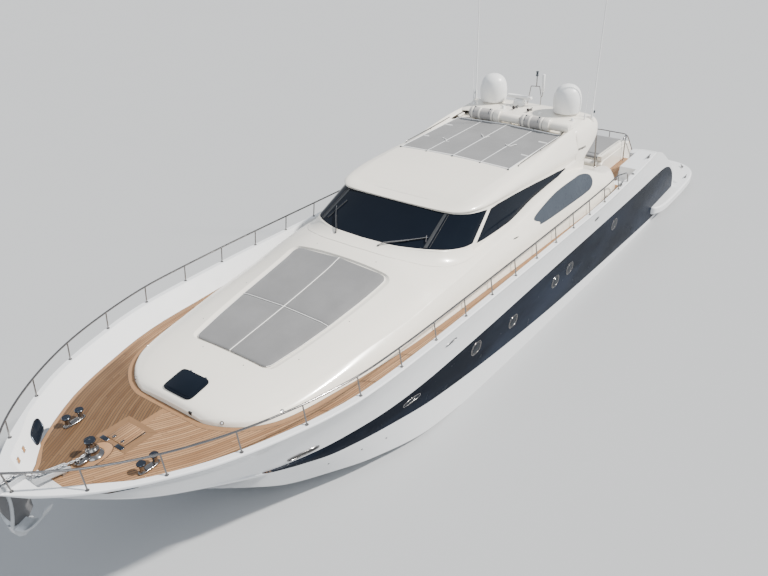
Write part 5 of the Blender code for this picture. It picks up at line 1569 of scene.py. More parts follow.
def make_stern():
    """Swim platform, garage moulding and garage door."""
    white, cream = finish("white_gelcoat"), finish("cream_gelcoat")
    half = smooth_line([(-14.22, 0.0), (-14.22, 1.0), (-14.22, 1.70), (-14.16, 2.25), (-13.98, 2.65),
            (-13.62, 2.98), (-13.15, 3.16), (-12.5, 3.25), (-11.4, 3.29), (-10.2, 3.29), (-9.55, 3.24),
            (-9.22, 3.12)], 4)[1:]
    half = [(max(x, -14.22), min(y, 3.29)) for x, y in half]
    inner = [(x, max(hull_at(x)[3], hull_at(x)[3] + (hull_at(x)[5] - hull_at(x)[3]) * 0.35) - 0.05)
             for x in (-9.12, -9.5, -10.2, -10.9, -11.62)]
    port = half + [(-9.13, 3.04)] + inner + [(-11.62, 1.45)]
    outline = port + [(x, -y) for x, y in reversed(port)]
    platform = prism("swim_platform_moulding", outline, PLATFORM_BOTTOM, PLATFORM_TOP, white, bevel=0.085,
            segments=6)
    y = SLOT_Y - GAP
    fuse(platform, box("tongue", (-11.90, -y, PLATFORM_BOTTOM), (GARAGE_FOOT - GAP, y, PLATFORM_TOP),
            white))
    weighted(platform)
    settle(platform, "white", "swim_platform")
    low, front = PLATFORM_BOTTOM, GARAGE_FRONT - GAP
    side = [(front, low), (front, 2.36), (-8.0, GARAGE_TOP), (-10.35, GARAGE_TOP),
            (garage_face(2.36), 2.36), (GARAGE_FOOT, PLATFORM_TOP), (GARAGE_FOOT, low)]
    body = side_prism("garage_shell", side, -y, y, cream, bevel=0.04, segments=5)
    hollow = [(-8.1, 0.62), (-8.1, 2.28), (-10.50, 2.28), (-11.6, 2.28), (-11.6, 0.62)]
    cut(body, side_prism("garage_hollow", hollow, -1.15, 1.15, cream))
    x, z = garage_face(GARAGE_HINGE_Z), GARAGE_HINGE_Z
    for y0, y1 in ((-1.34, -1.28), (1.28, 1.34)):
        fuse(body, box("bracket", (x - 0.06, y0, z - 0.04), (x + 0.05, y1, z + 0.04), cream, 0.008))
    weighted(body)
    settle(body, "cream", "garage_moulding")
    z0, z1 = 0.66, GARAGE_HINGE_Z
    face = [(garage_face(z0) - 0.006, z0), (garage_face(z1) - 0.006, z1), (garage_face(z1) - 0.056, z1),
            (garage_face(z0) - 0.056, z0)]
    door = side_prism("garage_door_panel", face, -1.27, 1.27, white, bevel=0.014, segments=4)
    x, z = garage_face(z1) - 0.031, z1 - 0.015
    fuse(door, rod("pin", [(x, -1.2794, z), (x, 1.2794, z)], 0.012, white, 16))
    weighted(door)
    settle(door, "white", "garage_door", body="garage_door_body")


GARAGE_HINGE_Z = 2.24


def garage_face(z):
    """x of the garage's slanting aft face at height z."""
    return GARAGE_FOOT + (z - PLATFORM_TOP) * 0.339


# Rails

RAIL_TOP = 0.43
RAIL_LEAN = 0.06


def rail_tops():
    """Feet and heads of the bulwark stanchions, port side."""
    feet, tops = [], []
    for i, x in enumerate(RAIL_FEET):
        y, z = cap(x)
        feet.append((x, y - 0.07 if i else 0.18, z + 0.0022))
        tops.append((x + (0.06 if i == 0 else 0.0), feet[-1][1] - (0.02 if i == 0 else RAIL_LEAN), z
                + RAIL_TOP))
    return feet, tops


def make_rails():
    """Bulwark handrail on leaning stanchions."""
    steel = finish("polished")
    feet, tops = rail_tops()
    line = smooth_line([(13.53, 0.0, feet[0][2] + RAIL_TOP)] + tops, 6)
    for x, h in ((-5.05, 0.41), (-5.28, 0.35), (-5.42, 0.25), (-5.48, 0.13), (-5.49, 0.05),
            (-5.49, 0.002)):
        y, z = cap(x)
        line.append((x, y - 0.05, z + h))
    line = line[:-6] + smooth_line(line[-6:], 4)
    run = mirrored(line[:0:-1]) + line
    parts = [rod("rail", run, sizes().rail, steel, 16)]
    for side in (-1, 1):
        for f, t in zip(feet, tops):
            foot, top = Vector((f[0], side * f[1], f[2])), Vector((t[0], side * t[1], t[2]))
            parts.append(rod("post", [foot + Vector((0, 0, 0.004)), top], sizes().post, steel, 14))
            parts.append(lathe("rose", ((0, 0), (0.036, 0), (0.036, 0.006), (0.030, 0.011),
                    (0.020, 0.014), (0.019, 0.030), (0, 0.030)), steel, 24, foot))
    settle(join("bulwark_rail", parts), "steel", "handrail")


# Anchor

def make_anchor():
    """Anchor hauled up to the stem roller: plate shank with its web painted in shade, weighted crown and scooped
    fluke.
    """
    zinc = finish("cast_zinc")
    web = side_prism("anchor_web", [(13.30, 3.464), (13.70, 3.464), (13.66, 3.20), (13.58, 2.90),
            (13.50, 2.66), (13.40, 2.60), (13.24, 2.66), (13.12, 2.80), (13.12, 3.0), (13.22, 3.2)],
            -0.02, 0.02, finish("cast_dark"), 0.008)
    edge = rod("shank_edge", smooth_line([(13.46, 0.035, 3.45), (13.45, 0.035, 3.15),
            (13.50, 0.035, 2.85), (13.56, 0.03, 2.66)], 5), 0.034, zinc, 16, flat=0.6)
    curl = smooth_line([(13.40, -0.25, 3.20), (13.49, -0.27, 3.02), (13.55, -0.25, 2.84),
            (13.57, -0.14, 2.68), (13.54, 0.03, 2.60), (13.45, 0.18, 2.58), (13.34, 0.29, 2.66),
            (13.22, 0.37, 2.79), (13.14, 0.43, 2.95)], 4)
    rings, n = [], len(curl) - 1
    for i, p in enumerate(curl):
        t = i / n
        a, b = Vector(curl[max(i - 1, 0)]), Vector(curl[min(i + 1, n)])
        wide = 0.24 * (math.sin(math.pi * (0.10 + 0.80 * t)) ** 0.5) + 0.03
        back = Vector((-0.80, -0.25 + 0.4 * t, 0.30)).normalized()
        out = (b - a).cross(back).normalized() * 0.013
        c = Vector(p)
        rings.append([c + back * v * wide + out * k for v, k in ((0, 1), (0.04, 1.5), (0.5, 1), (1, 0.6),
                (1, -0.6), (0.5, -1), (0.04, -1.5), (0, -1))])
    fluke = loft("anchor_fluke", rings, zinc, 40)
    keel = side_prism("anchor_keel", [(13.60, 2.72), (13.58, 2.58), (13.50, 2.42), (13.40, 2.36),
            (13.26, 2.42), (13.16, 2.58), (13.30, 2.66), (13.48, 2.66)], -0.045, 0.045, zinc, 0.015)
    settle(join("anchor_and_fluke", [web, edge, fluke, keel]), "steel", "anchor")


# Roof arch: drums, light mast, domes and aerials

ROLLERS = ((-1.35, -0.50), (0.40, 1.15))
ROLLER_X, ROLLER_Z, ROLLER_R = -3.52, 4.985, 0.175
MAST_Z = 4.985


def make_rollers():
    """Cream tubes across the roof, each with a clear-covered drum made grey as the painted shadow of the domes."""
    cream, cover = finish("cream_gelcoat"), finish("clear_cover")
    axis = (0, 1, 0)
    parts = []
    for (y0, y1), end in zip(ROLLERS, (0.36, 1.95)):
        r, length = ROLLER_R, y1 - y0
        parts.append(lathe("drum", ((0, 0), (r - 0.01, 0), (r, 0.01), (r, length - 0.01),
                (r - 0.01, length), (0, length)), cover, 48, (ROLLER_X, y0, ROLLER_Z), axis))
        for y in (y0 + 0.10, y0 + 0.42 * length, y1 - 0.06):
            parts.append(lathe("hoop", ((0, 0), (r + 0.006, 0), (r + 0.010, 0.01), (r + 0.010, 0.05),
                    (r + 0.006, 0.06), (0, 0.06)), cream, 48, (ROLLER_X, y - 0.03, ROLLER_Z), axis))
        parts.append(lathe("collar", ((0, 0), (r + 0.006, 0), (r + 0.014, 0.012), (r + 0.014, 0.188),
                (r + 0.002, 0.20), (0, 0.20)), cream, 48, (ROLLER_X, y1, ROLLER_Z), axis))
        parts.append(lathe("tube", ((0, 0), (r - 0.04, 0), (r - 0.04, end - y1 - 0.24),
                (r - 0.06, end - y1 - 0.20), (0, end - y1 - 0.20)), cream, 48,
                (ROLLER_X, y1 + 0.20, ROLLER_Z), axis))
    settle(join("roof_rollers", parts), "cream")


def make_mast():
    """Small pipe frame with a pole light, a white tube aerial, a satellite button and corner brackets."""
    steel, white = finish("polished"), finish("white_plastic")
    z0 = MAST_Z
    foot_a, foot_b = (-5.04, -0.20, z0), (-5.10, 0.22, z0)
    top_a, top_b = (-4.98, -0.07, 5.61), (-5.00, 0.21, 5.63)
    parts = [rod("leg", [foot_a, top_a], 0.013, steel), rod("leg", [foot_b, (-5.05, 0.26, 5.30), top_b],
            0.013, steel), rod("bar", [top_a, top_b], 0.013, steel), rod("pole", [(-4.99, 0.11, 5.61),
            (-4.97, 0.12, 6.10)], 0.016, steel)]
    for y in (-0.20, 0.22):
        parts.append(lathe("rose", ((0, 0), (0.045, 0), (0.045, 0.010), (0.02, 0.020), (0, 0.020)), steel,
                24, (-5.04 if y < 0 else -5.10, y, z0 - 0.005)))
    parts.append(lathe("mast_light", ((0, 0), (0.045, 0), (0.045, 0.03), (0.035, 0.04), (0.035, 0.11),
            (0.045, 0.12), (0.045, 0.14), (0, 0.15)), finish("dark_cap"), 24, (-4.98, 0.115, 5.95)))
    parts.append(rod("tube_aerial", [(-5.0, 0.33, 5.47), (-5.0, 0.33, 5.50), (-5.0, 0.33, 6.01),
            (-5.0, 0.33, 6.02)], 0.045, white, 24, radii=(0.030, 0.045, 0.045, 0.035)))
    parts.append(rod("tube_stem", [(-5.04, 0.25, 5.28), (-5.01, 0.32, 5.34), (-5.0, 0.33, 5.50)], 0.012,
            steel))
    settle(join("light_mast", parts), "steel")
    button = lathe("satellite_button", ((0, 0), (0.03, 0), (0.028, 0.07), (0.05, 0.085), (0.085, 0.11),
            (0.085, 0.14), (0.06, 0.165), (0, 0.175)), white, 32, (-5.02, -0.46, z0))
    settle(button, "white")
    for s, word in SIDES:
        arm = rod("corner_light_" + word, [(-4.93, s * 1.80, 4.955), (-4.95, s * 1.93, 4.965),
                (-4.98, s * 2.055, 4.975), (-4.98, s * 2.07, 5.10)], 0.013, white, 14)
        lamp = lathe("lamp", ((0, 0), (0.028, 0), (0.028, 0.05), (0.02, 0.07), (0, 0.075)),
                finish("dark_cap"), 24, (-4.98, s * 2.07, 5.09))
        settle(join("corner_light_" + word, [arm, lamp]), "white")


def make_masthead():
    """Domes, radar and aerials."""
    white = finish("white_plastic")
    profile = smooth_line([(0.30, GAP), (0.36, 0.025), (0.405, 0.065), (0.425, 0.265), (0.42, 0.445),
            (0.39, 0.585), (0.33, 0.715), (0.22, 0.815), (0.10, 0.86)], 4)
    for s, word in SIDES:
        dome = lathe("dome_shell_" + word, [(0, GAP)] + profile + [(0, 0.866)], white, 64,
                (DOME_X, s * DOME_Y, DOME_Z))
        settle(dome, "white", "dome_" + word)
        base = Vector((WHIP_FOOT[0], s * WHIP_FOOT[1], WHIP_FOOT[2] + GAP))
        lean = Vector((-0.035, s * 0.012, 1.0)).normalized()
        pts = [base, base + Vector((0, 0, 0.02))] + [base + lean * v
                for v in (0.30, 0.32, 3.9, 3.92, 4.05, 4.07, 7.19)]
        whip = rod("whip_" + word, pts, 0.02, white, 16, radii=(0.035, 0.035, 0.03, 0.019, 0.016, 0.022,
                0.022, 0.013, 0.007))
        settle(whip, "white", "whip_antenna_" + word)
        base = Vector((SHORT_FOOT[0], s * SHORT_FOOT[1], SHORT_FOOT[2] + GAP))
        lean = Vector((0.0, s * 0.05, 1.0)).normalized()
        pts = [base, base + Vector((0, 0, 0.02))] + [base + lean * v for v in (0.16, 0.17, 1.15)]
        settle(rod("short_" + word, pts, 0.01, white, 14, radii=(0.022, 0.022, 0.02, 0.010, 0.006)),
               "white", "short_antenna_" + word)
    pedestal = lathe("radar_foot", ((0, GAP), (0.19, GAP), (0.20, 0.012), (0.20, 0.04), (0.19, 0.09),
            (0.17, 0.16), (0.14, 0.19), (0.12, 0.20), (0, 0.20)), white, 48, RADAR)
    settle(pedestal, "white", "radar_pedestal")
    x, y, z = RADAR[0], RADAR[1], RADAR[2] + 0.206
    bar = box("radar_bar", (x - 0.08, y - 0.42, z), (x + 0.08, y + 0.42, z + 0.10), white, 0.035, 6)
    fuse(bar, lathe("hub", ((0, -0.0054), (0.05, -0.0054), (0.05, 0.03), (0, 0.03)), white, 32, (x, y, z)))
    settle(weighted(bar), "white", "radar_scanner", body="radar_scanner_body")


# Stage

FLOOR_REACH = 300
SKY_COLOUR, SKY_STRENGTH = (0.80, 0.86, 0.95, 1.0), 0.75
# Suns: name, direction towards it, strength, angle across in degrees, colour
SUNS = (("key", (-0.42, 0.66, 0.80), 8.0, 3.0, (1.0, 0.965, 0.91)),
        ("fill", (0.8, 0.5, 0.9), 0.9, 40.0, (0.9, 0.95, 1.0)))


def make_stage():
    """Floor, sky, two suns and the camera of the photograph."""
    floor = new_object("floor", [(x * FLOOR_REACH, y * FLOOR_REACH, 0) for x, y in ((-1, -1), (1, -1),
            (1, 1), (-1, 1))], [(0, 1, 2, 3)], finish("studio_floor"), 0)
    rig.stage(floor)
    world = bpy.data.worlds.new("studio")
    bpy.context.scene.world = world
    world.use_nodes = True
    back = world.node_tree.nodes["Background"]
    back.inputs["Color"].default_value = SKY_COLOUR
    back.inputs["Strength"].default_value = SKY_STRENGTH
    for name, toward, power, angle, colour in SUNS:
        lamp = bpy.data.lights.new(name, "SUN")
        lamp.energy, lamp.angle, lamp.color = power, math.radians(angle), colour
        ob = bpy.data.objects.new(name, lamp)
        ob.rotation_euler = Vector(toward).to_track_quat("Z", "Y").to_euler()
        bpy.context.scene.collection.objects.link(ob)
    camera = bpy.data.cameras.new("camera")
    camera.lens, camera.sensor_width, camera.clip_end = CAMERA_LENS, CAMERA_SENSOR, 2000.0
    ob = bpy.data.objects.new("camera", camera)
    m = Matrix((CAMERA_RIGHT, CAMERA_UP, CAMERA_BACK)).transposed().to_4x4()
    m.translation = CAMERA_PLACE
    ob.matrix_world = m
    bpy.context.scene.collection.objects.link(ob)
    bpy.context.scene.camera = ob


# Topsides

def side_at(x, z):
    """Half-breadth of the hull's skin at a height."""
    section = hull_section(x)
    zs = [p[1] for p in section[1:]]
    ys = [p[0] for p in section[1:]]
    return between(z, zs, ys)


def on_side(x, z, side, out=0.0):
    """Point on the topsides with the skin's outward normal, `out` metres off it."""
    e = 0.03
    p = Vector((x, side_at(x, z), z))
    along = Vector((2 * e, side_at(x + e, z) - side_at(x - e, z), 0))
    up = Vector((0, side_at(x, z + e) - side_at(x, z - e), 2 * e))
    n = up.cross(along).normalized()
    if n.y < 0:
        n = -n
    p += n * out
    return Vector((p.x, side * p.y, p.z)), Vector((n.x, side * n.y, n.z))


def side_plate(name, outline, side, inner, outer, material, dome=0.0):
    """Closed plate over an outline in side view, following the topsides."""
    cx, cz = (sum(p[k] for p in outline) / len(outline) for k in (0, 1))
    rings = []
    shares = (0.03, 0.35, 0.7, 0.93, 1.0)
    for f in shares:
        rise = outer + dome * (1 - f * f) - (0.35 * (outer - inner) if f == 1.0 else 0.0)
        rings.append([on_side(cx + (x - cx) * f, cz + (z - cz) * f, side, rise)[0] for x, z in outline])
    for f in shares[::-1]:
        rings.append([on_side(cx + (x - cx) * f, cz + (z - cz) * f, side, inner)[0] for x, z in outline])
    return loft(name, rings, material, smooth=40)


def oval(cx, cz, rx, rz, power=2.0, count=40, slope=0.0):
    """Outline of a rounded opening, with its long axis rising by slope."""
    pts = []
    for a in turns(count):
        c, s = math.cos(a), math.sin(a)
        x = math.copysign(abs(c) ** (2 / power), c) * rx
        z = math.copysign(abs(s) ** (2 / power), s) * rz
        pts.append((cx + x, cz + z + slope * x))
    return pts


def side_ring(name, outline, side, radius, material, out=0.004, flat=1.0):
    """Bar round an opening in the topsides."""
    return rod(name, [on_side(x, z, side, out)[0] for x, z in outline], radius, material, 10, loop=True,
            flat=flat)


def make_band():
    """Dark band inlaid along each side, rounded at its aft end and fading to a point forward."""
    edges = Curve(BAND_EDGES)
    xs = [-11.50, -11.49, -11.47, -11.44, -11.40, -11.35, -11.28, -11.2, -11.1] + stations(-11.0, 9.70,
            0.14) + [9.74, 9.757]
    rows = 8
    for side, word in SIDES:
        rings = []
        for x in xs:
            a, b = (float(z) for z in edges(x))
            zs = [a + (b - a) * k / rows for k in range(rows + 1)]
            front = [on_side(x, z, side, 0.0016)[0] for z in zs]
            back = [on_side(x, z, side, -0.004)[0] for z in reversed(zs)]
            rings.append(front + back)
        settle(loft("hull_band_" + word, rings, finish("band_gloss"), smooth=40), "slate")


PORTHOLES = ((3.46, 1.66), (1.58, 1.44), (-0.88, 1.47), (-1.83, 1.47), (-5.17, 1.55))


# Other openings: name, x, z, half sizes of opening and lip, corner power, slope, inner and outer face of
# the fill, its finish, radius of the lip, its finish, and how far it stands out
# Painted shade: the black fills of the two fairleads and the vent stand in for the shade inside those openings.
SIDE_OPENINGS = (
    ("bow_fairlead", 8.97, 2.065, (0.33, 0.060), (0.335, 0.064), 3.0, 0.045, -0.02, 0.004,
     "black_rubber", 0.014, "polished", 0.004),
    ("mid_fairlead", 4.895, 2.70, (0.22, 0.040), (0.226, 0.045), 2.2, 0.02, -0.02, 0.004,
     "black_rubber", 0.008, "brushed", 0.003),
    ("window", 6.0, 1.66, (0.27, 0.060), (0.275, 0.064), 3.0, -0.03, -0.004, 0.004,
     "dark_glass", 0.010, "polished", 0.005),
    ("vent", -3.235, 2.52, (0.165, 0.062), None, 2.2, 0.05, -0.02, 0.003, "black_rubber", 0, None, 0),
)


def make_openings():
    """Portholes, fairleads and vents in the topsides."""
    steel, glass = finish("polished"), finish("dark_glass")
    for side, word in SIDES:
        parts = []
        for x, z in PORTHOLES:
            shape = oval(x, z, 0.215, 0.175, 2.4)
            parts.append(side_plate("pane", oval(x, z, 0.185, 0.145, 2.4), side, -0.004, 0.004, glass,
                    0.006))
            parts.append(side_ring("rim", shape, side, 0.011, steel, 0.003))
            parts.append(side_ring("inner_rim", oval(x, z, 0.178, 0.138, 2.4), side, 0.007, steel, 0.007))
            for a in (0.5, 2.6, 3.9, 5.5):
                spot, n = on_side(x + 0.2 * math.cos(a), z + 0.16 * math.sin(a), side, 0.012)
                parts.append(lathe("dog", ((0, 0), (0.014, 0), (0.014, 0.006), (0.008, 0.010),
                        (0, 0.010)), steel, 12, spot, n))
        settle(join("portholes_" + word, parts), "steel")
        parts = []
        for name, x, z, size, lip, power, slope, inner, outer, fill, radius, metal_name, out in SIDE_OPENINGS:
            shape = oval(x, z, *size, power, slope=slope)
            # The fill is a plate; for the fairleads and the vent its black is painted shade.
            parts.append(side_plate(name, shape, side, inner, outer, finish(fill)))
            if lip:
                shape = oval(x, z, *lip, power, slope=slope)
                parts.append(side_ring("lip", shape, side, radius, finish(metal_name), out))
        for k in range(4):
            x = -3.34 + k * 0.07
            a, b = on_side(x, 2.475, side, 0.004)[0], on_side(x + 0.02, 2.565, side, 0.004)[0]
            parts.append(rod("louvre", [a, b], 0.006, finish("brushed"), 8))
        for x, z in ((8.15, 1.10), (7.30, 0.98), (6.6, 0.86)):
            spot, n = on_side(x, z, side, 0.0)
            parts.append(lathe("drain", ((0, -0.004), (0.022, -0.004), (0.022, 0.005), (0.016, 0.008),
                    (0, 0.008)), finish("dark_cap"), 16, spot, n))
        settle(join("topside_fittings_" + word, parts), "steel")


def inner_face(x, z, side):
    """Point on the bulwark's inner face."""
    foot, top = bulwark(x)
    t = (z - deck_z(x)) / DECK_DROP
    return Vector((x, side * (foot + (top - foot) * t), z))


def make_bulwark_fittings():
    """Hawse openings, drawn as dark plates painted as the shade inside them, and drains in the bulwark's inner face.
    """
    dark = finish("dark_glass")
    parts = []
    for side in (1, -1):
        def patch(outline, depth, material, name):
            pts = [inner_face(x, z, side) for x, z in outline]
            c = sum(pts, Vector()) / len(pts)
            n = (pts[1] - pts[0]).cross(c - pts[0]).normalized()
            if n.y * side > 0:
                n = -n
            rings = [[c + (p - c) * f + n * (depth if f > 0 else 0) for p in pts]
                    for f in (0.04, 0.6, 1.0)]
            rings += [[c + (p - c) * f - n * 0.004 for p in pts] for f in (1.0, 0.6, 0.04)]
            return loft(name, rings, material, 40), pts, n
        # Painted shade: the hawse is a dark plate, not a hole; its darkness stands in for the shade inside the
        # opening.
        x, z = 12.16, deck_z(12.16) + 0.16
        shape = oval(x, z, 0.185, 0.10, 4.0, 48)
        plate, pts, n = patch(shape, 0.003, dark, "hawse")
        parts += [plate, rod("hawse_rim", [p + n * 0.004 for p in pts], 0.018, finish("steel_blue"), 10,
                loop=True)]
        for x in (12.64, 12.86):
            z = deck_z(x) + 0.27
            plate, pts, n = patch(oval(x, z, 0.036, 0.036, 6.0, 24), 0.003, finish("board_teak"), "drain")
            parts += [plate, rod("drain_rim", [p + n * 0.002 for p in pts], 0.004, finish("brushed"), 8,
                    loop=True)]
    settle(join("bulwark_openings", parts), "steel")


# Foredeck fittings

def make_bollards():
    """Pair of twin-post bollards with dark caps."""
    steel, dark = finish("polished"), finish("steel_blue")
    for side, word in SIDES:
        x0, y0, z0 = BOLLARD_X, side * BOLLARD_Y, deck_z(11.73) + 0.0163
        outline = [(x0 + px, y0 + py) for px, py in oval(0, 0, 0.23, 0.070, 3.2, 48)]
        parts = [prism("base", outline, z0, z0 + 0.034, steel, 0.012, 3)]
        for dx in (-0.14, 0.14):
            place = (x0 + dx, y0, z0)
            parts.append(lathe("post", ((0, 0.01), (0.064, 0.01), (0.062, 0.034), (0.050, 0.050),
                    (0.046, 0.075), (0.046, 0.165), (0.056, 0.182), (0.076, 0.190), (0, 0.190)), steel,
                    40, place))
            parts.append(lathe("cap", ((0, 0.186), (0.078, 0.186), (0.085, 0.193), (0.085, 0.211),
                    (0.078, 0.219), (0.03, 0.2195), (0, 0.2195)), dark, 40, place))
        settle(join("bollard_pair_" + word, parts), "steel", "bollard_" + word)


def make_windlass():
    """Windlass on its teak pad, and the ribbed capstan drum that turns."""
    steel, dark = finish("polished"), finish("steel_blue")
    z = deck_z(12.05) + 0.0170
    x = CAPSTAN_X
    pad = oval(11.90, 0.0, 0.40, 0.26, 2.3, 64)
    board = prism("windlass_pad", pad, deck_z(11.86) + 0.0165, z + 0.006, finish("board_teak"), 0.004, 2)
    line = flat_ring("pad_seam", pad, z + 0.004, 0.006, finish("black_rubber"))
    settle(join("windlass_board", [board, line]), "teak")
    parts = [lathe("base", ((0, 0.0), (0.19, 0.0), (0.19, 0.018), (0.18, 0.032), (0.15, 0.052),
            (0.122, 0.072), (0.12, 0.12), (0, 0.12)), steel, 64, (x, 0, z))]
    gear = oval(12.10, 0.02, 0.14, 0.085, 2.6, 40)
    parts.append(prism("gypsy_cover", gear, z, z + 0.075, steel, 0.022, 4))
    parts.append(rod("stopper", [(12.20, -0.05, z + 0.02), (12.20, -0.05, z + 0.10),
            (12.20, 0.06, z + 0.10), (12.20, 0.06, z + 0.02)], 0.014, steel, 12))
    settle(join("windlass_housing", parts), "steel", "windlass_base")
    z2 = z + 0.126
    drum = [lathe("drum", ((0, -0.0054), (0.05, -0.0054), (0.05, 0), (0.113, 0), (0.122, 0.008),
            (0.125, 0.022), (0.118, 0.036), (0.090, 0.054), (0.076, 0.075), (0.071, 0.105),
            (0.072, 0.140), (0.082, 0.170), (0.100, 0.194), (0, 0.194)), steel, 64, (x, 0, z2)),
            lathe("drum_top", ((0, 0.190), (0.100, 0.190), (0.1055, 0.200), (0.1045, 0.218),
            (0.098, 0.230), (0.05, 0.234), (0, 0.2345)), dark, 64, (x, 0, z2)), lathe("key", ((0, 0.2332),
            (0.018, 0.2332), (0.018, 0.2349), (0, 0.2349)), steel, 16, (x, 0, z2))]
    for k in range(8):
        a = math.pi * k / 4
        foot, head = (x + 0.113 * math.cos(a), 0.113 * math.sin(a), z2 + 0.030), (x + 0.078
                * math.cos(a), 0.078 * math.sin(a), z2 + 0.125)
        drum.append(rod("rib", [foot, (x + 0.083 * math.cos(a), 0.083 * math.sin(a), z2 + 0.066), head],
                0.006, steel, 8))
    settle(join("capstan", drum), "steel", "windlass_capstan", body="windlass_capstan_body")


CHAIN_LINE = ((12.05, -0.02, 0.10), (12.16, -0.01, 0.105), (12.30, 0.0, 0.135), (12.46, 0.0, 0.17),
        (12.70, 0.0, 0.225), (12.90, 0.0, 0.275), (13.03, 0.0, 0.35), (13.11, 0.0, 0.46),
        (13.20, 0.0, 0.525), (13.34, 0.0, 0.540), (13.50, 0.0, 0.540), (13.62, 0.0, 0.520))


def chain_link(centre, along, roll, size, wire):
    """One stud-free link lying along a direction."""
    a = along.normalized()
    side = a.orthogonal().normalized()
    side = Matrix.Rotation(roll, 4, a) @ side
    half, bend = size * 0.5 - size * 0.29, size * 0.29 - wire
    pts = []
    for k in range(16):
        t = 2 * math.pi * k / 16
        pts.append(centre + a * (math.copysign(half, math.cos(t)) * (abs(math.cos(t)) > 1e-6) + bend
                * math.cos(t)) + side * bend * math.sin(t))
    return rod("link", pts, wire, finish("galvanised"), 8, loop=True)


def make_chain():
    """Anchor chain from the windlass over the stem roller, and the plate that it runs on."""
    size, wire = sizes().link, sizes().link * 0.12
    line = smooth_line([(x, y, deck_z(min(x, 13.0)) + 0.016 + z) for x, y, z in CHAIN_LINE], 12)
    run = [Vector(p) for p in line]
    dist, points = 0.0, []
    want = 0.0
    for a, b in zip(run, run[1:]):
        seg = (b - a).length
        while want <= dist + seg:
            points.append((a.lerp(b, (want - dist) / seg), (b - a)))
            want += size * 0.62
        dist += seg
    links = [chain_link(p, d, (0.25 if k % 2 else 0.25 + math.pi / 2), size, wire)
            for k, (p, d) in enumerate(points)]
    settle(join("anchor_chain", links), "steel")
    grey = finish("nonskid")
    xs = stations(12.68, 13.10, 0.05)
    rings = []
    for x in xs:
        w = between(x, (12.68, 12.80, 13.10), (0.46, 0.43, 0.13))
        z = deck_z(x) + 0.0162
        rings.append([(x, y, z) for y in (-w, -0.09, 0.0, 0.09, w)] + [(x, y, z + h)
                for y, h in ((w, 0.004), (0.09, 0.004), (0.0, 0.002), (-0.09, 0.004), (-w, 0.004))])
    settle(loft("stem_plate", rings, grey, 30), "steel")
    z0 = deck_z(12.3) + 0.016
    lips = []
    for s in (-1, 1):
        lips.append(side_block("guide", [(12.34, z0 + 0.06), (12.36, z0 + 0.145), (12.70, z0 + 0.24),
                (12.92, z0 + 0.30), (13.02, z0 + 0.36), (13.05, z0 + 0.33), (13.0, z0 + 0.20),
                (12.70, z0 + 0.14), (12.45, z0 + 0.07)], s, 0.066, 0.082, finish("cast_zinc"), 0.006, 2))
    lips.append(side_prism("guide_floor", [(12.36, z0 + 0.085), (12.70, z0 + 0.165), (12.95, z0 + 0.225),
            (12.95, z0 + 0.21), (12.70, z0 + 0.15), (12.36, z0 + 0.07)], -0.07, 0.07,
            finish("cast_zinc")))
    lips.append(side_prism("guide_foot", [(12.42, z0 - 0.004), (12.52, z0 - 0.004), (12.50, z0 + 0.10),
            (12.44, z0 + 0.09)], -0.05, 0.05, finish("brushed")))
    settle(join("chain_guides", lips), "steel")
    steel = finish("cast_zinc")
    cheeks = []
    for s in (-1, 1):
        cheeks.append(side_block("cheek", smooth_line([(13.10, 3.467), (13.12, 3.52), (13.20, 3.556),
                (13.45, 3.559), (13.66, 3.557), (13.76, 3.53), (13.775, 3.49), (13.76, 3.467)], 4), s,
                0.072, 0.088, steel, 0.004, 2))
    cheeks.append(box("roller_bed", (13.10, -0.075, 3.4655), (13.74, 0.075, 3.480), steel, 0.004, 2))
    for x in (13.30, 13.69):
        cheeks.append(lathe("roller", ((0, -0.070), (0.034, -0.070), (0.034, -0.05), (0.022, -0.02),
                (0.022, 0.02), (0.034, 0.05), (0.034, 0.070), (0, 0.070)), finish("galvanised"), 32,
                (x, 0, 3.516), (0, 1, 0)))
        cheeks.append(lathe("pin", ((0, -0.0895), (0.014, -0.0895), (0.014, 0.0895), (0, 0.0895)), steel,
                16, (x, 0, 3.516), (0, 1, 0)))
    settle(join("stem_roller", cheeks), "steel", "bow_roller")


LOCKER = ((10.77, -0.43), (11.52, -0.43), (11.52, 0.43), (10.77, 0.43))


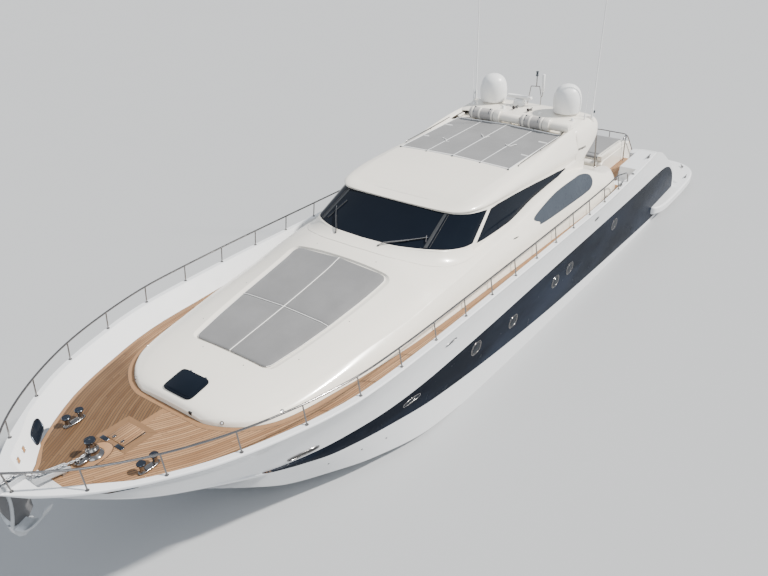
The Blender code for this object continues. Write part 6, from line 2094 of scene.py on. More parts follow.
def make_locker():
    """Mitred frame round the chain locker, its planked lid and the recessed pulls."""
    frame_in = ((10.905, -0.256), (11.404, -0.256), (11.404, 0.256), (10.905, 0.256))
    parts = []
    for k in range(4):
        a, b = LOCKER[k], LOCKER[(k + 1) % 4]
        c, d = frame_in[(k + 1) % 4], frame_in[k]
        quad = [Vector(p) for p in (a, b, c, d)]
        mid = sum(quad, Vector((0, 0))) / 4
        quad = [mid + (p - mid) * 0.994 for p in quad]
        verts = [(p.x, p.y, deck_z(p.x) + 0.0165) for p in quad] + [(p.x, p.y, deck_z(p.x) + 0.0195)
                for p in quad]
        parts.append(new_object("board", verts, [(3, 2, 1, 0), (4, 5, 6, 7), (0, 1, 5, 4), (1, 2, 6, 5),
                (2, 3, 7, 6), (3, 0, 4, 7)], finish("board_dark"), 0))
    settle(join("locker_frame", parts), "teak")
    z = deck_z(11.40)
    lid = [box("lid", (10.912, -0.248, z + 0.0006), (11.398, 0.248, z + 0.0296), finish("floor_teak"),
            0.004, 2)]
    settle(join("locker_lid_planks", lid), "teak", "chain_locker_lid", body="chain_locker_lid_body")
    pulls = []
    for x, y in ((11.33, 0.12), (11.33, -0.12)):
        pulls.append(prism("pull", oval(x, y, 0.045, 0.028, 2.4, 32), z + 0.0296, z + 0.0325,
                finish("steel_blue"), 0.001, 2))
        pulls.append(flat_ring("pull_ring", oval(x, y, 0.034, 0.018, 2.0, 24), z + 0.033, 0.003,
                finish("polished")))
    settle(join("locker_pulls", pulls), "steel", body="chain_locker_lid_body")
    plates = []
    for x, y in ((11.46, 0.20), (11.46, -0.24)):
        plates.append(box("hinge", (x - 0.045, y - 0.10, deck_z(x) + 0.0196), (x + 0.045, y + 0.10,
                deck_z(x) + 0.030), finish("steel_blue"), 0.006, 3))
    settle(join("locker_stays", plates), "steel")


def make_hatch():
    """Glazed foredeck hatch: dark pane in a slim frame with rounded corners."""
    x0, x1, w = HATCH
    cx, length = 0.5 * (x0 + x1), x1 - x0
    slope = (hatch_line(x1) - hatch_line(x0)) / length

    def plate(name, half_x, half_y, low, high, material, bevel):
        outline = oval(cx, 0.0, half_x, half_y, 7.0, 72)
        ob = prism(name, outline, low, high, material, bevel, 3)
        for v in ob.data.vertices:
            v.co.z += hatch_line(x0) + slope * (v.co.x - x0)
        return ob

    frame_piece = plate("frame", length * 0.5, w, GAP, 0.034, finish("dark_glass"), 0.006)
    pane = plate("pane", length * 0.5 - 0.045, w - 0.045, 0.030, 0.0445, finish("dark_glass"), 0.006)
    settle(join("foredeck_hatch_glazed", [frame_piece, pane]), "glass", "foredeck_hatch",
           body="foredeck_hatch_body")
    hinges = []
    for y in (-0.22, 0.22):
        z = hatch_line(x0)
        hinges.append(box("hinge", (x0 - 0.045, y - 0.035, z + 0.001), (x0 - 0.010, y + 0.035, z + 0.008),
                finish("brushed"), 0.003, 2))
    settle(join("hatch_hinges", hinges), "steel")


def make_trunk_fittings():
    """Round lights, power socket and small vents on the coachroof's sides."""
    steel = finish("polished")
    parts = []
    for s in (1, -1):
        for x, z in ((9.94, 2.985), (9.06, 3.01)):
            y = fine_side(x, z)
            e = 0.02
            n = Vector((-(fine_side(x + e, z) - fine_side(x - e, z)), 2 * e, -(fine_side(x, z + e)
                    - fine_side(x, z - e)))).normalized()
            place, n = Vector((x, s * y, z)), Vector((n.x, s * n.y, n.z))
            parts.append(lathe("lamp_rim", ((0, -0.004), (0.040, -0.004), (0.040, 0.004), (0.034, 0.010),
                    (0.026, 0.008), (0, 0.008)), steel, 32, place, n))
            parts.append(lathe("lens", ((0, 0.006), (0.025, 0.006), (0.018, 0.013), (0, 0.015)),
                    finish("lamp_glass"), 24, place, n))
        # Painted shade: each small vent is a black strip standing in for the shade inside its slot.
        x, z = 0.78, 3.40
        pts = []
        for a in turns(24):
            px, pz = x + 0.13 * math.cos(a), z + 0.014 * math.sin(a) + 0.01 * math.cos(a)
            pts.append((px, s * (fine_side(px, pz) + 0.002), pz))
        inner = [(px, s * (abs(py) - 0.012), pz) for px, py, pz in pts]
        parts.append(loft("side_slot", [pts, inner], finish("black_rubber"), 40))
    parts.append(box("socket", (10.06, 0.52, 2.965), (10.105, 0.61, 3.035), finish("black_rubber"), 0.008,
            3))
    settle(join("coachroof_fittings", parts), "steel")


# Soft goods

def rise(t):
    """Quarter-round edge of a pad, from a quarter of its height at the seam to its whole height."""
    return 0.25 + 0.75 * math.sqrt(max(1.0 - (1.0 - min(max(t, 0.0), 1.0)) ** 2, 0.0))


def hump(t):
    """Rise of a pad's crown across its width."""
    return max(math.sin(math.pi * t), 0.0) ** 0.7


def cushion(name, ends, low_y, high_y, floor, thick, crown_height, edge, material, step=0.06, across=22):
    """Closed crowned pad: flat below on `floor`, with sides that pull in to a seam."""
    x0, x1 = ends
    near = [edge * t for t in (0.0, 0.06, 0.2, 0.45, 0.75)]
    xs = [x0 + d for d in near] + stations(x0 + edge, x1 - edge, step) + [x1 - d for d in reversed(near)]
    rings = []
    for x in xs:
        end = rise(min(x - x0, x1 - x) / edge)
        y0, y1 = low_y(x), high_y(x)
        vs = [d / (y1 - y0) for d in near] + list(np.linspace(edge, y1 - y0 - edge, across) / (y1
                - y0)) + [1 - d / (y1 - y0) for d in reversed(near)]
        top = []
        for v in vs:
            y = y0 + (y1 - y0) * v
            h = thick * end * rise(min(v, 1 - v) * (y1 - y0) / edge)
            h += crown_height * hump(v) * hump((x - x0) / (x1 - x0))
            top.append((x, y, floor(x, y) + h))
        rings.append(top + [(x, p[1], floor(x, p[1])) for p in reversed(top)])
    return loft(name, rings, material, 60)


def seat_pad(name, ends, sides, z, *form):
    """Cushion with straight sides on a level seat."""
    return cushion(name, ends, lambda x: sides[0], lambda x: sides[1], lambda x, y: z, *form)


def upright(pad, rows):
    """Stand a pad that was made lying down."""
    pad.data.transform(Matrix(rows + ((0, 0, 0, 1),)))
    pad.data.update()
    return pad


CLOTH_QUALITY, CLOTH_FRAMES = 4, 20


def puffed(ob, voxel, limit, pressure=4.0):
    """Let the cloth solver swell a closed pad; no point moves further than the limit."""
    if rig.quick():
        return ob
    if voxel:
        even = ob.modifiers.new("even", "REMESH")
        even.mode, even.voxel_size = "VOXEL", voxel
        bake(ob)
    count = len(ob.data.vertices)
    rest = np.empty(count * 3, dtype=np.float32)
    ob.data.vertices.foreach_get("co", rest)
    cloth = ob.modifiers.new("swell", "CLOTH")
    cloth.settings.quality = CLOTH_QUALITY
    cloth.settings.use_pressure = True
    cloth.settings.uniform_pressure_force = pressure
    cloth.settings.effector_weights.gravity = 0.0
    cloth.point_cache.frame_start, cloth.point_cache.frame_end = 1, CLOTH_FRAMES
    for frame_number in range(1, CLOTH_FRAMES + 1):
        bpy.context.scene.frame_set(frame_number)
    bake(ob)
    bpy.context.scene.frame_set(1)
    moved = np.empty(count * 3, dtype=np.float32)
    ob.data.vertices.foreach_get("co", moved)
    move = (moved - rest).reshape(-1, 3)
    move -= move.mean(0)
    length = np.linalg.norm(move, axis=1, keepdims=True)
    move *= np.minimum(1.0, limit / np.maximum(length, 1e-9))
    ob.data.vertices.foreach_set("co", (rest.reshape(-1, 3) + move).ravel())
    smoother = ob.modifiers.new("smoother", "SUBSURF")
    smoother.levels = 1
    bake(ob)
    ob.data.shade_smooth()
    return ob


def soft(ob, slot, fill, *nodes, body=HULL_BODY):
    """Settle a padded piece and declare its filling."""
    settle(ob, slot, *nodes, body=body)
    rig.padded(ob, fill)
    return ob


BED_SEAM_X = 6.78
BED_CORNER = 0.17
BED_SEAM = 0.007
BED_STUDS = ((7.9, 1.42), (7.9, -1.42), (6.4, 1.55), (6.4, -1.55), (8.66, 0.6), (8.66, -0.6), (4.55, 0.9),
        (4.55, -0.9))


def bed_side(x, grow=0.0):
    """Half-breadth of the sun bed with its rounded corners."""
    d = min(x - (SUNPAD[-1][0] - grow), SUNPAD[0][0] + grow - x)
    r = BED_CORNER + grow
    return sunpad_line(x) + grow - (r - math.sqrt(max(r * r - (r - d) ** 2, 0.0)) if d < r else 0.0)


def bed_rim():
    """Cutter for the flared rim of the sun bed's recess."""
    x0, x1 = SUNPAD[-1][0], SUNPAD[0][0]
    xs = [x0 + BED_CORNER * (1 - math.cos(a)) for a in np.linspace(0.15, math.pi / 2, 8)]
    xs += stations(xs[-1] + 0.1, x1 - BED_CORNER - 0.1, 0.12) + [x0 + x1 - x for x in reversed(xs)]
    port = [Vector((x, bed_side(x), 0)) for x in xs]
    ends = [Vector((x1, y, 0)) for y in np.linspace(port[-1].y - 0.05, -(port[-1].y - 0.05), 20)]
    aft = [Vector((x0, y, 0)) for y in np.linspace(-(port[0].y - 0.05), port[0].y - 0.05, 20)]
    loop = port + ends + [Vector((p.x, -p.y, 0)) for p in reversed(port)] + aft
    n, rings = len(loop), []
    for i, p in enumerate(loop):
        d = (loop[(i + 1) % n] - loop[i - 1]).normalized()
        out = Vector((-d.y, d.x, 0))
        flare = 0.105 * abs(out.y) ** 2 + 0.035
        ring = []
        for grow, h in ((-0.08, -0.0445), (0.012, -0.0445), (0.03, -0.040), (flare * 0.85, -0.006),
                (flare, 0.004), (flare + 0.02, 0.010), (flare + 0.02, 0.3), (-0.08, 0.3)):
            q = p + out * grow
            ring.append((q.x, q.y, crown(q.x, q.y) + h))
        rings.append(ring)
    return loft("bed_rim", rings, finish("cream_gelcoat"), smooth=0, closed=True)


def make_bed():
    """Foredeck sun bed: four padded panels with pale piped seams over a board."""
    cloth, pale = finish("woven_pad"), finish("piping")
    settle(bed_block("bed_board", -0.06, -0.0443, -0.034, cloth), "pad", "foredeck_sunpad")
    x0, x1 = SUNPAD[-1][0], SUNPAD[0][0]
    for side, word in SIDES:
        for part, ends in (("aft", (x0 + 0.012, BED_SEAM_X - BED_SEAM)), ("fore",
                (BED_SEAM_X + BED_SEAM, x1 - 0.012))):
            edges = (lambda x: BED_SEAM), (lambda x: bed_side(x) - 0.012)
            if side < 0:
                edges = (lambda x: -bed_side(x) + 0.012), (lambda x: -BED_SEAM)
            pad = cushion("bed_panel_" + word + "_" + part, ends, *edges, lambda x, y: solid_crown(x,
                    y) - 0.032, 0.036, sizes().pad_crown, 0.05, cloth)
            soft(puffed(pad, 0.0, 0.007), "pad", 0.6)
    lines = []
    for points in ([(x, 0.0) for x in stations(x0 + 0.02, x1 - 0.02, 0.1)],
                   [(BED_SEAM_X, y) for y in np.linspace(-1.27, 1.27, 27)]):
        lines.append(rod("piping", [(x, y, solid_crown(x, y) - 0.004) for x, y in points], 0.010, pale,
                12))
    for side in (1, -1):
        lines.append(rod("piping", [(x, side * (bed_side(x) - 0.012), solid_crown(x, bed_side(x)) - 0.014)
                for x in stations(x0 + 0.05, x1 - 0.05, 0.08)], 0.007, pale, 10))
    settle(join("bed_piping", lines), "pad")
    studs = []
    for x, y in BED_STUDS:
        studs.append(lathe("stud", ((0, -0.003), (0.012, -0.003), (0.012, 0.002), (0.007, 0.005),
                (0, 0.0055)), finish("dark_cap"), 14, (x, y, crown(x, y))))
    settle(join("bed_studs", studs), "steel")


ROOF_STRIPS = ((-1.715, -0.865), (-0.845, -0.012), (0.012, 0.865), (0.885, 1.715))
ROOF_FRONT, ROOF_BACK = -0.26, -3.36
ROOF_TRACKS = (-1.735, -0.855, 0.0, 0.875, 1.735)
# Ties across the seams: pale cords that are partly real ties and partly painted highlight, standing where the cloth
# glints.
ROOF_TIES = ((-1.28, -0.88), (-2.1, -0.06), (-1.85, 0.92))
ROOF_STRAPS = ((-2.55, -1.72, -1.45), (-2.55, 1.45, 1.72), (-1.35, -1.72, -1.52), (-1.35, 1.52, 1.72))


def roof_z(y):
    """Height of the roof between the tracks."""
    return ROOF_LEVEL + ROOF_CAMBER * (1 - min(abs(y) / 1.75, 1.0))


def make_roof_covers():
    """Four grey cloths laid over the roof between pale tracks, drawn from the drums aft."""
    cloth, pale = finish("woven_pad"), finish("piping")
    trim = []
    for k, (y0, y1) in enumerate(ROOF_STRIPS):
        rings = []
        for x in stations(ROOF_BACK, ROOF_FRONT, 0.05):
            ys = np.linspace(y0, y1, 23)
            top = []
            for y in ys:
                v = (y - y0) / (y1 - y0)
                wave = 0.0035 * noise.noise(Vector((x * 1.7, y * 3.1, 4.0
                        + k))) + 0.0015 * noise.noise(Vector((x * 6.0, y * 9.0, k)))
                top.append((x, float(y), roof_z(y) + 0.020 - 0.006 * math.sin(math.pi * v) + wave
                        * math.sin(math.pi * v) ** 0.3))
            rings.append(top + [(p[0], p[1], p[2] - 0.003) for p in reversed(top)])
        word = ("starboard_outer", "starboard_inner", "port_inner", "port_outer")[k]
        sheet = settle(loft("roof_cloth_" + word, rings, cloth, 60), "pad")
        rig.sheet(sheet, flat=(y1 - y0, ROOF_FRONT - ROOF_BACK), held="stretched",
                rests_on=["deckhouse_moulding"])
        for x in (ROOF_FRONT + 0.018, ROOF_BACK - 0.018):
            trim.append(rod("hem", [(x, y, roof_z(y) + 0.019) for y in np.linspace(y0, y1, 12)], 0.024,
                    pale, 14, flat=0.45))
    for y in ROOF_TRACKS:
        z = roof_z(y)
        trim.append(box("track", (ROOF_BACK - 0.03, y - 0.009, z + 0.0004),
                (ROOF_FRONT + 0.03, y + 0.009, z + 0.026), finish("white_gelcoat"), 0.004, 2))
        for x in (ROOF_FRONT + 0.045, ROOF_BACK - 0.045):
            trim.append(box("stop", (x - 0.022, y - 0.022, z + 0.0004), (x + 0.022, y + 0.022, z + 0.030),
                    finish("dark_cap"), 0.008, 3))
    # The ties' paleness is partly painted highlight.
    for k, (x, y) in enumerate(ROOF_TIES):
        tie = [(x + 0.10 * math.sin(2.1 * v + k), y + 0.16 * v, roof_z(y) + 0.030 + 0.012 * math.cos(5 * v
                + k)) for v in np.linspace(-1, 1, 15)]
        trim.append(rod("tie", smooth_line(tie, 2), 0.011, pale, 10))
    for x, y0, y1 in ROOF_STRAPS:
        trim.append(rod("strap", [(x, y, roof_z(y) + 0.0235) for y in np.linspace(y0, y1, 6)], 0.022,
                pale, 12, flat=0.25))
    settle(join("roof_tracks", trim), "pad", "roof_pads")


def make_aft_bed():
    """Sun bed over the garage: two mattresses, a raised back roll and cream side boards."""
    cloth, pale = finish("woven_pad"), finish("piping")
    z = GARAGE_TOP + 0.001
    board = box("aft_bed_board", (-10.24, -1.21, z), (-7.96, 1.21, z + 0.014), finish("cream_gelcoat"),
            0.005, 2)
    settle(board, "pad", "aft_sunpad")
    for word, y0, y1 in (("starboard", -1.20, -0.008), ("port", 0.008, 1.20)):
        pad = seat_pad("aft_bed_" + word, (-10.22, -8.28), (y0, y1), z + 0.015, 0.072, 0.016, 0.045, cloth)
        soft(puffed(pad, 0.03, 0.008), "pad", 0.6)
        roll = seat_pad("aft_bed_pillow_" + word, (-8.26, -7.98), (y0 + 0.02, y1 - 0.02), z + 0.015,
                0.078, 0.012, 0.07, cloth, 0.03)
        soft(puffed(roll, 0.02, 0.007), "pad", 0.8)
    lines = [rod("piping", [(x, y, z + 0.05) for x in (-10.20, -8.30)], 0.006, pale, 10)
            for y in (-1.199, 0.0, 1.199)]
    settle(join("aft_bed_piping", lines), "pad")


def seat_row(name, count, low, high, material, thick, body=HULL_BODY, slot="leather"):
    """A run of like seat cushions between two corners, fore and aft or across, whichever is longer."""
    (x0, y0, z0), (x1, y1, _) = low, high
    out = []
    for k in range(count):
        if abs(y1 - y0) > abs(x1 - x0):
            a, b = y0 + (y1 - y0) * k / count + 0.006, y0 + (y1 - y0) * (k + 1) / count - 0.006
            ends, sides = (x0, x1), (a, b)
        else:
            a, b = x0 + (x1 - x0) * k / count + 0.006, x0 + (x1 - x0) * (k + 1) / count - 0.006
            ends, sides = (a, b), (y0, y1)
        pad = seat_pad("%s_%d" % (name, k + 1), ends, sides, z0, thick, 0.02, min(0.05, 0.4 * thick),
                material, 0.05, 14)
        out.append(soft(puffed(pad, 0.025, 0.010), slot, 0.7, body=body))
    return out


def back_row(name, count, low, high, material, slot="leather"):
    """Back cushions standing between two corners, each a crowned pad turned upright."""
    (x0, y0, z0), (x1, y1, z1) = low, high
    across = abs(y1 - y0) > abs(x1 - x0)
    length = (y1 - y0) if across else (x1 - x0)
    thick = ((x1 - x0) if across else (y1 - y0)) - 0.02
    for k in range(count):
        a, b = length * k / count + 0.006, length * (k + 1) / count - 0.006
        pad = seat_pad("%s_%d" % (name, k + 1), (0.0, z1 - z0), (a, b), 0.0, thick, 0.018, 0.045,
                material, 0.05, 14)
        if across:
            upright(pad, ((0, 0, 1, x0), (0, 1, 0, y0), (1, 0, 0, z0))).data.flip_normals()
        else:
            upright(pad, ((0, 1, 0, x0), (0, 0, 1, y0), (1, 0, 0, z0)))
        soft(puffed(pad, 0.025, 0.008), slot, 0.7)


def make_seats():
    """Cockpit sofa, saloon sofa and helm bench, each a moulded base with padded cushions."""
    cream, vinyl, hide = finish("cream_gelcoat"), finish("cream_vinyl"), finish("cream_leather")
    z = SOLE_Z + 0.001
    base = box("cockpit_sofa_base", (GARAGE_FRONT + 0.002, -1.29, z), (-7.04, 1.29, 2.24), cream, 0.03, 4)
    settle(base, "cream", "cockpit_sofa")
    seat_row("cockpit_seat", 3, (-7.62, -1.28, 2.241), (-7.03, 1.28, 2.36), vinyl, 0.10, slot="cream")
    back_row("cockpit_back", 3, (GARAGE_FRONT + 0.004, -1.28, 2.242), (-7.64, 1.28, 2.47), vinyl,
            slot="cream")
    base = box("saloon_sofa_base", (-3.39, -1.89, z), (-0.81, -1.12, 2.32), finish("board_dark"), 0.02, 3)
    settle(base, "leather", "saloon_sofa")
    seat_row("saloon_seat", 3, (-3.38, -1.70, 2.321), (-0.82, -1.11, 2.44), hide, 0.11)
    back_row("saloon_back", 3, (-3.38, -1.89, 2.322), (-0.82, -1.72, 2.74), hide)
    base = box("helm_seat_base", (0.95, 0.62, z), (1.46, 1.68, 2.36), finish("board_dark"), 0.03, 4)
    settle(base, "leather", "helm_seat")
    seat_row("helm_seat_cushion", 2, (0.95, 0.57, 2.361), (1.49, 1.73, 2.48), hide, 0.11)
    for k, (a, b) in enumerate(((0.58, 1.14), (1.16, 1.72))):
        pad = seat_pad("helm_back_%d" % (k + 1), (0.0, 0.60), (a, b), 0.0, 0.075, 0.02, 0.04, hide, 0.05,
                14)
        upright(pad, ((-0.12, 0, 1, 0.925), (0, 1, 0, 0), (1, 0, 0.12, 2.42))).data.flip_normals()
        soft(puffed(pad, 0.025, 0.008), "leather", 0.7)


def make_helm():
    """Helm console: angled dash, blank screens, wheel, levers."""
    black = finish("black_rubber")
    side = smooth_line([(2.10, SOLE_Z + 0.001), (2.10, 2.95), (2.14, 3.05), (2.30, 3.16), (2.52, 3.27),
            (2.66, 3.34), (2.80, 3.345), (2.88, 3.30), (2.895, 3.1), (2.895, SOLE_Z + 0.001)], 3)
    desk = side_prism("helm_desk", side, -1.74, 1.74, finish("cream_leather"), 0.02, 3)
    parts = [desk]
    for y in (0.68, 1.16, 1.62):
        w = 0.19 if y < 1.5 else 0.08
        p = Vector((2.40, y, 3.235))
        screen = box("screen", (-0.10, -w, 0.0), (0.10, w, 0.012), finish("dark_glass"), 0.008, 3)
        screen.data.transform(Matrix.Translation(p) @ Matrix.Rotation(math.radians(-26), 4, "Y"))
        parts.append(screen)
    c, tilt = Vector((2.03, 1.15, 3.02)), Matrix.Rotation(math.radians(-62), 4, "Y")
    ring = [c + tilt @ Vector((0.17 * math.cos(a), 0.17 * math.sin(a), 0)) for a in turns(40)]
    parts.append(rod("wheel_rim", ring, 0.013, black, 12, loop=True))
    for a in (math.pi / 2, math.pi * 7 / 6, math.pi * 11 / 6):
        parts.append(rod("spoke", [c + tilt @ Vector((0.02 * math.cos(a), 0.02 * math.sin(a), 0)),
                c + tilt @ Vector((0.165 * math.cos(a), 0.165 * math.sin(a), 0))], 0.008,
                finish("polished"), 10))
    parts.append(rod("column", [c, c + Vector((0.16, 0, 0.02))], 0.024, finish("polished"), 20))
    for y in (0.86, 0.92):
        parts.append(rod("lever", [(2.20, y, 3.08), (2.15, y, 3.20)], 0.009, finish("polished"), 12))
        parts.append(lathe("knob", ((0, -0.02), (0.018, -0.012), (0.02, 0.0), (0.014, 0.016), (0, 0.02)),
                black, 20, (2.148, y, 3.205)))
    settle(join("helm_station", parts), "leather", "helm_console")


# Deckhouse fittings

def screen_point(s, t, lift):
    """Point on the glass; s under nought is to starboard."""
    p = band_point(abs(s), t, -lift)
    return Vector((p.x, math.copysign(p.y, s), p.z))


MULLION_S = 2.0
# Wipers: places along the band of pivot and tip, height of the tip, ends of a blade that stands across
WIPERS = ((0.70, 1.82, 0.30, None), (-0.96, -1.74, 0.44, ((-1.72, 0.14), (-1.58, 0.68))))


def make_screen_fittings():
    """Glazing bars, wipers and their washer caps."""
    bar, steel, rubber = finish("mullion"), finish("polished"), finish("black_rubber")
    parts = []
    for sign in (1, -1):
        rows = []
        for t in np.linspace(0.065, 0.955, 12):
            a, b = MULLION_S - 0.085, MULLION_S + 0.045
            rows.append([screen_point(sign * s, t, d) for s, d in ((a, 0.0005), (b, 0.0005), (b, 0.007),
                    (0.5 * (a + b), 0.010), (a, 0.007))])
        parts.append(loft("mullion", rows, bar, 30))
        line = [screen_point(sign * (MULLION_S + 0.13), t, 0.001) for t in np.linspace(0.07, 0.95, 12)]
        parts.append(rod("seal", line, 0.006, rubber, 8))
    settle(join("screen_bars", parts), "glass")
    parts = []
    for s0, s1, t1, blade in WIPERS:
        foot = screen_point(s0, -0.06, -0.022)
        parts.append(lathe("pivot", ((0, -0.01), (0.034, -0.01), (0.034, 0.012), (0.026, 0.030),
                (0.015, 0.055), (0, 0.058)), steel, 24, foot))
        cap_spot = screen_point(s0 + (0.16 if s0 > 0 else -0.14), -0.085, -0.02)
        parts.append(lathe("washer", ((0, -0.01), (0.032, -0.01), (0.032, 0.012), (0.020, 0.022),
                (0, 0.023)), finish("white_plastic"), 24, cap_spot))
        ts = np.linspace(0.0, 1.0, 9)
        arm = [foot + Vector((0, 0, 0.05))] + [screen_point(s0 + (s1 - s0) * v, -0.01 + (t1 + 0.01) * v,
                0.055 - 0.02 * v) for v in ts[1:]]
        parts.append(rod("arm", arm, 0.011, steel, 10))
        arm2 = [p + Vector((0.0, 0.03, -0.008)) for p in arm[:6]]
        parts.append(rod("arm_stay", arm2, 0.006, steel, 8))
        if blade is None:
            ends = [(s0 + (s1 - s0) * v, -0.01 + (t1 + 0.01) * v) for v in np.linspace(0.42, 1.06, 8)]
            parts.append(rod("clip", [screen_point(s, t, 0.035) for s, t in ((1.80, 0.35), (1.85, 0.26),
                    (1.90, 0.18))], 0.010, steel, 10))
        else:
            (sa, ta), (sb, tb) = blade
            ends = [(sa + (sb - sa) * v, ta + (tb - ta) * v) for v in np.linspace(0.0, 1.0, 8)]
        parts.append(rod("blade_carrier", [screen_point(s, t, 0.028) for s, t in ends], 0.009,
                finish("steel_blue"), 8))
        parts.append(rod("blade", [screen_point(s, t, 0.012) for s, t in ends], 0.010, rubber, 8,
                flat=0.5))
        tip = screen_point(s1, t1, 0.035)
        parts.append(lathe("joint", ((0, -0.012), (0.018, -0.012), (0.018, 0.012), (0.01, 0.018),
                (0, 0.018)), steel, 16, tip, (0.4, 0, 0.9)))
    settle(join("wipers", parts), "steel")


ROOF_RAIL = ((-0.66, 1.83), (-1.93, 1.83), (-2.76, 1.85), (-3.05, 1.86))


def roof_edge_z(x, y):
    """Height of the roof near its side edge."""
    return ROOF_LEVEL + ROOF_CAMBER * (1 - min(y / 1.9, 1.0)) - 0.10 * max(0.0, (y - 1.80) / 0.25)


def make_roof_fittings():
    """Grab rails, vent slots and posts of the arch, and the drums' clips, deck lights and horns."""
    steel, rubber = finish("polished"), finish("black_rubber")
    parts = []
    for side in (1, -1):
        top = [(x, side * y, roof_edge_z(x, y) + 0.045 + 0.08 * shoulder(x)) for x, y in ROOF_RAIL]
        first, last = Vector(top[0]), Vector(top[-1])
        line = [first + Vector((0.05, 0, -0.05)), first + Vector((0.03, 0, -0.02))] + smooth_line(top,
                6) + [last + Vector((-0.03, 0, -0.02)), last + Vector((-0.05, 0, -0.06))]
        parts.append(rod("grab_rail", line, 0.0125, steel, 12))
        for x, y in ROOF_RAIL[1:3]:
            z = roof_edge_z(x, y) + 0.08 * shoulder(x)
            parts.append(rod("foot", [(x, side * y, z - 0.03), (x, side * y, z + 0.045)], 0.010, steel,
                    12))
    settle(join("roof_grab_rails", parts), "steel")
    parts = []
    for side in (1, -1):
        face = 2.13 + 0.060
        # Painted shade: the vent slots are black rods standing in for the shade inside them.
        for k in range(3):
            x = -4.02 + 0.005 * k
            z = 4.27 + 0.022 * k
            parts.append(rod("vent", [(x - 0.24, side * (face + 0.010), z - 0.015),
                    (x, side * (face + 0.006), z), (x + 0.22, side * (face - 0.018), z + 0.015)], 0.006,
                    rubber, 8))
        low, high = Vector((-5.62, side * 2.02, crown(-5.62, 2.02) - 0.01)), Vector((-5.24, side
                * 2.10, 4.62))
        parts.append(rod("stern_post", [low, high], 0.022, steel, 20))
        parts.append(lathe("post_foot", ((0, -0.004), (0.048, -0.004), (0.048, 0.008), (0.034, 0.018),
                (0.023, 0.032), (0, 0.032)), steel, 28, low + Vector((0, 0, 0.008))))
    settle(join("arch_details", parts), "steel")
    parts = []
    for y0, y1 in ROLLERS:
        for y in (y0 + 0.16, y1 - 0.16):
            z = ROLLER_Z + ROLLER_R
            parts.append(lathe("clip", ((0, -0.01), (0.022, -0.01), (0.022, 0.014), (0.014, 0.030),
                    (0, 0.032)), finish("dark_cap"), 20, (ROLLER_X + 0.03, y, z)))
            parts.append(rod("clip_strap", [(ROLLER_X + ROLLER_R * math.cos(a) * 1.01, y, ROLLER_Z
                    + ROLLER_R * math.sin(a) * 1.01) for a in np.linspace(0.3, 2.8, 12)], 0.012,
                    finish("dark_cap"), 8, flat=0.3))
    for y in (-1.72, 0.02, 1.72):
        parts.append(box("bearer", (-3.70, y - 0.03, 4.79), (-3.34, y + 0.03, 4.86),
                finish("cream_gelcoat"), 0.02, 3))
    settle(join("roller_clips", parts), "cream")
    parts = []
    for side in (1, -1):
        for x, y in ((-4.25, 1.70), (-4.25, 0.62)):
            z = arch_top(x, y) - 0.003
            parts.append(lathe("deck_light", ((0, 0), (0.055, 0), (0.055, 0.018), (0.045, 0.03),
                    (0.038, 0.075), (0.030, 0.085), (0, 0.085)), finish("white_plastic"), 32,
                    (x, side * y, z)))
    settle(join("arch_lights", parts), "white")
    parts = []
    for side in (1, -1):
        parts.append(lathe("horn_base", ((0, 0), (0.04, 0), (0.04, 0.03), (0.03, 0.045), (0, 0.045)),
                steel, 24, (-4.42, side * 0.25, arch_top(-4.42, 0.25) - 0.003)))
        parts.append(lathe("horn", ((0, 0), (0.016, 0), (0.018, 0.18), (0.030, 0.25), (0.055, 0.29),
                (0.050, 0.292), (0.02, 0.24), (0, 0.23)), steel, 28, (-4.50, side * 0.25,
                arch_top(-4.42, 0.25) + 0.065), (1, 0, 0.02)))
    settle(join("horns", parts), "steel")


def arch_top(x, y):
    """Height of the arch's upper surface."""
    c = float(np.clip((-3.78 - x) / 1.5, 0, 1))
    thick = between(c, (0, 0.12, 0.5, 0.9, 1.0), (0.0, 0.05, 0.075, 0.06, 0.0)) * 1.2
    return between(abs(y), (0, 1.0, 1.70, 1.98), (4.94, 4.93, 4.90, 4.82)) + thick


# Stern fittings

def cleat(place, along, size=1.0):
    """Horn cleat, its horns along a direction in plan."""
    steel = finish("polished")
    p, a = Vector(place), Vector(along).normalized()
    out = []
    for s in (-1, 1):
        foot = p + a * 0.045 * s * size
        out.append(lathe("cleat_foot", ((0, 0), (0.028 * size, 0), (0.024 * size, 0.012 * size),
                (0.016 * size, 0.05 * size), (0, 0.06 * size)), steel, 20, foot))
    horn = [p + a * v * size + Vector((0, 0, h * size)) for v, h in ((-0.15, 0.078), (-0.12, 0.068),
            (-0.06, 0.058), (0, 0.056), (0.06, 0.058), (0.12, 0.068), (0.15, 0.078))]
    out.append(rod("horns", horn, 0.014 * size, steel, 14, radii=[v * size
            for v in (0.007, 0.012, 0.016, 0.017, 0.016, 0.012, 0.007)]))
    return out


